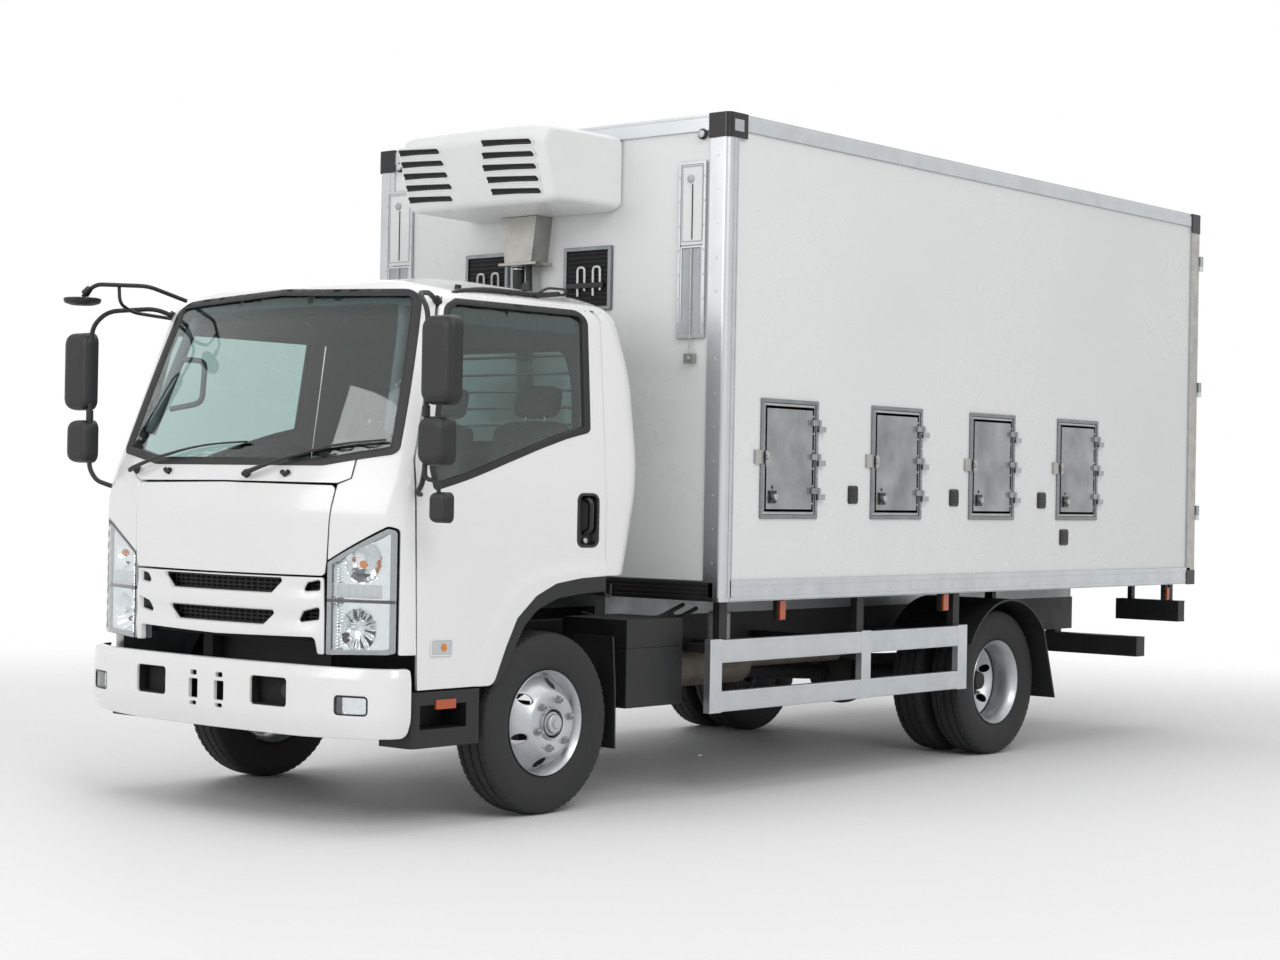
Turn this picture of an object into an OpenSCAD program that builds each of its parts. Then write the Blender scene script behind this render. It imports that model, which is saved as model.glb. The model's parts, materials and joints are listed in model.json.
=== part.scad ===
// Refrigerated box truck: tilting cab over the front axle, twin rear wheels,
// an insulated box with side hatches and two rear doors, and a cooling unit on its front wall.
// Millimetres. The front is toward -Y, up is +Z, and the ground is Z = 0.
// The origin lies on the ground under the middle of the truck.

/* [Overall] */
// Distance between the axles
wheelbase = 3600; // [3300:10:4300]
// Front axle to the front of the bumper
front_overhang = 1100; // [1080:5:1200]
// Front axle to the front face of the box
box_gap = 970; // [960:5:1200]
// Length of the box with its rear doors
box_len = 4720; // [4400:10:5600]
// Width of the box over its corner posts
box_w = 2340; // [2200:10:2500]
// Height of the box from its bottom rail to its roof
box_h = 2275; // [1900:5:2400]
// Ground to the bottom of the box
box_z = 908; // [890:2:1000]

/* [Wheels] */
// Outside diameter of a tyre
tyre_d = 796; // [770:2:810]
// Width of a tyre
tyre_w = 204; // [190:2:215]
// Outside diameter of a rim flange
flange_d = 461; // [440:1:470]
// Rim width over the flanges
rim_w = 168; // [150:2:176]
// Plane of the wheel disc, measured from the middle of the rim
disc_offset = 125; // [122:1:130]
// Distance between the front tyre centres
front_track = 1782; // [1740:2:1800]
// Distance between the middles of the twin tyres
rear_track = 1662; // [1640:2:1700]
// Half the distance between twin tyre centres
twin_half = 125; // [122:1:130]
// Distance of each kingpin from the middle
kingpin_x = 780; // [770:1:790]
// Radius of a kingpin
kingpin_r = 18; // [14:1:22]
// Radius of the front spindle
spindle_r = 34; // [28:1:40]
// Radius of the rear hub journal
journal_r = 44; // [40:1:50]
// Running clearance of pins and journals, on the radius
run_gap = 0.5; // [0.3:0.1:1]

/* [Chassis] */
// Width of the ladder frame
frame_w = 850; // [800:10:860]
// Height of a frame rail
rail_h = 200; // [180:5:220]
// Flange width of a frame rail
rail_w = 65; // [55:1:75]
// Plate thickness of a frame rail
rail_t = 7; // [5:1:10]
// Ground to the top of the frame
frame_top = 800; // [780:5:820]
// Height of the cab's tilt pivot
pivot_z = 800; // [790:5:810]
// Tilt pivot to the front axle
pivot_y = -900; // [-910:5:-890]
// Radius of the tilt pins
pivot_r = 16; // [12:1:20]
// Height of the bumper
bumper_h = 300; // [260:5:320]
// Ground to the top of the bumper
bumper_top = 676; // [660:2:690]
// Plate thickness of the bumper
bumper_t = 32; // [24:1:36]
// Diameter of the rear tow pin
tow_pin_d = 30; // [20:1:40]

/* [Cab] */
// Width of the cab at the belt
cab_w = 2000; // [1960:5:2040]
// Front axle to the front panel
cab_front = -1040; // [-1050:2:-1030]
// Ground to the top of the cab
cab_top = 2365; // [2300:5:2420]
// Wall thickness of the cab
cab_wall = 50; // [35:1:60]
// Thickness of a cab door
door_t = 60; // [45:1:70]
// Gap around a cab door
door_gap = 12; // [10:1:16]
// Ground to the cab floor over the wheels
floor_z = 1030; // [1020:2:1060]
// Thickness of the cab glass
glass_t = 6; // [4:1:8]
// Radius of the steering wheel
steer_r = 200; // [170:5:230]
// Radius of a cab door's hinge pin
door_pin_r = 4; // [3:0.5:4.5]

/* [Box] */
// Thickness of the insulated walls
wall_t = 64; // [50:1:75]
// Thickness of the deck plate on the floor
deck_t = 4; // [3:0.5:6]
// How far the corner posts stand proud of the walls
post_proud = 8; // [4:1:12]
// Width of a corner post across the front or rear
post_w = 110; // [90:1:120]
// Depth of a front corner post along the side
post_d = 57; // [50:1:70]
// Height of the bottom rail and of the floor
rail_low = 96; // [80:1:110]
// Height of the top rail and of the roof
rail_high = 68; // [60:1:80]
// Thickness of a rear door
rear_door_t = 70; // [50:1:74]
// Gap around a rear door
rear_gap = 6; // [5:0.5:10]
// Gap between the two rear doors
middle_gap = 12; // [11:0.5:16]
// Radius of the rear door and hatch hinge pins
pin_r = 7; // [5:0.5:9]

/* [Hatches] */
// Hatches along each side
hatch_n = 4; // [2:1:4]
// Box front to the middle of the first hatch
hatch_first = 515; // [480:5:560]
// Distance from one hatch to the next
hatch_pitch = 918; // [880:2:960]
// Width of a hatch opening
hatch_w = 430; // [380:5:470]
// Height of a hatch opening
hatch_h = 540; // [480:5:600]
// Ground to the bottom of a hatch opening
hatch_z = 1312; // [1250:2:1400]
// Gap between a hatch and its opening
hatch_gap = 6; // [5:0.5:8]
// Thickness of a hatch
hatch_t = 44; // [30:1:48]
// Gap at a hatch's free edge, wide enough for it to swing
hatch_swing = 11; // [10:0.5:14]

/* [Cooling unit] */
// Width of the unit
unit_w = 1030; // [900:10:1100]
// How far the unit reaches in front of the box
unit_d = 570; // [480:5:580]
// Height of the unit
unit_h = 375; // [320:5:390]
// Unit top to the roof of the box
unit_drop = 50; // [30:2:80]

/* [Hidden] */

// Small overshoot that makes a cut pass clean through a face
cut = 5;
hinge_out = 40;                                   // the rear hinges' reach behind the doors
box_front = box_gap;
box_back = box_gap + box_len;
rear_reach = box_back + hinge_out;
axle_y = (front_overhang - rear_reach) / 2;       // the front axle, seen from the origin
box_top = box_z + box_h;
half_w = box_w / 2;
wall_x = half_w - post_proud;                     // outer face of the side walls
inner_x = wall_x - wall_t;                        // inner face of the side walls
floor_top = box_z + rail_low;
roof_low = box_top - rail_high;
tyre_r = tyre_d / 2;
frame_low = frame_top - rail_h;
half_cab = cab_w / 2;

// ---- Outlines ------------------------------------------------------------

function unit(v) = v / norm(v);

// Arc that rounds the corner at b, between its neighbours a and c; a row is [x, y, radius]
function corner(a, b, c, steps = 5) =
    let (u = unit([a[0] - b[0], a[1] - b[1]]), v = unit([c[0] - b[0], c[1] - b[1]]), r = b[2])
    r == 0 ? [[b[0], b[1]]] :
    let (half = acos(u * v) / 2,
         centre = [b[0], b[1]] + unit(u + v) * r / sin(half),
         from = [b[0], b[1]] + u * r / tan(half) - centre,
         to = [b[0], b[1]] + v * r / tan(half) - centre,
         a0 = atan2(from[1], from[0]),
         turn = atan2(to[1], to[0]) - a0,
         sweep = turn > 180 ? turn - 360 : turn < -180 ? turn + 360 : turn)
    [for (i = [0:steps]) centre + r * [cos(a0 + sweep * i / steps), sin(a0 + sweep * i / steps)]];

// Closed outline from rows of [x, y, corner radius]
function rounded(p, steps = 5) =
    let (n = len(p))
    [for (i = [0:n - 1]) each corner(p[(i + n - 1) % n], p[i], p[(i + 1) % n], steps)];

// Rows for the left half of an outline, made whole with their mirror image
function mirrored(rows) =
    let (n = len(rows))
    concat(rows, [for (i = [0:n - 1]) [-rows[n - 1 - i][0], rows[n - 1 - i][1], rows[n - 1 - i][2]]]);

function arc(centre, r, from, to, steps) =
    [for (i = [0:steps]) centre + r * [cos(from + (to - from) * i / steps),
        sin(from + (to - from) * i / steps)]];

// ---- Builders ------------------------------------------------------------

// A (y, z) outline drawn along X
module along_x(x0, x1) {
    translate([x0, 0, 0]) rotate([90, 0, 90]) linear_extrude(x1 - x0) children();
}

// An (x, z) outline drawn along Y
module along_y(y0, y1) {
    translate([0, y1, 0]) rotate([90, 0, 0]) linear_extrude(y1 - y0) children();
}

// An (x, y) outline drawn along Z
module along_z(z0, z1) {
    translate([0, 0, z0]) linear_extrude(z1 - z0) children();
}

module block(low, high) {
    translate(low) cube(high - low);
}

module both_sides() {
    children();
    mirror([1, 0, 0]) children();
}

// side is 1 for the truck's left and -1 for its right
module on_side(side) {
    if (side > 0) children();
    else mirror([1, 0, 0]) children();
}

// Round bar from p to q
module bar(p, q, r) {
    v = q - p;
    translate(p) rotate([0, acos(v[2] / norm(v)), atan2(v[1], v[0])]) cylinder(r = r, h = norm(v), $fn = 24);
}

// Bent round bar through the points of a route
module bent_bar(route, r) {
    for (i = [0:len(route) - 2]) bar(route[i], route[i + 1], r);
    for (i = [1:len(route) - 2]) translate(route[i]) sphere(r = r, $fn = 24);
}

// Round shape about an axis that runs along X, drawn as rows of [x, radius]
module turned(rows) {
    rotate([0, 90, 0]) rotate_extrude($fn = 72) polygon([for (p = rows) [p[1], p[0]]]);
}

module x_cylinder(x0, x1, r, y = 0, z = 0) {
    translate([x0, y, z]) rotate([0, 90, 0]) cylinder(r = r, h = x1 - x0, $fn = 48);
}

// Everything below is drawn from the front axle; this moves it to the part's own frame
module from_axle() {
    translate([0, axle_y, 0]) children();
}

// ---- Chassis -------------------------------------------------------------

rail_front = -760;
rail_back = box_back - 180;
bumper_arm_y = -1010;                             // front end of the arms that carry the bumper
rail_in = frame_w / 2 - rail_w;
bumper_low = bumper_top - bumper_h;
horn_z = [520, 630];                              // bumper arms, under the swing of the cab's lip
// Cross members: [distance behind the front axle, length along the truck]
cross_members = [[-700, 60], [760, 80], [0.486 * wheelbase, 80], [wheelbase - 650, 80],
    [wheelbase + 550, 80], [rail_back - 80, 80]];
tow_z = [655, 725];                               // undersides of the tow jaw's two plates
tow_pin_y = rail_back + 65;

module rail() {
    along_y(rail_front, rail_back) polygon([
        [rail_in, frame_low], [frame_w / 2, frame_low], [frame_w / 2, frame_top], [rail_in, frame_top],
        [rail_in, frame_top - rail_t], [frame_w / 2 - rail_t, frame_top - rail_t],
        [frame_w / 2 - rail_t, frame_low + rail_t], [rail_in, frame_low + rail_t]]);
}

module chassis_frame() {
    web_x = frame_w / 2 - rail_t;
    ear = 26;
    color([0.10, 0.10, 0.11]) difference() {
        union() {
            both_sides() {
                rail();
                // bumper arm and the bracket that carries the tilt pin
                block([rail_in, rail_front, horn_z[0]], [frame_w / 2, rail_front + 60, frame_top]);
                block([rail_in, bumper_arm_y, horn_z[0]], [frame_w / 2, rail_front, horn_z[1]]);
                difference() {
                    union() {
                        block([rail_in, pivot_y, pivot_z - ear],
                            [frame_w / 2 - cut, rail_front + 60, frame_top]);
                        x_cylinder(rail_in, frame_w / 2 - cut, ear, pivot_y, pivot_z);
                    }
                    x_cylinder(rail_in - cut, frame_w / 2 + cut, pivot_r + run_gap, pivot_y, pivot_z);
                }
            }
            for (m = cross_members)
                difference() {
                    block([-web_x, m[0], frame_low + 30], [web_x, m[0] + m[1], frame_top - 30]);
                    block([-rail_in, m[0] + rail_t, frame_low + 37],
                        [rail_in, m[0] + m[1] + cut, frame_top - 37]);
                }
            // tow jaw: two plates behind the last cross member
            for (z = tow_z) block([-60, rail_back - 80 + rail_t, z], [60, rail_back + 110, z + 20]);
        }
        translate([0, tow_pin_y, frame_low]) cylinder(d = tow_pin_d, h = rail_h, $fn = 48);
    }
}

// Front beam, dropped in the middle, with an eye for each kingpin
beam_t = 76;
beam_h = 72;
beam_drop = 36;
beam_flat = 560;                                  // half the length of the dropped part
module front_axle() {
    eye_h = 90;
    end_x = kingpin_x - 20;
    high = tyre_r + beam_h / 2;
    low = tyre_r - beam_h / 2;
    color([0.13, 0.13, 0.14]) difference() {
        union() {
            along_y(-beam_t / 2, beam_t / 2) polygon(rounded([
                [end_x, high, 8], [end_x - 40, high, 20], [beam_flat, tyre_r - beam_drop, 60],
                [-beam_flat, tyre_r - beam_drop, 60], [40 - end_x, high, 20], [-end_x, high, 8],
                [-end_x, low, 8], [-beam_flat, low - beam_drop, 60], [beam_flat, low - beam_drop, 60],
                [end_x, low, 8]]));
            both_sides() translate([kingpin_x, 0, tyre_r - eye_h / 2]) cylinder(r = 40, h = eye_h, $fn = 48);
        }
        both_sides() translate([kingpin_x, 0, tyre_r - eye_h])
            cylinder(r = kingpin_r + run_gap, h = 2 * eye_h, $fn = 48);
    }
}

// Axle tube with its differential and a journal at each end
module rear_axle() {
    color([0.13, 0.13, 0.14]) translate([0, wheelbase, tyre_r]) {
        x_cylinder(-rear_hub_in, rear_hub_in, axle_tube_r);
        both_sides() x_cylinder(0, rear_journal, journal_r);
        intersection() {
            sphere(r = diff_r, $fn = 48);
            block([-150, -diff_r, -diff_r], [150, 130, diff_r]);
        }
    }
}
axle_tube_r = 62;
diff_r = 190;
rear_disc = rear_track / 2;                       // where the twin discs meet
rear_hub_in = rear_disc - 110;
rear_journal = rear_disc + 60;

// Curved pack of leaves between two eyes; rows give axle y, half length, x, seat height, eye height
spring_rows = [[0, 610, 392, tyre_r - beam_drop, 560], [wheelbase, 640, 406, tyre_r + axle_tube_r, 566]];
leaf_w = 64;
module leaf_springs() {
    color([0.16, 0.16, 0.17]) for (s = spring_rows) both_sides() {
        rise = s[4] - s[3] - 20;
        along_x(s[2] - leaf_w / 2, s[2] + leaf_w / 2) polygon(concat(
            [for (i = [-6:6]) [s[0] + s[1] * i / 6, s[3] + rise * pow(i / 6, 2)]],
            [for (i = [6:-1:-6]) [s[0] + s[1] * i / 6, s[3] + 62 + (rise - 34) * pow(i / 6, 2)]]));
        for (e = [-1, 1]) {
            x_cylinder(s[2] - leaf_w / 2, s[2] + leaf_w / 2, 26, s[0] + e * s[1], s[4]);
            block([s[2] - 20, s[0] + e * s[1] - 22, s[4]],
                [min(s[2] + 20, frame_w / 2), s[0] + e * s[1] + 22, frame_low]);
        }
    }
}

// Engine and gearbox, as plain blocks: half width, bottom and top of each
engine_y = [-400, 560];
gearbox_y = 740;
engine = [270, 480, 985];
gearbox = [150, 470, 760];
module engine_block() {
    color([0.22, 0.22, 0.23]) {
        block([-engine[0], engine_y[0], engine[1]], [engine[0], engine_y[1], engine[2]]);
        block([-gearbox[0], engine_y[1], gearbox[1]], [gearbox[0], gearbox_y, gearbox[2]]);
    }
}

shaft_z = 560;                                    // height of the shaft's front end
shaft_r = 42;
module propeller_shaft() {
    nose_y = wheelbase - diff_r;
    color([0.15, 0.15, 0.16]) {
        translate([0, gearbox_y, shaft_z]) rotate([-90, 0, 0]) cylinder(r = shaft_r + 8, h = 50, $fn = 48);
        bar([0, gearbox_y + 30, shaft_z], [0, nose_y - 20, tyre_r], shaft_r);
        translate([0, nose_y - 40, tyre_r]) rotate([-90, 0, 0]) cylinder(r = shaft_r + 8, h = 40, $fn = 48);
    }
}

// ---- Front end below the cab ---------------------------------------------

// Plan of the bumper's front face, pulled back by t
function bumper_plan(t) = mirrored([
    [half_cab + 12 - t, -850, 0], [half_cab + 6 - t, -905 + t / 2, 60], [820, -1030 + t, 220],
    [300, -front_overhang + 6 + t, 900]]);

// Openings for the towing eyes and the fog lamps: [x from, x to, bottom, top]
bumper_holes = [[281, 484, 495, 615], [725, 880, 478, 562]];
module bumper() {
    inner = bumper_plan(bumper_t);
    end = half_cab + 12 - bumper_t;
    color([0.93, 0.93, 0.92]) difference() {
        along_z(bumper_low, bumper_top) polygon(rounded(bumper_plan(0)));
        along_z(bumper_low - cut, bumper_top + cut)
            polygon(rounded(concat([[end, -850 + cut, 0]], [for (i = [1:6]) inner[i]],
                [[-end, -850 + cut, 0]])));
        both_sides() for (h = bumper_holes) block([h[0], -front_overhang - cut, h[2]], [h[1], -900, h[3]]);
    }
    color([0.1, 0.1, 0.1]) both_sides()
        block([rail_in, bumper_arm_y - 52, horn_z[0] + 5], [frame_w / 2, bumper_arm_y, horn_z[1] - 5]);
}

// Steps below the cab doors, on arms from the frame
step_z = [344, 575];
module cab_steps() {
    color([0.08, 0.08, 0.08]) both_sides() {
        difference() {
            along_z(step_z[0], step_z[1]) polygon(rounded([
                [800, -835, 10], [half_cab - 2, -835, 30], [half_cab - 2, -425, 20], [900, -456, 0],
                    [800, -471, 0]], 3));
            block([850, -790, 420], [half_cab + cut, -520, 520]);
        }
        block([frame_w / 2, -740, 470], [800, -690, 530]);
        block([frame_w / 2, -740, 530], [frame_w / 2 + 12, -690, 700]);
    }
}

// Fuel tank, on two brackets to the right of the frame
tank_y = [box_front + 260, box_front + 260 + 0.278 * wheelbase];
tank_x = [half_w - 180, frame_w / 2 + 135];       // its outer and inner faces
tank_z = [440, 780];
bracket_w = 50;
module fuel_tank() {
    plate = 15;
    color([0.12, 0.12, 0.13]) {
        along_y(tank_y[0], tank_y[1]) polygon(rounded([[-tank_x[0], tank_z[0], 60],
            [-tank_x[1], tank_z[0], 60],
            [-tank_x[1], tank_z[1], 60], [-tank_x[0], tank_z[1], 60]]));
        for (y = [tank_y[0] + 170, tank_y[1] - 170]) difference() {
            block([-tank_x[1], y, tank_z[0] + 60], [-frame_w / 2, y + bracket_w, tank_z[1] - 20]);
            block([plate - tank_x[1], y - cut, tank_z[0]],
                [-frame_w / 2 - plate, y + bracket_w + cut, tank_z[1] - 80]);
        }
    }
}

// Battery box with its lid, left of the frame behind the cab: x, y and z from and to
battery_x = [590, half_w - 185];
battery_y = [520, 920];
battery_z = [430, 830];
lid_z = 700;
module battery_box() {
    seam = 10;
    color([0.09, 0.09, 0.09]) {
        block([battery_x[0], battery_y[0], battery_z[0]], [battery_x[1], battery_y[1], lid_z]);
        block([battery_x[0], battery_y[0], lid_z + 2], [battery_x[1], battery_y[1], battery_z[1]]);
        block([battery_x[0] + seam, battery_y[0] + seam, lid_z - 2],
            [battery_x[1] - seam, battery_y[1] - seam, lid_z + 4]);
        block([frame_w / 2, battery_y[0] + 40, lid_z - 60], [battery_x[0], battery_y[1] - 40, lid_z]);
    }
}

// Silencer left of the frame, and its tail pipe
silencer = [560, box_front + 280, 560];
silencer_r = 105;
silencer_l = 620;
module exhaust() {
    pipe_y = silencer[1] + silencer_l - 30;
    color([0.35, 0.33, 0.31]) {
        translate(silencer) rotate([-90, 0, 0]) cylinder(r = silencer_r, h = silencer_l, $fn = 48);
        bar([silencer[0], pipe_y, silencer[2]], [silencer[0], wheelbase - 850, silencer[2]], 32);
        for (y = [silencer[1] + 100, silencer[1] + 450])
            block([frame_w / 2, y, silencer[2] + 80], [silencer[0], y + 40, silencer[2] + 110]);
    }
}

// Side guards: [front, rear, bottom, top] of the frame, then of its opening
guard = [box_front - 30, wheelbase - 450, 392, 732];
guard_hole = [guard[0] + 226, guard[1] - 130, 490, 622];
guard_x = half_w - 70;
guard_t = 35;
guard_post = 90;
guard_mid = guard_hole[0] + 0.536 * (guard_hole[1] - guard_hole[0]);   // front edge of the middle post

// One opening of a side guard, from y0 to y1
module guard_opening(y0, y1) {
    along_x(guard_x - cut, guard_x + guard_t + cut) polygon(rounded([
        [y0, guard_hole[2], 8], [y1, guard_hole[2], 8], [y1, guard_hole[3], 8], [y0, guard_hole[3], 8]]));
}

module side_guards() {
    color([0.72, 0.73, 0.74]) both_sides() {
        difference() {
            along_x(guard_x, guard_x + guard_t) polygon(rounded([
                [guard[0], guard[2], 90], [guard[1], guard[2], 8], [guard[1], guard[3], 8],
                    [guard[0], guard[3], 90]]));
            guard_opening(guard_hole[0], guard_mid);
            guard_opening(guard_mid + guard_post, guard_hole[1]);
        }
        for (y = [guard[0] + 140, guard_mid + 20, guard[1] - 100])
            block([guard_x - 30, y, guard[3] - 120], [guard_x, y + 40, box_z]);
    }
}

// Rear mudguards: an arc over the twin tyres, a flap behind them and two hangers
mud_r = tyre_r + 64;
mud_t = 10;
mud_from = 38;                                    // angles of the arc's rear and front ends
mud_to = 150;
mud_x = rear_disc - twin_half - tyre_w / 2 - 10;
flap_low = 290;
module rear_mudguards() {
    top = [wheelbase + mud_r * cos(mud_from), tyre_r + mud_r * sin(mud_from)];
    color([0.07, 0.07, 0.07]) both_sides() {
        along_x(mud_x, half_w - 40) polygon(concat(
            arc([wheelbase, tyre_r], mud_r, mud_from, mud_to, 16),
            arc([wheelbase, tyre_r], mud_r - mud_t, mud_to, mud_from, 16)));
        along_x(mud_x, half_w - 40) polygon([
            [top[0] - 9, top[1]], [top[0] + 120, flap_low], [top[0] + 132, flap_low], [top[0] + 3, top[1]]]);
        for (a = [60, 120]) block(
            [rear_disc, wheelbase + mud_r * cos(a) - 20, tyre_r + mud_r * sin(a) - 14],
            [rear_disc + 50, wheelbase + mud_r * cos(a) + 20, box_z]);
    }
}

underrun_y = box_back - 400;
underrun_z = [462, 582];
module underrun_bar() {
    reach = half_w - 170;
    color([0.10, 0.10, 0.11]) {
        block([-reach, underrun_y, underrun_z[0]], [reach, underrun_y + 100, underrun_z[1]]);
        both_sides() block([rail_in, underrun_y + 10, underrun_z[1]],
            [rail_in + rail_w, underrun_y + 90, frame_low]);
    }
}

// Rear lamp clusters, each hung from the box on two straps
lamp_y = [box_back - 100, box_back - 20];
lamp_x = [half_w - 480, half_w - 50];
lamp_z = [672, 800];
module rear_lamps() {
    color([0.55, 0.05, 0.04]) both_sides() block([lamp_x[0], lamp_y[0], lamp_z[0]],
        [lamp_x[1], lamp_y[1], lamp_z[1]]);
    color([0.1, 0.1, 0.1]) both_sides() for (x = [lamp_x[0] + 70, lamp_x[1] - 100])
        block([x, lamp_y[0] + 20, lamp_z[1]], [x + 30, lamp_y[1] - 20, box_z]);
}

// ---- Box -----------------------------------------------------------------

module box_floor() {
    sill_x = frame_w / 2 - rail_w;
    color([0.62, 0.63, 0.64]) {
        block([-inner_x, box_front + post_d, box_z], [inner_x, rear_frame_y, floor_top]);
        block([-half_w + post_w, box_front, box_z], [half_w - post_w, box_front + post_d, floor_top]);
        block([-half_w + post_w, rear_frame_y, box_z], [half_w - post_w, portal_y, floor_top]);
        both_sides() block([sill_x, box_front + 40, frame_top], [sill_x + rail_w, box_back - 200, box_z]);
        // deck plate between the walls
        block([2 - inner_x, box_front + post_proud + wall_t + 2, floor_top],
            [inner_x - 2, rear_frame_y - 2, floor_top + deck_t]);
    }
}

// Front wall, with an air vent on each side of the duct: [x from, x to, bottom, top]
vents = [[-516, -220, 2290, 2600], [158, 464, 2290, 2600]];
module box_front_wall() {
    color([0.93, 0.93, 0.92]) difference() {
        block([-half_w + post_w, box_front + post_proud, floor_top],
            [half_w - post_w, box_front + post_proud + wall_t, roof_low]);
        for (v = vents) block([v[0], box_front, v[2]], [v[1], box_front + 40, v[3]]);
    }
}

module hatch_hole(i) {
    y = box_front + hatch_first + i * hatch_pitch;
    block([inner_x - cut, y - hatch_w / 2, hatch_z], [half_w + cut, y + hatch_w / 2, hatch_z + hatch_h]);
}

rear_frame_y = box_back - 110;                    // front edge of the rear posts
post_back = box_back - 5;                         // rear face of the rear posts
portal_y = box_back - rear_door_t - 8;            // stop that the rear doors close against
module box_side_walls() {
    color([0.95, 0.95, 0.94]) both_sides() difference() {
        block([inner_x, box_front + post_d, floor_top], [wall_x, rear_frame_y, roof_low]);
        for (i = [0:hatch_n - 1]) hatch_hole(i);
    }
}

module box_roof() {
    color([0.93, 0.93, 0.92])
        block([-inner_x, box_front + post_d, roof_low], [inner_x, rear_frame_y, box_top - post_proud]);
}

// Aluminium edge frame: posts at the corners, side rails, front header and rear portal
module box_rails() {
    front_post = box_front + post_d;
    color([0.78, 0.79, 0.80]) {
        both_sides() {
            along_z(box_z, box_top) polygon(rounded([
                [half_w - post_w, box_front, 0], [half_w, box_front, 24],
                [half_w, front_post, 0], [half_w - post_w, front_post, 0]]));
            block([inner_x, front_post, box_z], [half_w, rear_frame_y, floor_top]);
            block([inner_x, front_post, roof_low], [half_w, rear_frame_y, box_top]);
            block([half_w - post_w, rear_frame_y, box_z], [half_w, post_back, box_top]);
            // hinge leaves that carry the rear door pins
            for (z = rear_hinges) rear_hinge_post(z);
        }
        block([-half_w + post_w, box_front, roof_low], [half_w - post_w, front_post, box_top]);
        block([-half_w + post_w, rear_frame_y, roof_low], [half_w - post_w, post_back, box_top]);
        block([-half_w + post_w, portal_y, box_z], [half_w - post_w, post_back, floor_top]);
    }
}

// Rear hinges: heights, and the pin's place outside and behind the post
rear_hinges = [1300, 2060, 2840];
rear_pin = [half_w + 4, box_back + 18];
hinge_h = 90;
module rear_hinge_post(z) {
    r = pin_r + 8;
    difference() {
        union() {
            translate([rear_pin[0], rear_pin[1], z]) cylinder(r = r, h = hinge_h / 3, $fn = 36);
            block([half_w - 60, post_back, z], [rear_pin[0], rear_pin[1], z + hinge_h / 3]);
        }
        translate([rear_pin[0], rear_pin[1], z - cut]) cylinder(r = pin_r + run_gap, h = hinge_h, $fn = 36);
    }
}

// Rear door, drawn for the left leaf
module rear_door() {
    leaf_y = [box_back - rear_door_t, box_back];
    r = pin_r + 8;
    strap_x = half_w - post_w - 160;              // inner end of the hinge straps
    block([middle_gap / 2, leaf_y[0], floor_top + rear_gap],
        [half_w - post_w - rear_gap, leaf_y[1], roof_low - rear_gap]);
    for (z = rear_hinges) {
        difference() {
            union() {
                block([strap_x, leaf_y[1], z + hinge_h / 3 + 1],
                    [rear_pin[0], rear_pin[1] + r - 4, z + hinge_h]);
                translate([rear_pin[0], rear_pin[1], z + hinge_h / 3 + 1])
                    cylinder(r = r, h = hinge_h * 2 / 3 - 1, $fn = 36);
            }
            block([strap_x - cut, 0, z], [half_w + 60, leaf_y[1] + 4, z + hinge_h + cut]);
        }
        block([strap_x, leaf_y[1], z + hinge_h / 3 + 1], [half_w - post_w - 30, leaf_y[1] + 4, z + hinge_h]);
        translate([rear_pin[0], rear_pin[1], z + 2]) cylinder(r = pin_r, h = hinge_h - 4, $fn = 36);
    }
    // lock rod with its two keepers, and the handle
    translate([120, box_back + 16, floor_top + 60]) cylinder(r = 12, h = roof_low - floor_top - 120,
        $fn = 24);
    for (z = [floor_top + 90, 1500, 2300, roof_low - 150])
        block([100, box_back, z], [140, box_back + 14, z + 50]);
    block([110, box_back + 10, 1620], [330, box_back + 28, 1650]);
}

// Hatch leaf, drawn for the left side; it hangs on its rear edge
hatch_pin_x = half_w + 10;
hatch_hinges = [70, 235, 400];
module hatch(i) {
    y = box_front + hatch_first + i * hatch_pitch;
    front = y - hatch_w / 2 + hatch_swing;
    back = y + hatch_w / 2 - hatch_gap;
    low = hatch_z + hatch_gap;
    high = hatch_z + hatch_h - hatch_gap;
    block([wall_x - hatch_t, front, low], [wall_x, back, high]);
    block([wall_x, front + 8, low + 8], [wall_x + 6, back - 8, high - 8]);
    for (h = hatch_hinges) {
        block([wall_x, back - 60, low + h + 30], [wall_x + 8, back - 8, low + h + 58]);
        block([wall_x + 2, back - 40, low + h + 30], [hatch_pin_x, hatch_pin_y(i), low + h + 58]);
        translate([hatch_pin_x, hatch_pin_y(i), low + h]) cylinder(r = 4, h = 60, $fn = 24);
        translate([hatch_pin_x, hatch_pin_y(i), low + h + 30]) cylinder(r = 8, h = 28, $fn = 24);
    }
    // latch
    block([wall_x, front + 8, y_latch - 40], [wall_x + 14, front + 60, y_latch + 40]);
}
y_latch = hatch_z + hatch_h / 2;
function hatch_pin_y(i) = box_front + hatch_first + i * hatch_pitch + hatch_w / 2 + 14;

// Hinge knuckles on the walls, one under each hatch knuckle; they stand on the side walls
module hatch_knuckles() {
    for (i = [0:hatch_n - 1]) for (h = hatch_hinges) {
        z = hatch_z + hatch_gap + h;
        difference() {
            union() {
                translate([hatch_pin_x, hatch_pin_y(i), z]) cylinder(r = 8, h = 28, $fn = 24);
                block([wall_x, hatch_pin_y(i), z], [hatch_pin_x + 8, hatch_pin_y(i) + 40, z + 28]);
            }
            translate([hatch_pin_x, hatch_pin_y(i), z - cut]) cylinder(r = 4.5, h = 40, $fn = 24);
        }
    }
}

unit_top = box_top - unit_drop;
unit_low = unit_top - unit_h;
unit_front = box_front - unit_d;
module refrigeration_unit() {
    color([0.92, 0.92, 0.91]) along_x(-unit_w / 2, unit_w / 2) polygon(rounded([
        [box_front, unit_low, 0], [unit_front + 95, unit_low + 8, 30], [unit_front, unit_top - 75, 30],
        [unit_front + 50, unit_top, 40], [box_front, unit_top, 0]]));
}

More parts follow.
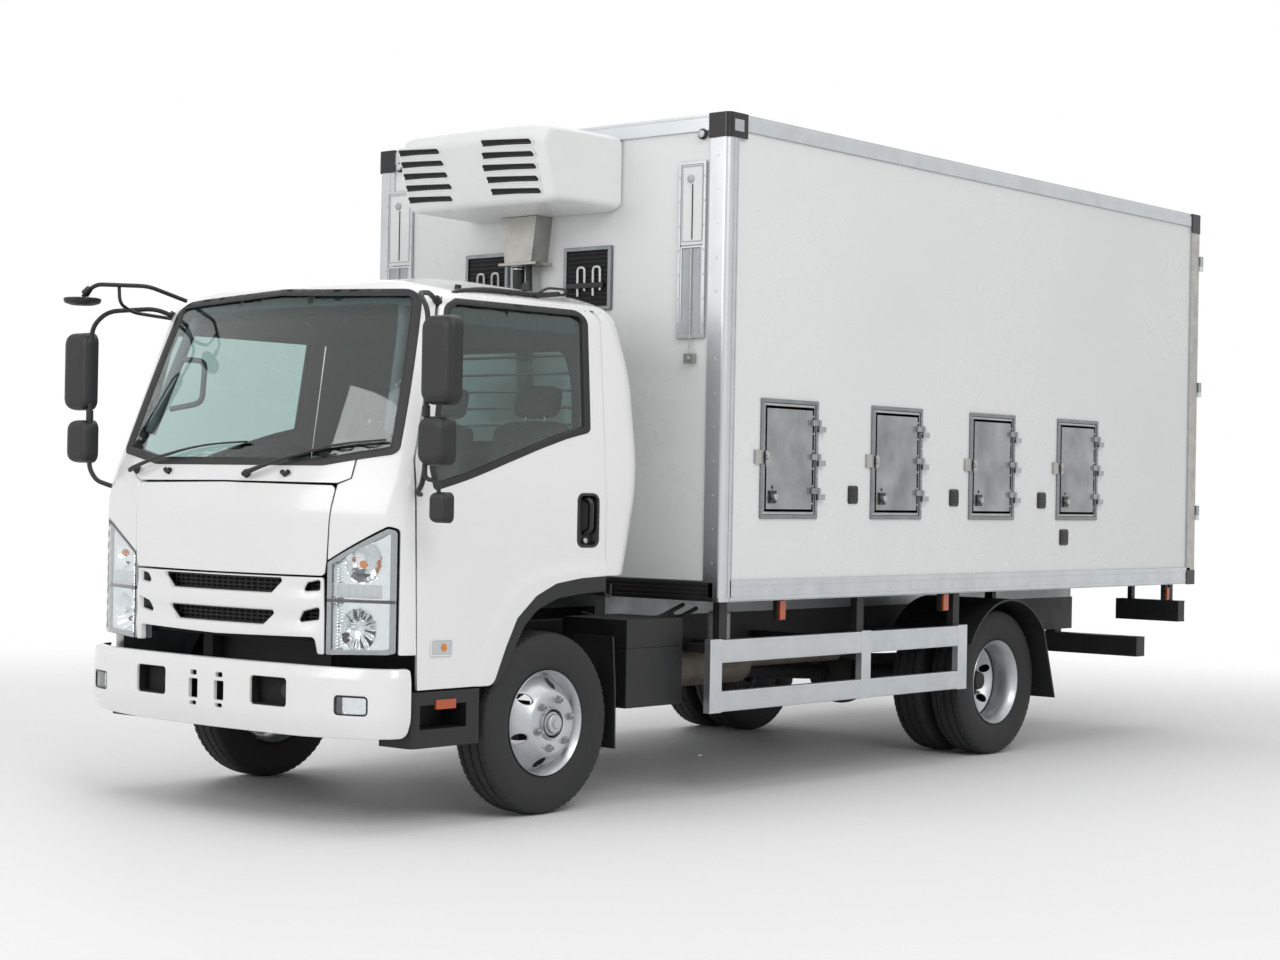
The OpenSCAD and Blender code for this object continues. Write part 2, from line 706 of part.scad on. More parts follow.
duct = [-176, 62, 2530];                          // left, right, bottom
module unit_duct() {
    color([0.66, 0.66, 0.65]) along_y(box_front - 110, box_front + post_proud) polygon([
        [duct[0], unit_low], [duct[1], unit_low], [duct[1] - 30, duct[2]], [duct[0] + 30, duct[2]]]);
}

// ---- Cab -----------------------------------------------------------------

belt_z = 1450;
screen_rake = 20;                                 // lean of the windscreen
screen_bend = 3700;                               // radius of the windscreen in plan
nose_bend = 3600;                                 // radius of the front panel in plan
cab_low = 583;                                    // lower edge beside the steps
nose_low = 725;                                   // lower edge above the bumper
well_back = -460;                                 // rear wall of the footwells
tunnel_x = 460;
tunnel_z = 850;

// Side view of the cab, pulled in by t: rows of [y, z, corner radius]
function cab_side(t) = [
    [cab_front + t, nose_low + t, 0], [-832 + t, nose_low + t, 0], [-832 + t, cab_low + t, 0],
    [well_back - t, cab_low + t, 0], [well_back - t, floor_z + t, 0],
    [525 - t, floor_z + t, 20], [624 - t, 1500, 300], [618 - t, 1950, 250], [500 - t, 2325 - t, 90],
    [-100, cab_top - t, 1500], [-690 + t, 2290 - t, 60], [cab_front - 120 + t, belt_z + 40, 0],
        [cab_front + t, belt_z, 40]];

// Front view of the cab, pulled in by t: rows of [x, z, corner radius]
function cab_face(t) = mirrored([
    [half_cab - t, 300, 0], [half_cab - t, belt_z, 500], [half_cab - 92 - t, 2235 - t, 110],
        [500, cab_top - 18 - t, 900]]);

module cab_form(t) {
    intersection() {
        along_x(-half_cab, half_cab) polygon(rounded(cab_side(t)));
        along_y(-1300, 800) polygon(rounded(cab_face(t)));
        along_z(300, 2600) polygon(rounded(mirrored([
            [half_cab - t, 640 - t, 90], [half_cab - t, -880 + t, 110], [800, cab_front + 10 + t, 0]])));
        translate([0, cab_front + nose_bend, 300]) cylinder(r = nose_bend - t, h = 2300, $fn = 180);
        translate([0, cab_front + 35, belt_z]) rotate([-screen_rake, 0, 0])
            translate([0, screen_bend, -2500]) cylinder(r = screen_bend - t, h = 5000, $fn = 180);
    }
}

// The cab without the tunnel over the frame and the tilt pivots
module cab_solid(t) {
    difference() {
        cab_form(t);
        block([-tunnel_x - t, cab_front + cab_wall, 0], [tunnel_x + t, well_back + cut, tunnel_z + t]);
    }
}

// Left door in side view, grown by g: rows of [y, z, corner radius]
function door_rows(g) = [
    [-805 - g, cab_low - g, 0], [-400 + g, cab_low - g, 0], [-335 + g, 800 - g / 2, 120],
        [-150 + g / 2, 1000 - g, 150],
    [345 + g, 1038 - g, 20], [345 + g, 1500, 300], [335 + g, 2235 + g, 90],
        [-590 - g, 2245 + g, 70], [-812 - g, 1520, 60]];
door_window = [[-715, 1432, 70], [170, 1640, 60], [222, 1720, 60], [215, 2160, 90],
    [-560, 2165, 50], [-738, 1560, 60]];
screen_rows = mirrored([[640, 1515, 120], [890, 1600, 60], [800, 2225, 90]]);
back_window = [[-560, 1650, 60], [560, 1650, 60], [520, 2080, 60], [-520, 2080, 60]];
grille_rows = [[-676, nose_low, 0], [676, nose_low, 0], [676, 1035, 12], [-676, 1035, 12]];
lamp_back = -850;                                 // rear end of the headlamps, ahead of the doors
lamp_rows = [[690, 735, 12], [968, 735, 12], [972, 1225, 12], [930, 1240, 12], [690, 1085, 20]];

module door_cut(side, g) {
    on_side(side) along_x(half_cab - 260, half_cab + cut) polygon(rounded(door_rows(g)));
}

// Cab door hinges: the pin's place, the heights of the hinges, and the height of one
door_pin = [half_cab - 5, -811];
door_hinges = [800, 1290];
door_hinge_h = 80;
door_barrel = door_pin_r + 3.5;

// Round room around the hinge pin, from height low to height high
module hinge_room(low, high) {
    translate([door_pin[0], door_pin[1], low]) cylinder(r = door_barrel + 5, h = high - low, $fn = 36);
}

// The cab's half of a door hinge: a lug with the pin standing on it
module door_hinge_lug(low) {
    half = door_hinge_h / 2;
    block([door_pin[0] - door_barrel, door_pin[1] - 22, low], [door_pin[0] + 4, door_pin[1], low + half - 1]);
    translate([door_pin[0], door_pin[1], low]) cylinder(r = door_barrel, h = half - 1, $fn = 36);
    translate([door_pin[0], door_pin[1], low]) cylinder(r = door_pin_r, h = door_hinge_h, $fn = 36);
}

// The door's half: a barrel around the pin, joined to the door's front edge
module door_hinge_barrel(low) {
    half = door_hinge_h / 2;
    difference() {
        union() {
            translate([door_pin[0], door_pin[1], low + half]) cylinder(r = door_barrel, h = half, $fn = 36);
            block([door_pin[0] - door_barrel, door_pin[1], low + half],
                [door_pin[0] + 4, door_pin[1] + 22, low + door_hinge_h]);
        }
        translate([door_pin[0], door_pin[1], low]) cylinder(r = door_pin_r + run_gap,
            h = door_hinge_h + cut, $fn = 36);
    }
}

module cab_shell() {
    color([0.95, 0.95, 0.94]) difference() {
        cab_solid(0);
        cab_solid(cab_wall);
        both_sides() door_cut(1, door_gap);
        along_y(cab_front - 100, -400) polygon(rounded(screen_rows));
        along_y(300, 800) polygon(rounded(back_window));
        along_y(cab_front - 100, cab_front + 200) polygon(rounded(grille_rows));
        both_sides() along_y(cab_front - 100, lamp_back) polygon(rounded(lamp_rows));
        both_sides() x_cylinder(rail_in - 20, tunnel_x + cab_wall + 1, pivot_r, pivot_y, pivot_z);
        both_sides() for (z = door_hinges) hinge_room(z + door_hinge_h / 2 - 1, z + door_hinge_h + 1);
    }
    // tilt pins, fixed in the footwell walls
    color([0.3, 0.3, 0.3]) both_sides() {
        x_cylinder(rail_in - 10, tunnel_x + cab_wall, pivot_r, pivot_y, pivot_z);
        for (z = door_hinges) door_hinge_lug(z);
    }
}

module cab_glass() {
    color([0.25, 0.35, 0.35, 0.6]) {
        intersection() {
            difference() {
                cab_form(14);
                cab_form(14 + glass_t);
            }
            along_y(cab_front - 100, -400) polygon(rounded(screen_rows));
        }
        intersection() {
            difference() {
                cab_form(20);
                cab_form(20 + glass_t);
            }
            along_y(300, 800) polygon(rounded(back_window));
        }
    }
}

module grille() {
    // air slots: [x from, x to, bottom, top]
    slots = [[-560, 560, 935, 1000], [-520, 520, 800, 900], [-650, -590, 935, 990], [590, 650, 935, 990],
        [-650, -580, 790, 870], [580, 650, 790, 870]];
    color([0.9, 0.9, 0.89]) difference() {
        intersection() {
            cab_form(0);
            along_y(cab_front - 100, cab_front + 200) polygon(rounded(grille_rows));
        }
        cab_form(cab_wall - 5);
        block([-tunnel_x, cab_front + cab_wall - 5, 0], [tunnel_x, 0, tunnel_z]);
        for (s = slots) block([s[0], cab_front - 100, s[2]], [s[1], cab_front + 200, s[3]]);
    }
}

module headlamps() {
    color([0.8, 0.8, 0.82]) both_sides() intersection() {
        difference() {
            cab_form(0);
            cab_form(cab_wall - 2);
        }
        along_y(cab_front - 100, lamp_back) polygon(rounded(lamp_rows));
    }
}

steer_at = [460, -560, 1500];
steer_lean = 32;
module dashboard() {
    color([0.3, 0.31, 0.32]) {
        intersection() {
            cab_form(cab_wall);
            along_x(-880, 880) polygon(rounded([
                [-1100, 1120, 0], [-700, 1160, 60], [-640, 1300, 60], [-700, 1425, 50], [-1100, 1450, 0]]));
        }
        bar([steer_at[0], -700, 1300], steer_at - 30 * [0, sin(steer_lean), cos(steer_lean)], 30);
    }
}

module steering_wheel() {
    color([0.1, 0.1, 0.1]) translate(steer_at) rotate([-steer_lean, 0, 0]) {
        rotate_extrude($fn = 72) translate([steer_r, 0]) circle(r = 14, $fn = 20);
        translate([0, 0, -28]) cylinder(r = 55, h = 40, $fn = 36);
        for (a = [20, 160, 270]) rotate([0, 0, a]) translate([45, -16, -12]) cube([steer_r - 48, 32, 14]);
    }
}

// Seats: [middle, width]
seat_rows = [[500, 500], [-320, 900]];
module seats() {
    color([0.15, 0.16, 0.2]) for (s = seat_rows) {
        x0 = s[0] - s[1] / 2;
        x1 = s[0] + s[1] / 2;
        block([x0 + 40, -220, floor_z + cab_wall], [x1 - 40, 240, 1210]);
        along_x(x0, x1) polygon(rounded([[-260, 1210, 30], [330, 1210, 30], [330, 1300, 20],
            [260, 1350, 0], [-260, 1360, 50]]));
        along_x(x0 + 10, x1 - 10) polygon(rounded([[250, 1340, 20], [330, 1290, 20],
            [470, 1880, 40], [380, 1900, 40]]));
    }
}

// Mirrors: heads as [x from, x to, y, bottom, top] and the tubes that carry them
mirror_heads = [[1090, 1285, -900, 1745, 2112], [1085, 1250, -900, 1500, 1705]];
head_t = 70;
arm_x = 1130;                                     // upright tube that both heads clamp to
arm_low = 1330;
arm_high = 2155;
round_mirror = [-1030, -1010, 2240];
module mirror_tubes() {
    both_sides() bent_bar([[860, -640, arm_high], [900, -760, arm_high + 5], [1050, -880, arm_high],
        [arm_x, -900, arm_high - 15],
        [arm_x, -900, 1460], [1040, -900, arm_low], [half_cab - 50, -880, arm_low]], 11);
    bent_bar([[-780, -610, 2260], [-820, -800, 2320], [-960, -1000, 2320],
        [round_mirror[0], -1010, 2300]], 10);
}

module mirrors() {
    color([0.1, 0.1, 0.1]) difference() {
        union() {
            mirror_tubes();
            both_sides() for (m = mirror_heads)
                along_y(m[2] - head_t / 2, m[2] + head_t / 2) polygon(rounded([
                    [m[0], m[3], 35], [m[1], m[3], 35], [m[1], m[4], 35], [m[0], m[4], 35]]));
            // round front mirror, on the right
            translate(round_mirror) rotate([90, 0, 0]) translate([0, 0, -25])
                cylinder(r = 85, h = 50, $fn = 48);
        }
        cab_form(0);
    }
}

// Door, drawn for the left side
module door_panel() {
    difference() {
        intersection() {
            door_block();
            door_cut(1, 0);
        }
        door_inner_block();
        along_x(0, half_cab + cut) polygon(rounded(door_window));
        for (z = door_hinges) {
            hinge_room(z - 1, z + door_hinge_h / 2);
            translate([door_pin[0], door_pin[1], z])
                cylinder(r = door_pin_r + run_gap, h = door_hinge_h + 1, $fn = 36);
        }
    }
    for (z = door_hinges) door_hinge_barrel(z);
}

// The door follows the cab's side, so it takes its bend from the front view alone
module door_block() {
    intersection() {
        along_y(-1000, 800) polygon(rounded(cab_face(0)));
        along_z(300, 2600) polygon(rounded(mirrored([[half_cab, 640, 90], [half_cab, -880, 110],
            [800, cab_front + 10, 0]])));
    }
}

module door_inner_block() {
    along_y(-1100, 900) polygon(rounded(cab_face(door_t)));
}

module door_glass() {
    color([0.25, 0.35, 0.35, 0.6]) intersection() {
        difference() {
            along_y(-1000, 800) polygon(rounded(cab_face(22)));
            along_y(-1100, 900) polygon(rounded(cab_face(22 + glass_t)));
        }
        along_x(0, half_cab) polygon(rounded(door_window));
    }
}

// ---- Wheels --------------------------------------------------------------

// Knuckle, drawn for the left side: fork over the axle eye, kingpin and spindle
front_x = front_track / 2;
front_disc = front_x + disc_offset;
module knuckle() {
    color([0.2, 0.2, 0.21]) translate([0, 0, tyre_r]) {
        for (z = [-85, 46]) translate([kingpin_x, 0, z]) cylinder(r = 36, h = 39, $fn = 48);
        translate([kingpin_x, 0, -84]) cylinder(r = kingpin_r, h = 168, $fn = 48);
        difference() {
            block([kingpin_x, -36, -85], [kingpin_x + 66, 36, 85]);
            translate([kingpin_x, 0, -46]) cylinder(r = 42, h = 92, $fn = 48);
        }
        x_cylinder(kingpin_x + 50, front_disc - 10, spindle_r);
        // steering arm, back from the fork
        block([kingpin_x - 35, 20, -85], [kingpin_x + 5, 190, -60]);
    }
}

// Section of a tyre about the middle of its rim: rows of [x, radius, corner radius]
bead_in = rim_w / 2 - 12;                         // half the width between the bead seats' outer edges
function tyre_rows(x) =
    let (half = tyre_w / 2)
    [[x - bead_in, flange_d / 2, 0], [x - half, tyre_r - 95, 60], [x - half + 8, tyre_r - 10, 26],
        [x - 30, tyre_r, 0],
     [x + 30, tyre_r, 0], [x + half - 8, tyre_r - 10, 26], [x + half, tyre_r - 95, 60],
         [x + bead_in, flange_d / 2, 0],
     [x + bead_in, bead_r + bead_fit, 0], [x - bead_in, bead_r + bead_fit, 0]];
bead_r = 203;
bead_fit = 0.3;                                   // play of a tyre on its bead seats

module tyre(x) {
    color([0.06, 0.06, 0.06]) translate([0, 0, tyre_r]) turned(rounded(tyre_rows(x), 4));
}

// Rim and disc: x is the middle of the rim and way is +1 when the disc stands outward of it
module rim(x, way) {
    half = rim_w / 2;
    lip = flange_d / 2;
    disc = x + way * disc_offset;
    turned([[x - half, lip], [x - half, lip - 12], [x - half + 12, bead_r - 10], [x - 30, bead_r - 24],
        [x + 30, bead_r - 24], [x + half - 12, bead_r - 10], [x + half, lip - 12], [x + half, lip],
        [x + half - 12, lip], [x + half - 12, bead_r], [x - half + 12, bead_r], [x - half + 12, lip]]);
    difference() {
        turned([[x + way * 20, bead_r - 22], [x + way * 20, bead_r - 14],
            [x + way * 30, bead_r - 14], [disc - way * 6, 150],
            [disc, 140], [disc, 60], [disc - way * 12, 60], [disc - way * 12, 136],
                [x + way * 12, bead_r - 22]]);
        for (a = [36:72:324]) rotate([a, 0, 0]) x_cylinder(disc - 25 - 15 * way,
            disc + 25 - 15 * way, 20, 0, 160);
    }
}

// Front hub with its brake drum; the disc bolts to its face
module front_rim() {
    face = front_disc - 12;
    color([0.76, 0.77, 0.78]) translate([0, 0, tyre_r]) {
        rim(front_x, 1);
        difference() {
            union() {
                x_cylinder(face - 90, front_disc + 22, 62);
                x_cylinder(face - 12, face, 132);
                // drum
                difference() {
                    x_cylinder(face - 110, face - 12, 148);
                    x_cylinder(face - 111, face - 24, 136);
                }
            }
            x_cylinder(face - 120, front_disc - 6, spindle_r + run_gap);
        }
        for (a = [0:60:300]) rotate([a, 0, 0]) x_cylinder(front_disc, front_disc + 22, 16, 0, 111);
    }
}

module rear_tyres() {
    tyre(rear_disc - twin_half);
    tyre(rear_disc + twin_half);
}

module rear_rims() {
    color([0.74, 0.75, 0.76]) translate([0, 0, tyre_r]) {
        rim(rear_disc + twin_half, -1);
        rim(rear_disc - twin_half, 1);
        difference() {
            union() {
                x_cylinder(rear_disc - 100, rear_disc + 92, 59);
                // drum, inside the inner rim
                difference() {
                    x_cylinder(rear_disc - 100, rear_disc - 12, 132);
                    x_cylinder(rear_disc - 101, rear_disc - 24, 120);
                }
            }
            x_cylinder(rear_disc - 120, rear_journal + 3, journal_r + run_gap);
        }
        for (a = [0:60:300]) rotate([a, 0, 0]) x_cylinder(rear_disc + 12, rear_disc + 36, 16, 0, 111);
    }
}

module at_rear_axle() {
    translate([0, wheelbase, 0]) children();
}

from_axle() chassis_frame();
from_axle() front_axle();
from_axle() rear_axle();
from_axle() leaf_springs();
from_axle() propeller_shaft();
from_axle() engine_block();
from_axle() bumper();
from_axle() cab_steps();
from_axle() fuel_tank();
from_axle() battery_box();
from_axle() exhaust();
from_axle() side_guards();
from_axle() rear_mudguards();
from_axle() underrun_bar();
from_axle() rear_lamps();
from_axle() box_floor();
from_axle() box_front_wall();
from_axle() {
    box_side_walls();
    color([0.5, 0.5, 0.5]) both_sides() hatch_knuckles();
}
from_axle() box_roof();
from_axle() box_rails();
from_axle() refrigeration_unit();
from_axle() unit_duct();
from_axle() cab_shell();
from_axle() cab_glass();
from_axle() grille();
from_axle() headlamps();
from_axle() dashboard();
from_axle() steering_wheel();
from_axle() seats();
from_axle() mirrors();
from_axle() color([0.95, 0.95, 0.94]) door_panel();  // cab_door_left
from_axle() color([0.95, 0.95, 0.94]) on_side(-1) door_panel();  // cab_door_right
from_axle() door_glass();  // door_glass_left
from_axle() on_side(-1) door_glass();  // door_glass_right
from_axle() knuckle();  // knuckle_left
from_axle() on_side(-1) knuckle();  // knuckle_right
from_axle() tyre(front_x);  // front_tyre_left
from_axle() on_side(-1) tyre(front_x);  // front_tyre_right
from_axle() front_rim();  // front_rim_left
from_axle() on_side(-1) front_rim();  // front_rim_right
from_axle() at_rear_axle() rear_tyres();  // rear_tyres_left
from_axle() at_rear_axle() on_side(-1) rear_tyres();  // rear_tyres_right
from_axle() at_rear_axle() rear_rims();  // rear_rims_left
from_axle() at_rear_axle() on_side(-1) rear_rims();  // rear_rims_right
from_axle() color([0.95, 0.95, 0.94]) rear_door();  // rear_door_left
from_axle() color([0.95, 0.95, 0.94]) on_side(-1) rear_door();  // rear_door_right
for (i = [0:hatch_n - 1]) {
    from_axle() color([0.9, 0.9, 0.88]) hatch(i);
    from_axle() color([0.9, 0.9, 0.88])
        on_side(-1) hatch(i);
}
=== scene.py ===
"""Refrigerated box truck: the look of every piece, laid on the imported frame.

Lengths are metres. Pieces are drawn with y = 0 at the front axle and are then moved to the frame's own origin.
The truck's front is toward -Y, its left is +X and up is +Z.
"""

import json
import math
import random

import bmesh
import bpy
import numpy as np
from bpy.props import FloatProperty, FloatVectorProperty, IntProperty, PointerProperty
from mathutils import Matrix, Vector
from mathutils.geometry import delaunay_2d_cdt


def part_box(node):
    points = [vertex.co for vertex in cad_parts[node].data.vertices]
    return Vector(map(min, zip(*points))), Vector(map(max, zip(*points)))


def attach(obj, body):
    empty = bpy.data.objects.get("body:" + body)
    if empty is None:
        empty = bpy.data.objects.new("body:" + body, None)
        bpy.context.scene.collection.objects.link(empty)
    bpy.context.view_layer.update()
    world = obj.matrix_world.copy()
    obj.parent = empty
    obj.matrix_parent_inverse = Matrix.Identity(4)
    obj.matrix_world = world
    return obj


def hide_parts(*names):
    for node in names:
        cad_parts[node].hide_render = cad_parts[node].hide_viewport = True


bl_info = {
    "name": "Refrigerated box truck",
    "version": (1, 0, 0),
    "blender": (4, 5, 0),
    "location": "3D View > Sidebar > Truck",
    "description": "Builds the look of a refrigerated box truck on its packed frame",
    "category": "Object",
}

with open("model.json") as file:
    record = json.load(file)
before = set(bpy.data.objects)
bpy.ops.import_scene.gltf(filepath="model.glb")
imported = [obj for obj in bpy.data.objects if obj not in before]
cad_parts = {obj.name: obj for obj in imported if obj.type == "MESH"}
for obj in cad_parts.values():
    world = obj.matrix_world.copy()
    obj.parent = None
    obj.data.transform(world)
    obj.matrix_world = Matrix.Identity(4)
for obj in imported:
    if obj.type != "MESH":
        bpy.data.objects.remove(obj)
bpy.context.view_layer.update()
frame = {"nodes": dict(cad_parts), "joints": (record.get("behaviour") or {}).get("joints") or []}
JOINTS = {j["name"]: j for j in frame["joints"]}
FRONT_Y = JOINTS["steer_left"]["pos_m"][1]
REAR_Y = JOINTS["rear_wheel_left_spin"]["pos_m"][1] - FRONT_Y
AXLE_Z = JOINTS["steer_left"]["pos_m"][2]
SKIN_X, SKIN_BACK = 1.162, 5.69  # the box's outer faces: half its width, and its back
SIDES = {"left": 1, "right": -1}


def node_box(name):
    """A CAD node's box with y measured from the front axle: low corner, high corner."""
    low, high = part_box(name)
    shift = Vector((0, FRONT_Y, 0))
    return low - shift, high - shift


# ---- Outlines --------------------------------------------------------------


def rounded(rows, steps=6):
    """Closed outline from rows of (x, y, corner radius)."""
    points = []
    n = len(rows)
    for i in range(n):
        a, b, c = (np.array(rows[k % n][:2], float) for k in (i - 1, i, i + 1))
        r = rows[i][2]
        u, v = (a - b) / np.linalg.norm(a - b), (c - b) / np.linalg.norm(c - b)
        half = math.acos(max(-1, min(1, u @ v))) / 2
        if r <= 0 or half > 1.5:
            points.append(b)
            continue
        way = u + v
        centre = b + way / np.linalg.norm(way) * r / math.sin(half)
        start, end = b + u * r / math.tan(half) - centre, b + v * r / math.tan(half) - centre
        first = math.atan2(start[1], start[0])
        turn = (math.atan2(end[1], end[0]) - first + math.pi) % (2 * math.pi) - math.pi
        points += [centre + r * np.array((math.cos(first + turn * s / steps), math.sin(first + turn * s / steps)))
            for s in range(steps + 1)]
    return points


def dense(points, spacing, closed=True):
    """The same outline with no edge longer than spacing."""
    out = []
    n = len(points)
    for i in range(n if closed else n - 1):
        a, b = np.array(points[i], float), np.array(points[(i + 1) % n], float)
        parts = max(1, math.ceil(np.linalg.norm(b - a) / spacing - 1e-6))
        out += [a + (b - a) * k / parts for k in range(parts)]
    if not closed:
        out.append(np.array(points[-1], float))
    return out


def smooth(points, rounds=2, closed=False):
    """Corners cut off again and again, for a soft curve."""
    points = [np.array(p, float) for p in points]
    for _ in range(rounds):
        n = len(points)
        cut = [] if closed else [points[0]]
        for i in range(n if closed else n - 1):
            a, b = points[i], points[(i + 1) % n]
            cut += [a * 0.75 + b * 0.25, a * 0.25 + b * 0.75]
        points = cut + ([] if closed else [points[-1]])
    return points


def rect(x0, y0, x1, y1, r=0.0, steps=4):
    return rounded([(x0, y0, r), (x1, y0, r), (x1, y1, r), (x0, y1, r)], steps)


def circle(x, y, r, steps=24):
    return [np.array((x + r * math.cos(2 * math.pi * k / steps), y + r * math.sin(2 * math.pi * k / steps)))
        for k in range(steps)]


def signed_area(points):
    p = np.array(points)
    q = np.roll(p, -1, 0)
    return 0.5 * float(np.sum(p[:, 0] * q[:, 1] - q[:, 0] * p[:, 1]))


def inset(points, by, fixed=None):
    """A closed outline moved inward by a small distance. Where fixed is true, a point stays."""
    p = np.array(points, float)
    sign = 1 if signed_area(p) > 0 else -1
    edge = np.roll(p, -1, 0) - p
    edge /= np.maximum(np.linalg.norm(edge, axis=1, keepdims=True), 1e-9)
    normal = np.stack((-edge[:, 1], edge[:, 0]), 1) * sign
    both = normal + np.roll(normal, 1, 0)
    length = np.maximum(np.linalg.norm(both, axis=1, keepdims=True), 0.6)
    moved = p + both / length * (2 / length) * by * 0.5 * np.minimum(length, 2)
    if fixed is not None:
        moved[fixed] = p[fixed]
    return moved


def inside(points, outline):
    """For each point, whether it lies within a closed outline."""
    p, q = np.array(points, float), np.array(outline, float)
    r = np.roll(q, -1, 0)
    hits = np.zeros(len(p), bool)
    for (x0, y0), (x1, y1) in zip(q, r):
        if y0 != y1:
            crosses = (y0 > p[:, 1]) != (y1 > p[:, 1])
            hits ^= crosses & (p[:, 0] < (x1 - x0) * (p[:, 1] - y0) / (y1 - y0) + x0)
    return hits


# ---- Rounded bodies --------------------------------------------------------


def blend_max(a, b, k):
    """The larger of two distances, with the edge between them rounded over about k."""
    h = np.maximum(k - np.abs(a - b), 0) / k
    return np.maximum(a, b) + h * h * k / 4


class Form:
    """A rounded body: value(x, y, z) is below 0 inside it. Charts read it from an upright axis at axis_y."""

    def __init__(self, value, axis_y, middle_z, reach=2.6):
        self.value, self.axis_y, self.middle_z, self.reach = value, axis_y, middle_z, reach

    def solve(self, start, way, level):
        """The point along each ray where value reaches -level, going outward from start."""
        near, far = np.zeros(len(start)), np.full(len(start), self.reach)
        for _ in range(34):
            mid = (near + far) / 2
            p = start + way * mid[:, None]
            within = self.value(p[:, 0], p[:, 1], p[:, 2]) < -level
            near, far = np.where(within, mid, near), np.where(within, far, mid)
        return start + way * near[:, None]

    def belt(self, uv, level):
        """Chart around the body: (angle, height)."""
        uv = np.array(uv, float)
        start = np.stack((np.zeros(len(uv)), np.full(len(uv), self.axis_y), uv[:, 1]), 1)
        way = np.stack((np.cos(uv[:, 0]), np.sin(uv[:, 0]), np.zeros(len(uv))), 1)
        return self.solve(start, way, level)

    def top(self, uv, level):
        """Chart seen from above: (x, y)."""
        uv = np.array(uv, float)
        start = np.stack((uv[:, 0], uv[:, 1], np.full(len(uv), self.middle_z)), 1)
        return self.solve(start, np.tile((0.0, 0.0, 1.0), (len(uv), 1)), level)

    def under(self, uv, level):
        uv = np.array(uv, float)
        start = np.stack((uv[:, 0], uv[:, 1], np.full(len(uv), self.middle_z)), 1)
        return self.solve(start, np.tile((0.0, 0.0, -1.0), (len(uv), 1)), level)

    def normal(self, p):
        e = 1e-4
        p = np.array(p, float).reshape(-1, 3)
        g = np.stack([self.value(*(p + d).T) - self.value(*(p - d).T) for d in np.eye(3) * e], 1)
        return g / np.maximum(np.linalg.norm(g, axis=1, keepdims=True), 1e-12)

    def spot(self, kind, a, b):
        """Belt coordinates of a point: F is the front at (x, z), B the back at (x, z), S the side at (y, z)."""
        start, way = {
            "F": ((a, self.axis_y, b), (0, -1, 0)),
            "B": ((a, self.axis_y, b), (0, 1, 0)),
            "S": ((0, a, b), (1, 0, 0)),
        }[kind]
        p = self.solve(np.array([start], float), np.array([way], float), 0)[0]
        return math.atan2(p[1] - self.axis_y, p[0]), p[2]

    def rows(self, spots):
        return [(*self.spot(*s[:3]), s[3]) for s in spots]

    def at(self, kind, a, b, level=0.0):
        """The point itself, on the surface or level inside it."""
        return self.belt([self.spot(kind, a, b)], level)[0]


def cab_value(x, y, z):
    """The cab: two leaning sides, a bent nose and windscreen, a roof that falls both ways and a bent back."""
    ax = np.abs(x)
    side = blend_max(ax - 1.0, 0.9932 * (ax - 1.0) + 0.1164 * (z - 1.45), 0.015)
    brow = blend_max(-0.1261 * (y + 0.69) + 0.992 * (z - 2.29), 0.0665 * (y + 0.1) + 0.9978 * (z - 2.365), 0.03)
    roof = blend_max(brow, 0.2647 * (ax - 0.908) + 0.9643 * (z - 2.235), 0.05)
    back = blend_max(0.9539 * (y - 0.5) + 0.3002 * (z - 2.325), 0.9999 * (y - 0.618) + 0.0133 * (z - 1.95), 0.03)
    back = blend_max(back, 0.9786 * (y - 0.624) - 0.2061 * (z - 1.5), 0.03)
    nose = np.hypot(x, y - 2.56) - 3.6
    across = (y + 1.005) * math.cos(math.radians(20)) - (z - 1.45) * math.sin(math.radians(20))
    screen = np.hypot(x, across - 3.7) - 3.7
    body = blend_max(nose, screen, 0.03)
    body = blend_max(body, 0.6 * (ax - 1.0) - 0.8 * (y + 0.88), 0.03)
    body = blend_max(body, side, 0.08)
    body = blend_max(body, back, 0.12)
    return blend_max(body, roof, 0.07)


CAB = Form(cab_value, -0.2, 1.6)


# ---- Mesh building ---------------------------------------------------------


def path_frames(path, up):
    """A tangent, a side and a normal for each point of a path, the normal near up."""
    p = np.array(path, float)
    tangent = np.gradient(p, axis=0)
    tangent /= np.linalg.norm(tangent, axis=1, keepdims=True)
    up = np.array(up, float)
    up = np.tile(up, (len(p), 1)) if up.ndim == 1 else up
    side = np.cross(tangent, up)
    side /= np.maximum(np.linalg.norm(side, axis=1, keepdims=True), 1e-9)
    return p, tangent, side, np.cross(side, tangent)


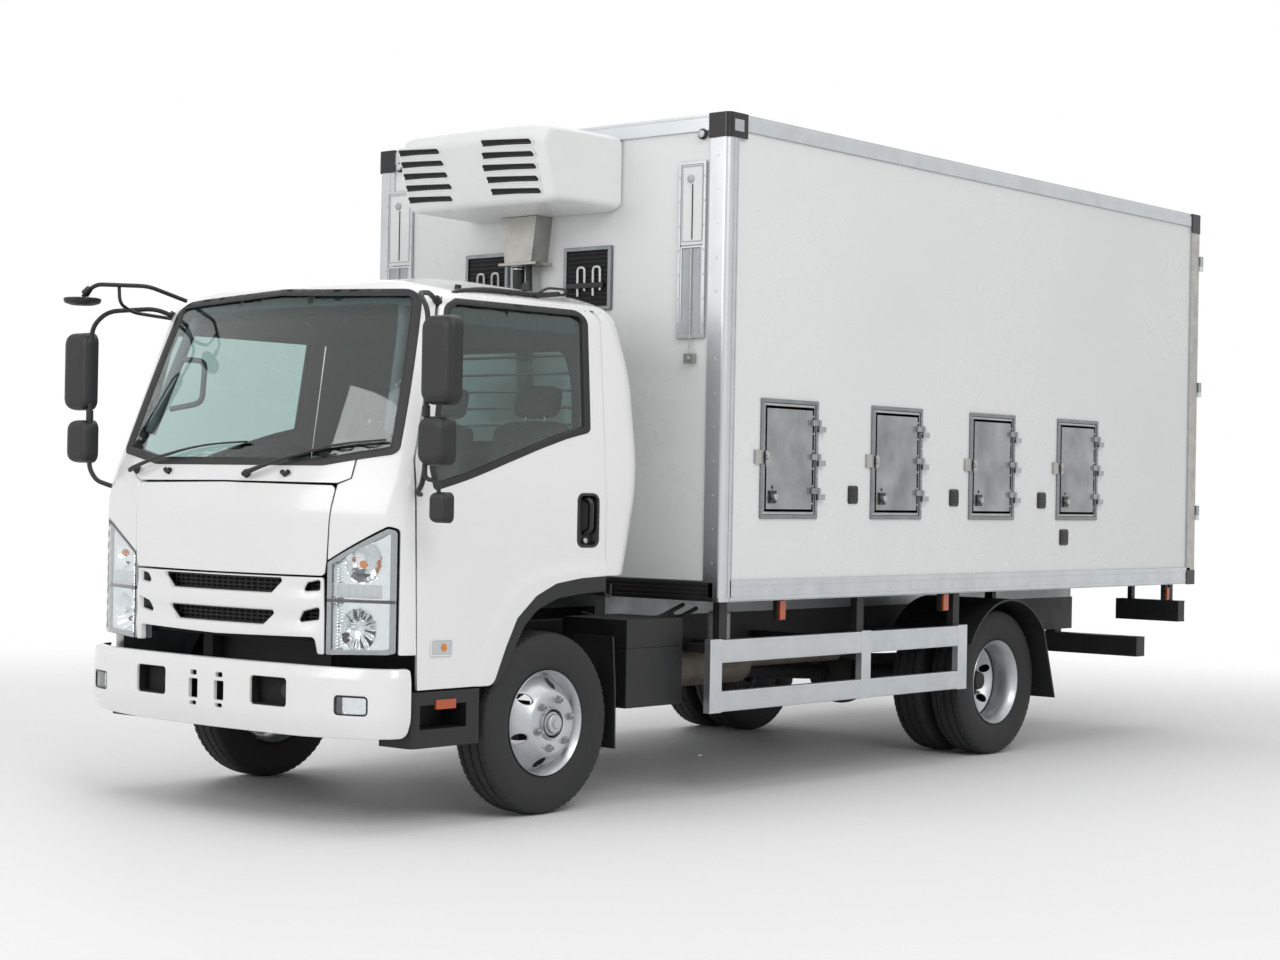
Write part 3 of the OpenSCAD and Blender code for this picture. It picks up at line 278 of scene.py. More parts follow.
class Shape:
    """Faces gathered for one piece. Each face has the name of its material."""

    def __init__(self):
        self.verts, self.faces, self.finish = [], [], []

    def add(self, verts, faces, finish):
        base = len(self.verts)
        self.verts += [tuple(float(c) for c in v) for v in verts]
        self.faces += [tuple(base + i for i in f) for f in faces]
        self.finish += [finish] * len(faces)

    def loft(self, loops, finish, ring=True, start=True, end=True, close=False):
        """Faces between loops of equally many points."""
        n = len(loops[0])
        rows = [(i, i + 1) for i in range(len(loops) - 1)] + ([(len(loops) - 1, 0)] if close else [])
        faces = [(a * n + k, a * n + (k + 1) % n, b * n + (k + 1) % n, b * n + k) for a, b in rows
            for k in range(n if ring else n - 1)]
        if start and not close:
            faces.append(tuple(range(n - 1, -1, -1)))
        if end and not close:
            faces.append(tuple((len(loops) - 1) * n + k for k in range(n)))
        self.add([p for loop in loops for p in loop], faces, finish)

    def box(self, low, high, finish):
        (x0, y0, z0), (x1, y1, z1) = low, high
        self.loft([[(x0, y0, z), (x1, y0, z), (x1, y1, z), (x0, y1, z)] for z in (z0, z1)], finish)

    def prism(self, outline, axis, a, b, finish, hole=None):
        """An outline drawn along x, y or z. A hole has as many points as the outline."""

        def lay(points, c):
            return [{"x": (c, p[0], p[1]), "y": (p[0], c, p[1]), "z": (p[0], p[1], c)}[axis] for p in points]

        if hole is None:
            self.loft([lay(outline, a), lay(outline, b)], finish)
        else:
            self.loft([lay(outline, a), lay(outline, b), lay(hole, b), lay(hole, a)], finish, close=True)

    def turned(self, rows, centre, finish, axis="x", steps=48, close=False):
        """Rows of (distance along the axis, radius), turned about it."""
        loops = []
        for d, r in rows:
            ring = [(math.cos(2 * math.pi * k / steps) * r, math.sin(2 * math.pi * k / steps) * r)
                for k in range(steps)]
            lay = {"x": lambda p: (d, p[0], p[1]), "y": lambda p: (p[0], d, p[1]),
                "z": lambda p: (p[0], p[1], d)}[axis]
            loops.append([np.array(centre) + lay(p) for p in ring])
        self.loft(loops, finish, close=close)

    def tube(self, path, r, finish, sides=10, up=(0, 0, 1)):
        """Round bar along a path; r is one radius, or one for each point."""
        p = np.array(path, float)
        radii = np.full(len(p), r) if np.isscalar(r) else np.array(r)
        tangent = np.gradient(p, axis=0)
        tangent /= np.linalg.norm(tangent, axis=1, keepdims=True)
        normal = np.cross(tangent[0], (0.31, 0.52, 0.8))
        loops = []
        for q, t, size in zip(p, tangent, radii):
            normal = normal - t * (normal @ t)
            normal /= np.linalg.norm(normal)
            other = np.cross(t, normal)
            loops.append([q + size * (math.cos(a) * normal + math.sin(a) * other)
                for a in (2 * math.pi * k / sides for k in range(sides))])
        self.loft(loops, finish)

    def bent(self, points, r, finish, bend=0.05, sides=10):
        """Round bar with bends of a given radius at the inner points."""
        p = [np.array(q, float) for q in points]
        path = [p[0]]
        for a, b, c in zip(p, p[1:], p[2:]):
            u, v = a - b, c - b
            d = min(bend, np.linalg.norm(u) * 0.45, np.linalg.norm(v) * 0.45)
            s, e = b + u / np.linalg.norm(u) * d, b + v / np.linalg.norm(v) * d
            path += [(1 - t) ** 2 * s + 2 * t * (1 - t) * b + t * t * e for t in np.linspace(0, 1, 6)]
        self.tube(path + [p[-1]], r, finish, sides)

    def sweep(self, profile, path, up, finish, closed=False):
        """A closed profile of (side, height) drawn along a path; height is toward up."""
        if closed:
            path = list(path) + [path[0], path[1]]
            up = up if np.ndim(up) == 1 else np.concatenate((up, up[:2]))
        p, _, side, normal = path_frames(path, up)
        loops = [[q + s * u + n * v for u, v in profile] for q, s, n in zip(p, side, normal)]
        if closed:
            loops = [loops[-2]] + loops[1:-2]
        self.loft(loops, finish, close=closed)

    def stud(self, at, way, r, height, finish, sides=8, flat=False):
        """A rivet's dome, or with flat a bolt head, standing on a face."""
        way = np.array(way, float) / np.linalg.norm(way)
        a = np.cross(way, (0.3, 0.5, 0.81))
        a /= np.linalg.norm(a)
        b = np.cross(way, a)
        rows = [(0, 1), (0.85, 1), (1, 0.86)] if flat else [(0, 1), (0.55, 0.86), (0.9, 0.45)]
        at = np.array(at, float)
        self.loft([[at + way * height * h + r * q * (math.cos(t) * a + math.sin(t) * b)
            for t in (2 * math.pi * k / sides for k in range(sides))] for h, q in rows], finish, start=False)

    def both(self):
        """The same faces again, mirrored to the other side."""
        base = len(self.verts)
        self.verts += [(-x, y, z) for x, y, z in self.verts]
        self.faces += [tuple(base + i for i in reversed(f)) for f in self.faces]
        self.finish += self.finish
        return self

    def make(self, name, body, mirror=False, bevel=0.0, segments=2, angle=38, replaces=(), slot=None, weld=True):
        """The piece itself, riding on a body."""
        verts = np.array(self.verts, float)
        faces = self.faces
        if mirror:
            verts[:, 0] *= -1
            faces = [tuple(reversed(f)) for f in faces]
        verts[:, 1] += FRONT_Y
        mesh = bpy.data.meshes.new(name)
        mesh.from_pydata(verts.tolist(), [], faces)
        names = list(dict.fromkeys(self.finish))
        for n in names:
            mesh.materials.append(finish(n))
        mesh.polygons.foreach_set("material_index", [names.index(n) for n in self.finish])
        if weld:
            bm = bmesh.new()
            bm.from_mesh(mesh)
            bmesh.ops.remove_doubles(bm, verts=bm.verts, dist=2e-5)
            bmesh.ops.recalc_face_normals(bm, faces=bm.faces)
            bm.to_mesh(mesh)
            bm.free()
        mesh.shade_smooth()
        mesh.set_sharp_from_angle(angle=math.radians(angle))
        piece = bpy.data.objects.new(name, mesh)
        bpy.context.scene.collection.objects.link(piece)
        if bevel:
            edge = piece.modifiers.new("edge", "BEVEL")
            edge.width, edge.segments, edge.limit_method, edge.angle_limit = bevel, segments, "ANGLE", math.radians(angle)
            edge.harden_normals, edge.use_clamp_overlap = False, True
        weighted = piece.modifiers.new("normals", "WEIGHTED_NORMAL")
        weighted.keep_sharp = True
        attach(piece, body)
        if replaces:
            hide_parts(*replaces)
        return piece


def panel(shape, chart, outline, finish, holes=(), step=0.03, level=0.0, thick=0.03, edge=0.003, back=None,
    seam=None):
    """A sheet on a chart with rounded edges: its outside, its rims and its back. Where seam is true, it goes on into its neighbour."""
    loops = [np.array(outline, float)] + [np.array(h, float) for h in holes]
    fixed = [np.array([bool(seam and seam(p)) for p in loop]) for loop in loops]
    first = []
    for i, (loop, stay) in enumerate(zip(loops, fixed)):
        way = 1 if i == 0 else -1
        rings = [inset(loop, way * edge, stay), inset(loop, way * edge * 0.3, stay), loop, loop]
        first.append(rings[0])
        depths = [level, level + edge * 0.3, level + edge, level + thick]
        points = [chart(ring, d) for ring, d in zip(rings, depths)]
        top = chart(loop, level)
        for k in (1, 2):
            points[k][stay] = top[stay]
        n = len(loop)
        keep = [k for k in range(n) if not (stay[k] and stay[(k + 1) % n])]
        for a in range(3):
            faces = [(k, (k + 1) % n, n + (k + 1) % n, n + k) for k in keep]
            shape.add(list(points[a]) + list(points[a + 1]), faces, finish)
    for ring_set, depth, surface in ((first, level, finish), (loops, level + thick, back or finish)):
        flat, faces = triangles(ring_set, step)
        points = chart(flat, depth)
        shape.add(points, faces if surface is not (back or finish) or depth == level else [f[::-1] for f in faces],
            surface)


def triangles(loops, step):
    """Even triangles that fill an outline less its holes."""
    low, high = loops[0].min(0), loops[0].max(0)
    xs = np.arange(low[0] + step / 2, high[0], step)
    ys = np.arange(low[1] + step / 2, high[1], step * 0.866)
    grid = np.array([(x + (step / 2 if j % 2 else 0), y) for j, y in enumerate(ys) for x in xs]).reshape(-1, 2)
    edge = np.concatenate(loops)
    if len(grid):
        keep = inside(grid, loops[0])
        for hole in loops[1:]:
            keep &= ~inside(grid, hole)
        grid = grid[keep]
        far = np.array([np.min(np.sum((edge - p) ** 2, 1)) for p in grid]) > (step * 0.45) ** 2 if len(grid) else []
        grid = grid[far] if len(grid) else grid
    points = np.concatenate((edge, grid)) if len(grid) else edge
    edges, base = [], 0
    for loop in loops:
        n = len(loop)
        edges += [(base + k, base + (k + 1) % n) for k in range(n)]
        base += n
    made, _, faces, *_ = delaunay_2d_cdt([Vector(p) for p in points], edges, [], 0, 1e-7, False)
    made = np.array([tuple(v) for v in made])
    middle = np.array([made[list(f)].mean(0) for f in faces])
    keep = inside(middle, loops[0])
    for hole in loops[1:]:
        keep &= ~inside(middle, hole)
    return made, [tuple(f) for f, k in zip(faces, keep) if k]


# ---- Materials -------------------------------------------------------------


def srgb(code):
    """A hex colour as the linear value that a shader takes."""
    channels = [int(code[i : i + 2], 16) / 255 for i in (0, 2, 4)]
    return tuple(c / 12.92 if c <= 0.04045 else ((c + 0.055) / 1.055) ** 2.4 for c in channels) + (1.0,)


def node(tree, kind, inputs=None, **settings):
    """A node with its settings, its plain values and its links."""
    made = tree.nodes.new(kind)
    for key, value in settings.items():
        setattr(made, key, value)
    for key, value in (inputs or {}).items():
        if isinstance(value, bpy.types.NodeSocket):
            tree.links.new(value, made.inputs[key])
        else:
            made.inputs[key].default_value = value
    return made


# Opaque finishes. base and worn are colours mixed in patches of patch mm, share is how much of worn shows, rough is a
# range, grain and depth are the surface's own texture in mm, and along stretches the grain down one axis.
FINISHES = {
    # Acrylic urethane topcoat on steel, sprayed: deep gloss with a faint orange peel
    "cab_topcoat": dict(base="F1F2F1", worn="E4E5E2", share=0.25, patch=700, rough=(0.16, 0.26), grain=4, depth=0.012,
    coat=0.5),
    # Gelcoat over glass fibre, rolled: flat white sheet with a long slow wave
    "panel_gelcoat": dict(base="EEEFEF", worn="E1E3E3", share=0.3, patch=900, rough=(0.24, 0.38), grain=60,
    depth=0.012, coat=0.2, fittings=True),
    # Polyester powder coat on a hatch leaf: even, slightly pebbled
    "hatch_powder_coat": dict(base="ECEDED", worn="DCDEDE", share=0.3, patch=200, rough=(0.35, 0.5), grain=2,
    depth=0.02, fittings=True),
    # Anodised aluminium, extruded: fine die lines down its length and a satin sheen
    "aluminium_upright": dict(base="C9CCCE", worn="B2B6B9", share=0.4, patch=120, rough=(0.28, 0.42), grain=3,
    depth=0.02, metal=1, along="z"),
    "aluminium_lengthwise": dict(base="C9CCCE", worn="B2B6B9", share=0.4, patch=120, rough=(0.28, 0.42), grain=3,
    depth=0.02, metal=1, along="y"),
    "aluminium_crosswise": dict(base="C9CCCE", worn="B2B6B9", share=0.4, patch=120, rough=(0.28, 0.42), grain=3,
    depth=0.02, metal=1, along="x"),
    # Grey anodised aluminium, used for the hatch frames: darker and duller
    "grey_anodised_frame": dict(base="8E9294", worn="74787A", share=0.5, patch=60, rough=(0.34, 0.48), grain=2,
    depth=0.02, metal=1, along="z"),
    # Light grey PVC profile inside the frames: matt and clean
    "grey_pvc": dict(base="B9BDBF", worn="A6AAAC", share=0.4, patch=80, rough=(0.4, 0.55), grain=1.5, depth=0.01),
    # Silver wheel enamel on pressed steel: fine metal flake, duller where brake dust settles
    "wheel_enamel": dict(base="C4C7CA", worn="9EA2A5", share=0.45, patch=90, rough=(0.26, 0.44), grain=2, depth=0.012,
    metal=0.75, coat=0.2),
    # Zinc-plated steel fasteners: bright with a cloudy bloom
    "zinc_plate": dict(base="B9BBBB", worn="8D8F8E", share=0.5, patch=14, rough=(0.25, 0.5), grain=1, depth=0.01,
    metal=1),
    # Polished stainless steel sheet, brushed
    "brushed_stainless": dict(base="B4B3AE", worn="8F8E8A", share=0.5, patch=70, rough=(0.22, 0.4), grain=2,
    depth=0.015, metal=1, along="z"),
    # Vacuum-metallised reflector
    "reflector_chrome": dict(base="E4E7E9", worn="C9CDD0", share=0.3, patch=30, rough=(0.05, 0.14), grain=6,
    depth=0.01, metal=1),
    # Natural rubber tyre compound, moulded: near black, dry, with a dusty bloom
    "tyre_rubber": dict(base="232425", worn="343434", share=0.5, patch=60, rough=(0.62, 0.85), grain=1.2, depth=0.05),
    # EPDM rubber seal, extruded
    "seal_rubber": dict(base="121314", worn="1E1F20", share=0.4, patch=90, rough=(0.4, 0.6), grain=1, depth=0.02),
    # Grey-painted ABS lamp housing: smooth satin
    "reflector_grey": dict(base="9FA3A6", worn="8B8F92", share=0.4, patch=40, rough=(0.3, 0.42), grain=2, depth=0.01),
    # Polypropylene mouldings with a leather-like grain
    "moulded_black": dict(base="17181A", worn="242527", share=0.4, patch=50, rough=(0.42, 0.6), grain=1.6,
    depth=0.05),
    # Glossy ABS, moulded: mirror backs and the handle's grip
    "gloss_black": dict(base="101112", worn="191A1B", share=0.3, patch=60, rough=(0.2, 0.34), grain=2, depth=0.01),
    # Chassis enamel over steel: satin black with road dust on it
    "chassis_enamel": dict(base="17181A", worn="2E2D2B", share=0.45, patch=110, rough=(0.38, 0.62), grain=3,
    depth=0.05),
    # Cast iron, as cast and painted: coarse skin
    "cast_iron": dict(base="202122", worn="3A3430", share=0.45, patch=40, rough=(0.5, 0.75), grain=3, depth=0.2),
    # Aluminised steel, heat-stained
    "exhaust_steel": dict(base="77716A", worn="57483C", share=0.5, patch=120, rough=(0.42, 0.65), grain=2, depth=0.04,
    metal=0.9),
    # Warm white ABS shell, vacuum formed
    "unit_abs": dict(base="EDEEEE", worn="E0E2E2", share=0.3, patch=260, rough=(0.24, 0.38), grain=6, depth=0.02),
    # Clear-lacquered aluminium deck plate with raised bars
    "deck_plate": dict(base="A6A9AB", worn="8C8F91", share=0.5, patch=150, rough=(0.35, 0.55), grain=25, depth=0.6,
    metal=1),
    # Grey ABS dashboard with a soft grain
    "dash_abs": dict(base="4B4E50", worn="3B3E40", share=0.4, patch=120, rough=(0.5, 0.66), grain=1.4, depth=0.06),
    # Needle-felt headlining and pillar trim
    "cab_lining": dict(base="6B7073", worn="5C6164", share=0.4, patch=60, rough=(0.75, 0.95), grain=1.2, depth=0.15),
    # Woven polyester seat cloth
    "seat_cloth": dict(base="2B2F33", worn="1E2124", share=0.5, patch=12, rough=(0.75, 0.95), grain=1.5, depth=0.3,
    coat=1.0, film=45),
    # Woven black nylon webbing and hose
    "black_hose": dict(base="141516", worn="222324", share=0.4, patch=15, rough=(0.45, 0.6), grain=2, depth=0.1),
    # Pale polyethylene bottle
    "pale_bottle": dict(base="B9BAB6", worn="9D9E99", share=0.4, patch=70, rough=(0.35, 0.5), grain=2, depth=0.02),
    # Painted shade: near black, put where the space behind louvres, grilles and openings lies in shade
    "shadow_black": dict(base="08090A", worn="101112", share=0.4, patch=30, rough=(0.7, 0.9), grain=3, depth=0.1),
    # Silvered mirror glass
    "mirror_silver": dict(base="DDE2E4", worn="D2D8DA", share=0.2, patch=80, rough=(0.02, 0.05), grain=9, depth=0.002,
    metal=1),
    # White nylon strap
    "white_strap": dict(base="E6E7E7", worn="CFD1D1", share=0.4, patch=12, rough=(0.5, 0.65), grain=1.2, depth=0.08),
}
# Clear finishes: colour, roughness and IOR, and where a shade band starts and how high it ends
CLEAR = {
    # Laminated windscreen glass, float-made, with a green shade band along its top
    "windscreen_glass": dict(tint="E3EFEC", rough=0.0, ior=1.52, band=(2.13, 2.24, "1E7C74")),
    # Tempered side glass, faintly green
    "side_glass": dict(tint="B4C9C4", rough=0.0, ior=1.52),
    # Hard-coated polycarbonate lamp lens
    "lamp_lens": dict(tint="FAFCFC", rough=0.0, ior=1.58),
}
# Coloured acrylic lenses, moulded with prisms on their backs
LENSES = {
    "amber_lens": dict(tint="C9500A", grain=7, depth=0.5),
    "amber_bulb": dict(tint="F08A12", grain=9, depth=0.1),
    "red_lens": dict(tint="9C0D0A", grain=8, depth=0.5),
    "white_lens": dict(tint="DADDDF", grain=8, depth=0.5),
}
MATERIALS = {}


def patches(tree, place, size, detail=3.0):
    """Soft patches from 0 to 1, about size metres across."""
    noise = node(tree, "ShaderNodeTexNoise",
        {"Vector": place, "Scale": 1 / size, "Detail": detail, "Roughness": 0.55})
    return node(tree, "ShaderNodeMapRange",
        {"Value": noise.outputs["Fac"], "From Min": 0.3, "From Max": 0.7}).outputs["Result"]


def opaque(name, base, worn, share, patch, rough, grain, depth, metal=0.0, coat=0.0, along=None, film=0,
    fittings=False):
    made = bpy.data.materials.new(name)
    made.use_nodes = True
    tree = made.node_tree
    shader = tree.nodes["Principled BSDF"]
    place = node(tree, "ShaderNodeTexCoord").outputs["Object"]
    broad = patches(tree, place, patch / 1000)
    amount = node(tree, "ShaderNodeMath", {0: broad, 1: share}, operation="MULTIPLY").outputs[0]
    colour = node(tree, "ShaderNodeMix", {0: amount, 6: base, 7: srgb(worn)}, data_type="RGBA").outputs[2]
    stretch = {"x": (0.02, 1, 1), "y": (1, 0.02, 1), "z": (1, 1, 0.02), None: (1, 1, 1)}[along]
    fine_place = node(tree, "ShaderNodeMapping", {"Vector": place, "Scale": stretch}).outputs[0]
    fine = patches(tree, fine_place, grain / 1000, 2.0)
    mixed = node(tree, "ShaderNodeMix", {0: 0.45, 2: broad, 3: fine}).outputs[0]
    gloss = node(tree, "ShaderNodeMapRange", {"Value": mixed, "To Min": rough[0], "To Max": rough[1]}).outputs[0]
    bump = node(tree, "ShaderNodeBump", {"Height": fine, "Strength": 1.0, "Distance": depth / 1000}).outputs[0]
    for key, value in (("Base Color", colour), ("Roughness", gloss), ("Normal", bump)):
        tree.links.new(value, shader.inputs[key])
    shader.inputs["Metallic"].default_value = metal
    if fittings:
        # Hinge knuckles, rods and straps that stand out from the box's skin are bare plated steel
        axes = node(tree, "ShaderNodeSeparateXYZ", {0: place}).outputs
        wide = node(tree, "ShaderNodeMath", {0: axes[0]}, operation="ABSOLUTE").outputs[0]
        wide = node(tree, "ShaderNodeMath", {0: wide, 1: SKIN_X + 0.002}, operation="GREATER_THAN").outputs[0]
        behind = node(tree, "ShaderNodeMath", {0: axes[1], 1: SKIN_BACK + FRONT_Y + 0.0015},
            operation="GREATER_THAN").outputs[0]
        bare = node(tree, "ShaderNodeMath", {0: wide, 1: behind}, operation="MAXIMUM").outputs[0]
        zinc = node(tree, "ShaderNodeMix", {0: broad, 6: srgb("A9ABAC"), 7: srgb("8A8D8E")},
            data_type="RGBA").outputs[2]
        colour = node(tree, "ShaderNodeMix", {0: bare, 6: colour, 7: zinc}, data_type="RGBA").outputs[2]
        tree.links.new(colour, shader.inputs["Base Color"])
        tree.links.new(bare, shader.inputs["Metallic"])
    shader.inputs["Coat Weight"].default_value = coat
    shader.inputs["Coat Roughness"].default_value = 0.06
    if film:
        # The clear bag that a new seat comes in: a thin glossy layer with folds of its own
        folds = node(tree, "ShaderNodeTexNoise",
            {"Vector": place, "Scale": 1000 / film, "Detail": 3.0, "Distortion": 2.2})
        skin = node(tree, "ShaderNodeBump",
            {"Height": folds.outputs["Fac"], "Strength": 1.0, "Distance": film / 2500}).outputs[0]
        tree.links.new(skin, shader.inputs["Coat Normal"])
        shader.inputs["Coat Roughness"].default_value = 0.12
    made.diffuse_color = base
    return made


def clear(name, tint, rough, ior, band=None):
    """Clear glass to the eye that lets the lamps' light through to what is behind it."""
    made = bpy.data.materials.new(name)
    made.use_nodes = True
    tree = made.node_tree
    shader = tree.nodes["Principled BSDF"]
    place = node(tree, "ShaderNodeTexCoord").outputs["Object"]
    smear = patches(tree, place, 0.22)
    gloss = node(tree, "ShaderNodeMapRange", {"Value": smear, "To Min": rough, "To Max": rough + 0.015}).outputs[0]
    tree.links.new(gloss, shader.inputs["Roughness"])
    shader.inputs["Base Color"].default_value = srgb(tint)
    shader.inputs["IOR"].default_value = ior
    shader.inputs["Transmission Weight"].default_value = 1.0
    open_way = node(tree, "ShaderNodeBsdfTransparent", {"Color": srgb(tint)})
    if band:
        height = node(tree, "ShaderNodeSeparateXYZ", {0: place}).outputs[2]
        share = node(tree, "ShaderNodeMapRange",
            {"Value": height, "From Min": band[0], "From Max": band[1]}).outputs[0]
        colour = node(tree, "ShaderNodeMix", {0: share, 6: srgb(tint), 7: srgb(band[2])}, data_type="RGBA").outputs[2]
        tree.links.new(colour, shader.inputs["Base Color"])
    rays = node(tree, "ShaderNodeLightPath").outputs
    lamp = node(tree, "ShaderNodeMath", {0: rays["Is Shadow Ray"], 1: rays["Is Diffuse Ray"]},
        operation="MAXIMUM").outputs[0]
    whole = node(tree, "ShaderNodeMixShader", {0: lamp, 1: shader.outputs[0], 2: open_way.outputs[0]}).outputs[0]
    tree.links.new(whole, tree.nodes["Material Output"].inputs["Surface"])
    made.diffuse_color = (*srgb(tint)[:3], 0.3)
    return made


def lens(name, tint, grain, depth):
    """Moulded acrylic with rows of small prisms."""
    made = bpy.data.materials.new(name)
    made.use_nodes = True
    tree = made.node_tree
    shader = tree.nodes["Principled BSDF"]
    place = node(tree, "ShaderNodeTexCoord").outputs["Object"]
    cells = node(tree, "ShaderNodeTexVoronoi", {"Vector": place, "Scale": 1000 / grain, "Randomness": 0.0},
        distance="CHEBYCHEV").outputs["Distance"]
    # The prisms are moulded; the colour darkening toward each prism's edge is painted shade of its facets
    prism_shade = tuple(c * 0.55 for c in srgb(tint)[:3]) + (1.0,)
    colour = node(tree, "ShaderNodeMix", {0: cells, 6: srgb(tint), 7: prism_shade}, data_type="RGBA").outputs[2]
    bump = node(tree, "ShaderNodeBump", {"Height": cells, "Strength": 1.0, "Distance": depth / 1000}).outputs[0]
    tree.links.new(colour, shader.inputs["Base Color"])
    tree.links.new(bump, shader.inputs["Normal"])
    shader.inputs["Roughness"].default_value = 0.12
    shader.inputs["IOR"].default_value = 1.49
    shader.inputs["Coat Weight"].default_value = 0.6
    made.diffuse_color = srgb(tint)
    return made


def finish(name):
    """The material of that name, made once, in the user's colour where there is one."""
    if name not in MATERIALS:
        if name in FINISHES:
            settings = dict(FINISHES[name])
            base = srgb(settings.pop("base"))
            chosen = getattr(bpy.context.scene.truck_colours, name, None)
            MATERIALS[name] = opaque(name, base if chosen is None else (*chosen, 1.0), **settings)
        elif name in CLEAR:
            MATERIALS[name] = clear(name, **CLEAR[name])
        else:
            MATERIALS[name] = lens(name, **LENSES[name])
    return MATERIALS[name]


def dress(node_name, finish_name):
    """A CAD node keeps its shape and takes a finish."""
    piece = frame["nodes"][node_name]
    for k in range(max(1, len(piece.material_slots))):
        if k < len(piece.material_slots):
            piece.material_slots[k].material = finish(finish_name)
        else:
            piece.data.materials.append(finish(finish_name))


# ---- Cab outlines ----------------------------------------------------------

# Rows of (chart, a, b, corner radius): F is the front at (x, z), B the back at (x, z), S the side at (y, z)
SCREEN = [("F", 0.55, 1.501, 0.3), ("F", 0.905, 1.553, 0.045), ("F", 0.772, 2.25, 0.05), ("F", 0, 2.276, 0)]
REAR_LIGHT = [("B", 0.6, 1.62, 0.06), ("B", 0.56, 2.09, 0.06)]
ARCH = [(-0.371, 0.583), (-0.295, 0.746), (-0.231, 0.862), (-0.114, 0.955), (0.012, 1.006), (0.175, 1.027),
    (0.345, 1.034)]
DOOR_TOP, DOOR_GAP, LOW_BACK = 2.232, 0.006, 1.034
DOOR = [("S", -0.809, 0.583, 0), *(("S", y, z, 0.05) for y, z in ARCH[:-1]), ("S", 0.347, 1.034, 0.01),
    ("S", 0.345, 1.5, 0.3),
        ("S", 0.362, DOOR_TOP, 0.06), ("S", -0.585, DOOR_TOP, 0.07), ("S", -0.815, 1.53, 0.1)]
SILL = [(0.256, 1.675), (0.1, 1.642), (-0.08, 1.592), (-0.3, 1.524), (-0.52, 1.456), (-0.728, 1.404)]
WINDOW = [("S", *SILL[0], 0.03), *(("S", y, z, 0.1) for y, z in SILL[1:-1]), ("S", *SILL[-1], 0.015),
          ("S", -0.752, 1.5, 0.06), ("S", -0.592, 2.178, 0.05), ("S", -0.53, 2.212, 0.04), ("S", 0.285, 2.216, 0.06)]
LAMP = [("F", 0.634, 0.715, 0.008), ("F", 0.93, 0.727, 0.01), ("S", -0.893, 0.735, 0.01), ("S", -0.893, 1.236, 0.02),
        ("F", 0.925, 1.246, 0.02), ("F", 0.634, 1.1, 0.01)]
SLOTS = [[(-0.412, 1.028), (-0.33, 0.96), (0.33, 0.96), (0.412, 1.028)],
    [(-0.372, 0.89), (-0.285, 0.825), (0.285, 0.825), (0.372, 0.89)],
         [(0.502, 0.97), (0.6, 0.978), (0.602, 1.027), (0.53, 1.012)],
         [(0.479, 0.84), (0.597, 0.856), (0.6, 0.914), (0.512, 0.892)]]


def around(half):
    """Rows for one half, from the middle of the bottom to the middle of the top, made whole by mirroring."""
    other = [(kind, -a, b, r) for kind, a, b, r in reversed(half) if abs(a) > 1e-9]
    return list(half) + other


def loop(rows, spacing=0.022, by=0.0):
    """An outline in the cab's belt chart, moved inward by a distance."""
    points = dense(rounded(CAB.rows(rows), 7), spacing)
    return inset(points, by) if by else np.array(points)


def roof_edge():
    """Where the cab's sides turn into its roof: belt points from the front's middle to the back's middle."""
    angles = np.linspace(-math.pi / 2, math.pi / 2, 96)
    low, high = np.full(96, 2.0), np.full(96, 2.36)
    for _ in range(24):
        z = (low + high) / 2
        steep = CAB.normal(CAB.belt(np.stack((angles, z), 1), 0))[:, 2]
        low, high = np.where(steep < 0.62, z, low), np.where(steep < 0.62, high, z)
    return list(zip(angles, low))


# ---- Cab -------------------------------------------------------------------


def cab_shell():
    """The cab's painted shell: pillars, corners, back and roof."""
    roof = roof_edge()
    front = [("F", 0.718, 1.446, 0), ("F", 0.655, 1.421, 0.01), ("F", 0.643, 1.3, 0.5), ("F", 0.636, 1.106, 0.004),
        ("F", 0.925, 1.254, 0.02),
             ("S", -0.886, 1.242, 0.02), ("S", -0.886, 0.728, 0.005), ("S", -0.815, 0.728, 0.004),
             ("S", -0.821, 1.53, 0.1),
             ("S", -0.59, DOOR_TOP + DOOR_GAP, 0.07), ("S", 0.368, DOOR_TOP + DOOR_GAP, 0.06), ("S", 0.351, 1.5, 0.3),
             ("S", 0.353, LOW_BACK, 0.004), ("B", 0, LOW_BACK, 0), ("B", 0, 1.62, 0), *REAR_LIGHT, ("B", 0, 2.09, 0)]
    rows = CAB.rows(front) + [(a, z, 0) for a,
        z in reversed(roof)] + CAB.rows([("F", 0, 2.276, 0), *reversed(SCREEN[:3])][:3] + [("F", 0.716, 1.532, 0)])
    half = np.array(dense(rounded(rows, 7), 0.02))
    edge = np.array(roof)

    def seam(p):
        return abs(abs(p[0]) - math.pi / 2) < 1e-4 or abs(np.interp(p[0], edge[:, 0], edge[:, 1]) - p[1]) < 1e-4

    s = Shape()
    panel(s, CAB.belt, half, "cab_topcoat", step=0.024, thick=0.028, edge=0.004, back="cab_lining", seam=seam)
    s.both()
    rim = CAB.belt(edge, 0)
    across = [tuple(p[:2]) for p in rim] + [(-p[0], p[1]) for p in rim[::-1]][1:-1]
    panel(s, CAB.top, dense(across, 0.02), "cab_topcoat", step=0.03, thick=0.028, back="cab_lining",
        seam=lambda p: True)
    s.make("cab_shell_panels", "cab", replaces=["cab_shell"], slot="white_cab_paint", angle=50)
    floor = Shape()
    plan = [tuple(p[:2]) for p in CAB.belt([(a, 1.0) for a in np.linspace(-math.pi, math.pi, 97)[:-1]], 0.045)]
    floor.prism(plan, "z", 1.04, 1.055, "moulded_black")
    floor.make("cab_floor_mat", "cab", bevel=0.004)
    # A near-black sheet inside the cab's front, behind the grille, is painted shade
    wall = Shape()
    panel(wall, CAB.belt, loop(around([("F", 0, 0.76, 0), ("F", 0.62, 0.76, 0.02), ("F", 0.62, 1.49, 0.02),
        ("F", 0, 1.49, 0)])), "shadow_black",
          step=0.06, level=0.075, thick=0.01)
    wall.make("cab_bulkhead", "cab", slot="black_plastic")


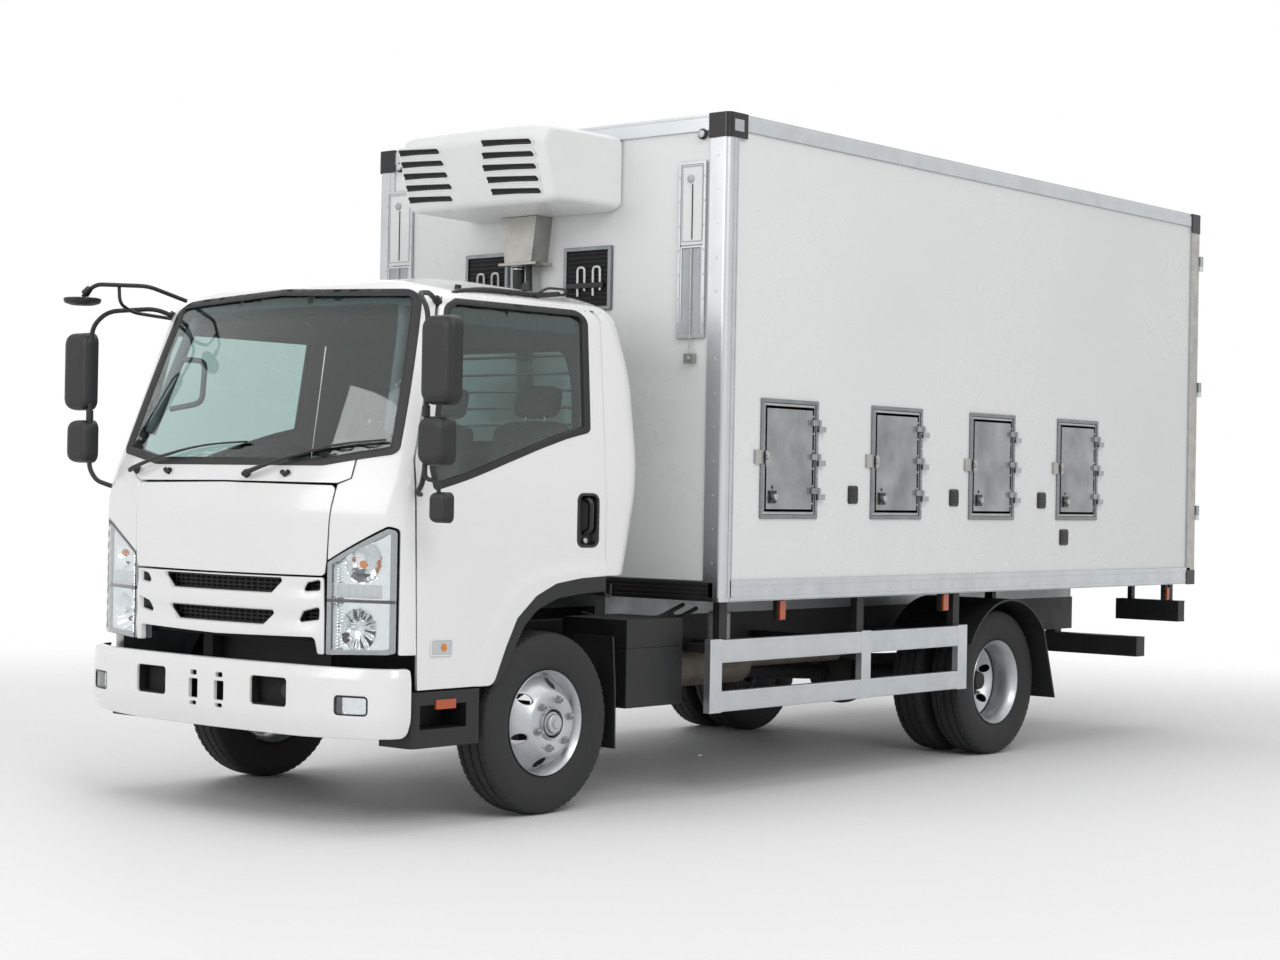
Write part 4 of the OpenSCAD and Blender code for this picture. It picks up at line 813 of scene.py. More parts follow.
def cab_front():
    """The panels below the windscreen, the grille bars and the net behind them."""
    s = Shape()
    panel(s, CAB.belt, loop(around([("F", 0, 1.432, 0), ("F", 0.652, 1.427, 0.01), ("F", 0.712, 1.448, 0.006),
        ("F", 0.71, 1.528, 0), ("F", 0.55, 1.504, 0.3)])),
          "cab_topcoat", step=0.024, thick=0.02, edge=0.003, back="moulded_black")
    panel(s, CAB.belt, loop(around([("F", 0, 1.04, 0), ("F", 0.622, 1.042, 0.02), ("F", 0.63, 1.106, 0.3),
        ("F", 0.638, 1.3, 0.6), ("F", 0.649, 1.417, 0.02), ("F", 0, 1.425, 0)])),
          "cab_topcoat", step=0.024, thick=0.02, edge=0.003, back="moulded_black")
    s.make("cab_front_panel", "cab", slot="white_cab_paint")
    g = Shape()
    holes = []
    for k, slot in enumerate(SLOTS):
        for side in ((1, -1) if k > 1 else (1,)):
            rows = [("F", x * side, z, 0.012) for x, z in slot]
            hole = loop(rows if side > 0 else rows[::-1])
            holes.append(hole)
            for q, band in enumerate((0.0, 0.006)):
                panel(g, CAB.belt, inset(hole, -0.004 + q * 0.003), "gloss_black" if q else "cab_topcoat",
                    holes=[inset(hole, 0.002 + q * 0.004)],
                      step=0.02, level=0.012 + band, thick=0.012, edge=0.002)
    bar = around([("F", 0, 0.775, 0), ("F", 0.575, 0.785, 0.02), ("F", 0.59, 0.716, 0.01), ("F", 0.626, 0.716, 0.008),
        ("F", 0.624, 0.9, 0.5),
                  ("F", 0.618, 1.034, 0.01), ("F", 0, 1.032, 0)])

    def bowed(uv, depth):
        uv = np.array(uv, float)
        wave = 0.006 * np.cos((uv[:, 1] - 0.925) * 2 * math.pi / 0.135) * np.clip((0.6 - np.abs(uv[:,
            0] + math.pi / 2) * 0.85) / 0.1, 0, 1)
        return CAB.belt(uv, depth + np.clip(-wave, -0.004, 0.008) + 0.002)

    panel(g, bowed, loop(bar), "cab_topcoat", holes=holes, step=0.02, thick=0.02, edge=0.005, back="moulded_black")
    g.make("grille_bars", "cab", replaces=["grille"], slot="white_cab_paint")
    net = Shape()
    # The near-black sheet behind the net is painted shade
    panel(net, CAB.belt, loop(around([("F", 0, 0.8, 0), ("F", 0.6, 0.8, 0.02), ("F", 0.6, 1.034, 0.02),
        ("F", 0, 1.034, 0)])), "shadow_black", step=0.05, level=0.06, thick=0.004)
    for z in np.arange(0.815, 1.03, 0.017):
        path = [CAB.at("F", x, z, 0.045) for x in np.linspace(-0.59, 0.59, 32)]
        net.tube(path, 0.003, "moulded_black", 5)
    for x in np.arange(-0.58, 0.581, 0.04):
        net.tube([CAB.at("F", x, z, 0.05) for z in np.linspace(0.81, 1.03, 8)], 0.004, "moulded_black", 5)
    net.make("grille_net", "cab", slot="black_plastic")


def glazing():
    """Windscreen, rear light and their rubber seals."""
    screen = loop(mirrored_rows(SCREEN))
    glass = Shape()
    panel(glass, CAB.belt, inset(screen, 0.012), "windscreen_glass", step=0.05, level=0.006, thick=0.006, edge=0.002)
    glass.make("windscreen", "cab", replaces=["cab_glass"], slot="cab_glass", angle=60)
    back = Shape()
    rear = loop(mirrored_rows(REAR_LIGHT))
    panel(back, CAB.belt, inset(rear, 0.012), "side_glass", step=0.05, level=0.006, thick=0.005, edge=0.002)
    back.make("rear_window_glass", "cab", slot="cab_glass", angle=60)
    rubber = Shape()
    panel(rubber, CAB.belt, inset(screen, -0.004), "seal_rubber", holes=[inset(screen, 0.03)], step=0.018,
        level=-0.003, thick=0.024, edge=0.005)
    panel(rubber, CAB.belt, inset(rear, -0.004), "seal_rubber", holes=[inset(rear, 0.026)], step=0.018, level=-0.003,
        thick=0.024, edge=0.005)
    for z in (1.72, 1.8, 1.88, 1.96, 2.04):
        rubber.tube([CAB.at("B", x, z, 0.03) for x in np.linspace(-0.57, 0.57, 12)], 0.006, "aluminium_crosswise", 8)
    rubber.make("window_seals", "cab", slot="black_plastic")


def mirrored_rows(half):
    """Rows for a whole outline from one half's, each going once round."""
    out = list(half)
    return out + [(kind, -a, b, r) for kind, a, b, r in reversed(half) if abs(a) > 1e-9]


def wipers():
    """Two wiper arms with their blades, the spindle caps and the washer jets."""
    s = Shape()
    for pivot, tip in (((-0.708, 1.47), (0.083, 1.592)), ((0.14, 1.459), (0.826, 1.602))):
        def lay(t, lift, up=0.0):
            x, z = pivot[0] + (tip[0] - pivot[0]) * t, pivot[1] + (tip[1] - pivot[1]) * t + up + 0.03 * math.sin(math.pi * t)
            return CAB.at("F", x, z, -lift)

        way = CAB.normal(CAB.at("F", *pivot))[0]
        s.stud(CAB.at("F", *pivot, 0.004), way, 0.021, 0.03, "moulded_black", 16)
        s.tube([lay(t, l) for t, l in ((0, 0.028), (0.04, 0.034), (0.14, 0.036), (0.3, 0.034), (0.5, 0.032),
            (0.6, 0.03))],
               [0.011, 0.011, 0.009, 0.007, 0.005, 0.004], "moulded_black", 8)
        start, end = 0.3, 1.0
        s.tube([lay(t, 0.013, 0.006) for t in np.linspace(start, end, 18)], 0.0045, "moulded_black", 6)
        s.tube([lay(t, 0.005, 0.006) for t in np.linspace(start, end, 18)], 0.0035, "seal_rubber", 6)
        for a in (0.38, 0.52, 0.68, 0.86):
            s.tube([lay(a - 0.07, 0.015, 0.006), lay(a - 0.03, 0.024, 0.004), lay(a + 0.03, 0.024, 0.004),
                lay(a + 0.07, 0.015, 0.006)], 0.004, "moulded_black", 6)
    for x, z in ((-0.42, 1.463), (0.363, 1.459)):
        way = CAB.normal(CAB.at("F", x, z))[0]
        s.stud(CAB.at("F", x, z, 0.002), way, 0.013, 0.014, "moulded_black", 12)
        for d in (-0.02, 0.02):
            s.tube([CAB.at("F", x, z, -0.006), CAB.at("F", x + d, z + 0.013, -0.01)], [0.009, 0.011], "moulded_black",
                8)
    s.make("windscreen_wipers", "cab", slot="black_plastic")


def headlamp(side):
    """A headlamp cluster: bezel, reflectors, bulbs and its clear cover."""
    body = Shape()
    outer = loop(LAMP, 0.014)
    panel(body, CAB.belt, inset(outer, 0.003), "reflector_grey", holes=[inset(outer, 0.022)], step=0.02, level=0.008,
        thick=0.06, edge=0.003)
    split = [("F", 0.636, 0.935, 0.002), ("F", 0.93, 0.937, 0.002), ("S", -0.897, 0.937, 0.002),
        ("S", -0.897, 0.951, 0.002), ("F", 0.93, 0.951, 0.002), ("F", 0.636, 0.949, 0.002)]
    panel(body, CAB.belt, loop(split, 0.014), "gloss_black", step=0.02, level=0.006, thick=0.05, edge=0.002)
    bowls = ((0.797, 1.106, 0.088, 0.055, 0), (0.778, 0.825, 0.085, 0.05, 11))

    def dish(uv, depth):
        uv = np.array(uv, float)
        flat = CAB.belt(uv, 0.02)
        extra = np.full(len(uv), 0.022)
        for x, z, r, deep, facets in bowls:
            near = np.hypot(flat[:, 0] - x, flat[:, 2] - z) / r
            turn = np.arctan2(flat[:, 2] - z, flat[:, 0] - x)
            ripple = 0.005 * np.abs(np.sin(turn * (facets or 16) / 2)) * np.clip(near * 1.6, 0,
                1) if facets else 0.0015 * np.cos(turn * 24) * near
            extra = np.where(near < 1, 0.022 + deep * (1 - near ** 2) + ripple, extra)
        steps = np.where(flat[:, 0] < 0.7, 0.004 * np.sign(np.sin(flat[:, 0] * 2 * math.pi / 0.022)), 0)
        return CAB.belt(uv, depth + extra + steps)

    panel(body, dish, inset(outer, 0.016), "reflector_chrome", step=0.0075, level=0.0, thick=0.01, edge=0.002)
    strip = [("F", 0.655, 0.956, 0.003), ("F", 0.905, 0.956, 0.003), ("F", 0.905, 1.014, 0.003),
        ("F", 0.655, 1.014, 0.003)]
    panel(body, CAB.belt, loop(strip, 0.014), "white_lens", step=0.015, level=0.02, thick=0.01, edge=0.002)
    # The near-black stub in the lower reflector is painted shade, standing for its dark bulb socket
    for x, z, finish_name, r in ((0.83, 1.094, "amber_bulb", 0.017), (0.79, 0.835, "reflector_chrome", 0.015),
        (0.745, 0.8, "shadow_black", 0.012)):
        centre = CAB.at("F", x, z, 0.045)
        rows = [(0.0, r * 0.7), (0.012, r), (0.024, r * 0.9), (0.032, r * 0.5), (0.035, r * 0.05)]
        body.turned([(-d, q) for d, q in rows], centre, finish_name, axis="y", steps=16)
    body.make(f"headlamp_{side}", "cab", mirror=side == "right", replaces=["headlamps"] if side == "left" else (),
        slot="lamp_lens", angle=30)
    cover = Shape()
    panel(cover, CAB.belt, inset(outer, 0.002), "lamp_lens", step=0.03, level=0.0, thick=0.003, edge=0.003)
    cover.make(f"headlamp_cover_{side}", "cab", mirror=side == "right", slot="lamp_lens", angle=60)


def cab_door(side):
    """A cab door: skin with its wheel arch flare, black trim, handle, turn lamp, glass and lining."""
    flip, body = side == "right", f"door_{side}"
    door, window = loop(DOOR), loop(WINDOW, 0.03)
    recess = loop([("S", 0.158, 1.166, 0.03), ("S", 0.292, 1.166, 0.03), ("S", 0.292, 1.398, 0.03),
        ("S", 0.158, 1.398, 0.03)])
    lamp = [("S", -0.742, 0.718, 0.012), ("S", -0.61, 0.715, 0.012), ("S", -0.606, 0.79, 0.016),
        ("S", -0.738, 0.792, 0.016)]
    flare = [(-0.47, 0.6), (-0.43, 0.735), (-0.374, 0.856), (-0.295, 0.96), (-0.194, 1.035), (-0.06, 1.076),
        (0.13, 1.096), (0.346, 1.102)]

    def skin(uv, depth):
        """The skin swells over the wheel arch."""
        uv = np.array(uv, float)
        flat = CAB.belt(uv, 0)
        edge = np.array(flare)
        line = np.interp(flat[:, 1], edge[:, 0], edge[:, 1], left=0.0)
        rise = np.clip((line - flat[:, 2]) / 0.03, 0, 1)
        rise = rise * rise * (3 - 2 * rise)
        return CAB.belt(uv, depth - 0.013 * rise)

    s = Shape()
    panel(s, skin, door, "cab_topcoat", holes=[window, recess], step=0.02, thick=0.034, edge=0.004, back="cab_lining")
    s.make(f"door_skin_{side}", body, mirror=flip, replaces=[f"cab_door_{side}"], slot="white_cab_paint", angle=50)
    trim = Shape()
    arch = [("S", -0.4, 0.583, 0), *(("S", y - 0.006, z + 0.004, 0.04) for y, z in ARCH[1:-1]),
        ("S", 0.344, 1.034, 0), ("S", 0.344, 0.964, 0),
            ("S", 0.188, 0.957, 0.1), ("S", 0.025, 0.94, 0.1), ("S", -0.101, 0.893, 0.1), ("S", -0.183, 0.824, 0.1),
            ("S", -0.282, 0.66, 0.1), ("S", -0.346, 0.583, 0)]
    panel(trim, CAB.belt, loop(arch), "moulded_black", step=0.02, level=-0.008, thick=0.05, edge=0.006)
    panel(trim, CAB.belt, inset(window, -0.004), "seal_rubber", holes=[inset(window, 0.026)], step=0.018,
        level=-0.003, thick=0.03, edge=0.005)
    panel(trim, CAB.belt, inset(recess, -0.005), "gloss_black", holes=[inset(recess, 0.008)], step=0.02, level=-0.003,
        thick=0.03, edge=0.003)
    panel(trim, CAB.belt, inset(recess, -0.002), "moulded_black", step=0.03, level=0.026, thick=0.008, edge=0.002)
    panel(trim, CAB.belt, loop(lamp), "reflector_chrome", holes=[inset(loop(lamp), 0.009)], step=0.02, level=-0.006,
        thick=0.02, edge=0.004)
    trim.bent([CAB.at("S", 0.235, z, d) for z, d in ((1.225, 0.024), (1.24, -0.004), (1.365, -0.006), (1.38, 0.024))],
        0.013, "gloss_black", 0.02, 12)
    trim.stud(CAB.at("S", 0.235, 1.192, 0.022), (1, 0, 0), 0.013, 0.01, "zinc_plate", 16, flat=True)
    for y in (0.352,):
        trim.bent([(0.99, y, 1.00), (0.992, y, 0.955), (0.986, y + 0.045, 0.935), (0.985, y + 0.05, 1.0)], 0.006,
            "black_hose", 0.02)
    trim.make(f"door_trim_{side}", body, mirror=flip, slot="black_plastic")
    tell = Shape()
    panel(tell, CAB.belt, inset(loop(lamp), 0.008), "white_lens", step=0.02, level=-0.003, thick=0.01, edge=0.002)
    tell.turned([(0.0, 0.016), (0.006, 0.014), (0.0085, 0.002)], CAB.at("S", -0.662, 0.755, -0.0025), "amber_bulb",
        axis="x", steps=16)
    tell.make(f"side_turn_lamp_{side}", body, mirror=flip, slot="lamp_lens")
    glass = Shape()
    panel(glass, CAB.belt, inset(window, 0.01), "side_glass", step=0.05, level=0.01, thick=0.005, edge=0.0015)
    glass.make(f"door_window_{side}", body, mirror=flip, replaces=[f"door_glass_{side}"], slot="cab_glass", angle=60)
    lining = Shape()
    inner = [("S", -0.74, 0.72, 0.05), ("S", -0.42, 0.72, 0.2), ("S", -0.25, 0.98, 0.2), ("S", 0.0, 1.08, 0.1),
        ("S", 0.3, 1.09, 0.03),
             ("S", 0.3, 1.62, 0.03), *(("S", y, z - 0.045, 0.1) for y, z in SILL[1:-1]), ("S", -0.7, 1.352, 0.03)]
    panel(lining, CAB.belt, loop(inner), "dash_abs", step=0.05, level=0.036, thick=0.018, edge=0.006)
    lining.bent([CAB.at("S", y, 1.25, 0.058 + d) for y,
        d in ((-0.35, 0), (-0.34, 0.035), (-0.02, 0.035), (-0.01, 0))], 0.014, "moulded_black", 0.02)
    lining.make(f"door_lining_{side}", body, mirror=flip, slot="grey_plastic")


# ---- Stage -----------------------------------------------------------------


def stage():
    """Pale floor and backdrop, soft lamps and the camera."""
    scene = bpy.context.scene
    sizes = scene.truck_sizes
    for name in ("Cube", "Light", "Camera"):
        if name in bpy.data.objects:
            bpy.data.objects.remove(bpy.data.objects[name])
    scene.view_settings.view_transform = "Standard"
    world = bpy.data.worlds.new("studio")
    scene.world = world
    world.use_nodes = True
    tree = world.node_tree
    rays = node(tree, "ShaderNodeLightPath").outputs
    seen = node(tree, "ShaderNodeMath", {0: rays["Is Camera Ray"], 1: rays["Is Glossy Ray"]},
        operation="MAXIMUM").outputs[0]
    seen = node(tree, "ShaderNodeMath", {0: seen, 1: rays["Is Transmission Ray"]}, operation="MAXIMUM").outputs[0]
    strength = node(tree, "ShaderNodeMapRange", {"Value": seen, "To Min": sizes.fill_light, "To Max": 1.0}).outputs[0]
    back = tree.nodes["Background"]
    back.inputs["Color"].default_value = (1, 1, 1, 1)
    tree.links.new(strength, back.inputs["Strength"])
    floor = Shape()
    rings = [(0.01, 0), (2, 0), (5, 0), (9, 0), (14, 0), (22, 0), (40, 0)]
    loops = [[(math.cos(a) * r, math.sin(a) * r + 2.3, 0) for a in np.linspace(0, 2 * math.pi, 97)[:-1]] for r,
        _ in rings]
    floor.loft(loops, "stage_floor", start=False, end=False)
    mesh = bpy.data.meshes.new("stage_floor")
    mesh.from_pydata([(x, y + FRONT_Y, z - 0.001) for x, y, z in floor.verts], [], floor.faces)
    ground = bpy.data.objects.new("stage_floor", mesh)
    scene.collection.objects.link(ground)
    paint = bpy.data.materials.new("studio_floor_paint")
    paint.use_nodes = True
    tree = paint.node_tree
    shader = tree.nodes["Principled BSDF"]
    place = node(tree, "ShaderNodeTexCoord").outputs["Object"]
    shader.inputs["Base Color"].default_value = (0.93, 0.93, 0.93, 1)
    shader.inputs["Roughness"].default_value = 0.6
    shader.inputs["Specular IOR Level"].default_value = 0.2
    # The painted floor fades into the white backdrop with its distance from the truck
    reach = node(tree, "ShaderNodeVectorMath", {0: place}, operation="LENGTH").outputs["Value"]
    fade = node(tree, "ShaderNodeMapRange", {"Value": reach, "From Min": 4.2, "From Max": 9.5},
        interpolation_type="SMOOTHSTEP").outputs[0]
    rays = node(tree, "ShaderNodeLightPath").outputs
    seen = node(tree, "ShaderNodeMath", {0: rays["Is Camera Ray"], 1: rays["Is Glossy Ray"]},
        operation="MAXIMUM").outputs[0]
    seen = node(tree, "ShaderNodeMath", {0: seen, 1: rays["Is Transmission Ray"]}, operation="MAXIMUM").outputs[0]
    glow = node(tree, "ShaderNodeEmission", {"Color": (1, 1, 1, 1), "Strength": 1.0}).outputs[0]
    amount = node(tree, "ShaderNodeMath", {0: fade, 1: seen}, operation="MULTIPLY").outputs[0]
    whole = node(tree, "ShaderNodeMixShader", {0: amount, 1: shader.outputs[0], 2: glow}).outputs[0]
    tree.links.new(whole, tree.nodes["Material Output"].inputs["Surface"])
    mesh.materials.append(paint)
    for name, place, aim, size, power in (
        ("key_softbox", (9.5, -6.0, 8.5), (0, 0, 1.2), 6.0, sizes.key_light),
        ("front_softbox", (-2.5, -11.5, 5.0), (0, -1.5, 1.2), 5.0, sizes.key_light * 0.55),
        ("top_softbox", (0.0, 0.5, 10.0), (0, 0.5, 0), 9.0, sizes.key_light * 0.75),
        ("far_softbox", (-9.0, 5.0, 6.5), (0, 1.0, 1.2), 5.0, sizes.key_light * 0.35),
    ):
        lamp = bpy.data.lights.new(name, "AREA")
        lamp.size, lamp.energy = size, power
        holder = bpy.data.objects.new(name, lamp)
        scene.collection.objects.link(holder)
        holder.location = place
        holder.rotation_euler = (Vector(aim) - Vector(place)).to_track_quat("-Z", "Y").to_euler()
    camera = bpy.data.objects.new("camera", bpy.data.cameras.new("camera"))
    scene.collection.objects.link(camera)
    camera.data.lens, camera.data.sensor_width, camera.data.clip_end = sizes.lens_mm, 36.0, 200.0
    right, down, ahead = Vector((0.7631, 0.646, 0.018)), Vector((0.0104, 0.0156, -0.9998)), Vector((-0.6461, 0.7632,
        0.0052))
    turn = Matrix((right, -down, -ahead)).transposed()
    camera.matrix_world = Matrix.Translation((7.786, -9.755, 1.412)) @ turn.to_4x4()
    scene.camera = camera


# ---- Wheels ----------------------------------------------------------------


def disc_chart(centre_x, outward, profile):
    """A sheet of revolution: (u, v) across the wheel, with its distance out from the middle given by radius."""
    radii, heights = zip(*profile)

    def chart(uv, depth):
        uv = np.array(uv, float)
        r = np.hypot(uv[:, 0], uv[:, 1])
        out = np.interp(r, radii, heights) - depth
        return np.stack((centre_x + outward * out, uv[:, 0], uv[:, 1] + AXLE_Z), 1)

    return chart


def soft_profile(rows):
    return [tuple(p) for p in smooth(rows, 3)]


def tyre(shape, x, y, outward):
    """A tyre with three wavy grooves, shoulder notches and a smooth side with its bead ring."""
    sizes = bpy.context.scene.truck_sizes
    radius, blocks = 0.398, sizes.tread_blocks
    steps = blocks * 4
    cross = [(-0.074, 0.2315, 0), (-0.083, 0.24, 0), (-0.0905, 0.256, 0), (-0.0985, 0.283, 0), (-0.1015, 0.312, 0),
        (-0.1005, 0.34, 0),
             (-0.0965, 0.362, 0), (-0.0905, 0.377, 1), (-0.0865, 0.3865, 1), (-0.0795, 0.3925, 1),
             (-0.066, 0.3955, 1), (-0.0535, 0.3967, 0)]
    for g in (-0.049, 0.0, 0.049):
        cross += [(g - 0.0045, radius - 0.001, 2), (g - 0.0035, radius - 0.01, 2), (g + 0.0035, radius - 0.01, 2),
            (g + 0.0045, radius - 0.001, 2)]
        if g < 0.03:
            cross += [(g + 0.0245, radius, 0)]
    cross += [(-a, r, k) for a, r, k in reversed(cross[:12])]
    loops = []
    for k in range(steps):
        turn = 2 * math.pi * k / steps
        wave = (0.0032, 0.0, -0.0032, 0.0)[k % 4]
        notch = 1.0 if k % 4 == 0 else 0.0
        row = []
        for a, r, kind in cross:
            r -= 0.0045 * notch if kind == 1 else 0
            a += wave if kind == 2 else 0
            row.append((x + outward * a, y + math.cos(turn) * r, AXLE_Z + math.sin(turn) * r))
        loops.append(row)
    shape.loft(loops, "tyre_rubber", ring=False, close=True)


def nuts(shape, x, y, outward, ring, count, r=0.0155, height=0.026):
    """Wheel nuts, each a hexagon on a flange with the stud's end showing."""
    for k in range(count):
        a = 2 * math.pi * (k + 0.25) / count
        at = np.array((x, y + math.cos(a) * ring, AXLE_Z + math.sin(a) * ring))
        shape.stud(at, (outward, 0, 0), r * 1.25, height * 0.2, "zinc_plate", 16, flat=True)
        shape.stud(at, (outward, 0, 0), r, height, "zinc_plate", 6, flat=True)
        shape.stud(at, (outward, 0, 0), r * 0.5, height * 1.5, "zinc_plate", 10, flat=True)


def rim_barrel(shape, x, y, outward, lip=0.088):
    """The rim's well, seats and rolled lips."""
    rows = [(lip - 0.006, 0.2245), (lip - 0.002, 0.229), (lip - 0.004, 0.2305), (lip - 0.012, 0.23),
        (lip - 0.014, 0.2185), (0.06, 0.212), (0.03, 0.199),
            (-0.03, 0.1985), (-0.06, 0.2115), (-lip + 0.014, 0.2185), (-lip + 0.012, 0.23), (-lip + 0.002, 0.2305),
            (-lip + 0.006, 0.224), (-lip + 0.02, 0.212),
            (-0.055, 0.205), (-0.028, 0.1925), (0.028, 0.1925), (0.055, 0.205), (lip - 0.02, 0.212)]
    shape.turned([(outward * a, r) for a, r in rows], (x, y, AXLE_Z), "wheel_enamel", steps=72, close=True)


def front_wheel(side):
    """A front wheel: the disc stands out past the tyre, with round hand holes, six nuts and the hub's cap."""
    body = f"front_wheel_{side}"
    x = 0.891
    t = Shape()
    tyre(t, x, 0, 1)
    t.make(f"front_tyre_tread_{side}", body, mirror=side == "right", replaces=[f"front_tyre_{side}"],
        slot="tyre_rubber", angle=35)
    w = Shape()
    rim_barrel(w, x, 0, 1)
    profile = soft_profile([(0.0, 0.118), (0.07, 0.118), (0.08, 0.118), (0.084, 0.123), (0.132, 0.124),
        (0.142, 0.118), (0.17, 0.085), (0.196, 0.048), (0.207, 0.04)])
    holes = [circle(math.cos(a) * 0.1725, math.sin(a) * 0.1725, 0.0235, 24)
        for a in (math.radians(20 + 60 * k) for k in range(6))]
    holes.append(circle(0, 0, 0.066, 40))
    panel(w, disc_chart(x, 1, profile), circle(0, 0, 0.206, 96), "wheel_enamel",
        holes=[np.array(h)[::-1] for h in holes], step=0.011, thick=0.008, edge=0.003)
    w.turned([(0.085, 0.069), (0.123, 0.071), (0.129, 0.068), (0.127, 0.064), (0.085, 0.062)], (x, 0, AXLE_Z),
        "wheel_enamel", steps=48, close=True)
    w.turned([(0.06, 0.055), (0.118, 0.054), (0.124, 0.05), (0.125, 0.044), (0.138, 0.042), (0.142, 0.038),
        (0.143, 0.022), (0.15, 0.02), (0.151, 0.0004)],
             (x, 0, AXLE_Z), "wheel_enamel", steps=40)
    w.turned([(0.04, 0.088), (0.075, 0.084), (0.08, 0.06)], (x, 0, AXLE_Z), "cast_iron", steps=40)
    nuts(w, x + 0.122, 0, 1, 0.107, 6)
    for k in range(3):
        a = 2 * math.pi * (k + 0.1) / 3
        w.stud((x + 0.122, math.cos(a) * 0.098, AXLE_Z + math.sin(a) * 0.098), (1, 0, 0), 0.007, 0.008, "zinc_plate",
            10, flat=True)
    w.tube([(x + 0.04, 0.0, AXLE_Z - 0.196), (x + 0.07, 0.0, AXLE_Z - 0.19), (x + 0.088, 0.002, AXLE_Z - 0.184)],
        [0.005, 0.0042, 0.0035], "zinc_plate", 10)
    w.make(f"front_wheel_disc_{side}", body, mirror=side == "right", replaces=[f"front_rim_{side}"],
        slot="silver_rim_paint", angle=40)


def rear_wheel(side):
    """Twin rear wheels: dished discs back to back, with the hub standing out of the outer one's bowl."""
    body = f"rear_wheel_{side}"
    t = Shape()
    for x, way in ((0.956, 1), (0.706, -1)):
        tyre(t, x, REAR_Y, way)
    t.make(f"rear_tyre_treads_{side}", body, mirror=side == "right", replaces=[f"rear_tyres_{side}"],
        slot="tyre_rubber", angle=35)
    w = Shape()
    profile = soft_profile([(0.0, 0.0), (0.132, 0.0), (0.142, 0.006), (0.168, 0.036), (0.19, 0.058), (0.199, 0.062)])
    for x, way in ((0.956, 1), (0.706, -1)):
        rim_barrel(w, x, REAR_Y, way)
        sheet = disc_chart(0.831 + way * 0.008, way, profile)

        def moved(uv, depth, sheet=sheet):
            p = sheet(uv, depth)
            p[:, 1] += REAR_Y
            return p

        holes = [circle(math.cos(a) * 0.166, math.sin(a) * 0.166, 0.0225, 24)
            for a in (math.radians(20 + 60 * k) for k in range(6))]
        holes.append(circle(0, 0, 0.07, 40))
        panel(w, moved, circle(0, 0, 0.1985, 96), "wheel_enamel", holes=[np.array(h)[::-1] for h in holes],
            step=0.012, thick=0.007, edge=0.003)
    nuts(w, 0.84, REAR_Y, 1, 0.106, 6, 0.016, 0.036)
    w.turned([(-0.05, 0.085), (0.0, 0.08), (0.045, 0.074), (0.055, 0.07), (0.06, 0.062), (0.085, 0.052),
        (0.11, 0.046), (0.114, 0.038), (0.115, 0.0005)],
             (0.831, REAR_Y, AXLE_Z), "cast_iron", steps=40)
    for k in range(8):
        a = 2 * math.pi * k / 8
        w.stud((0.889, REAR_Y + math.cos(a) * 0.058, AXLE_Z + math.sin(a) * 0.058), (1, 0, 0), 0.008, 0.01,
            "cast_iron", 6, flat=True)
    w.tube([(0.985, REAR_Y, AXLE_Z - 0.196), (1.01, REAR_Y, AXLE_Z - 0.19), (1.028, REAR_Y, AXLE_Z - 0.187)],
        [0.005, 0.0042, 0.0035], "zinc_plate", 10)
    w.make(f"rear_wheel_discs_{side}", body, mirror=side == "right", replaces=[f"rear_rims_{side}"],
        slot="silver_rim_paint", angle=40)


# ---- Bumper ----------------------------------------------------------------


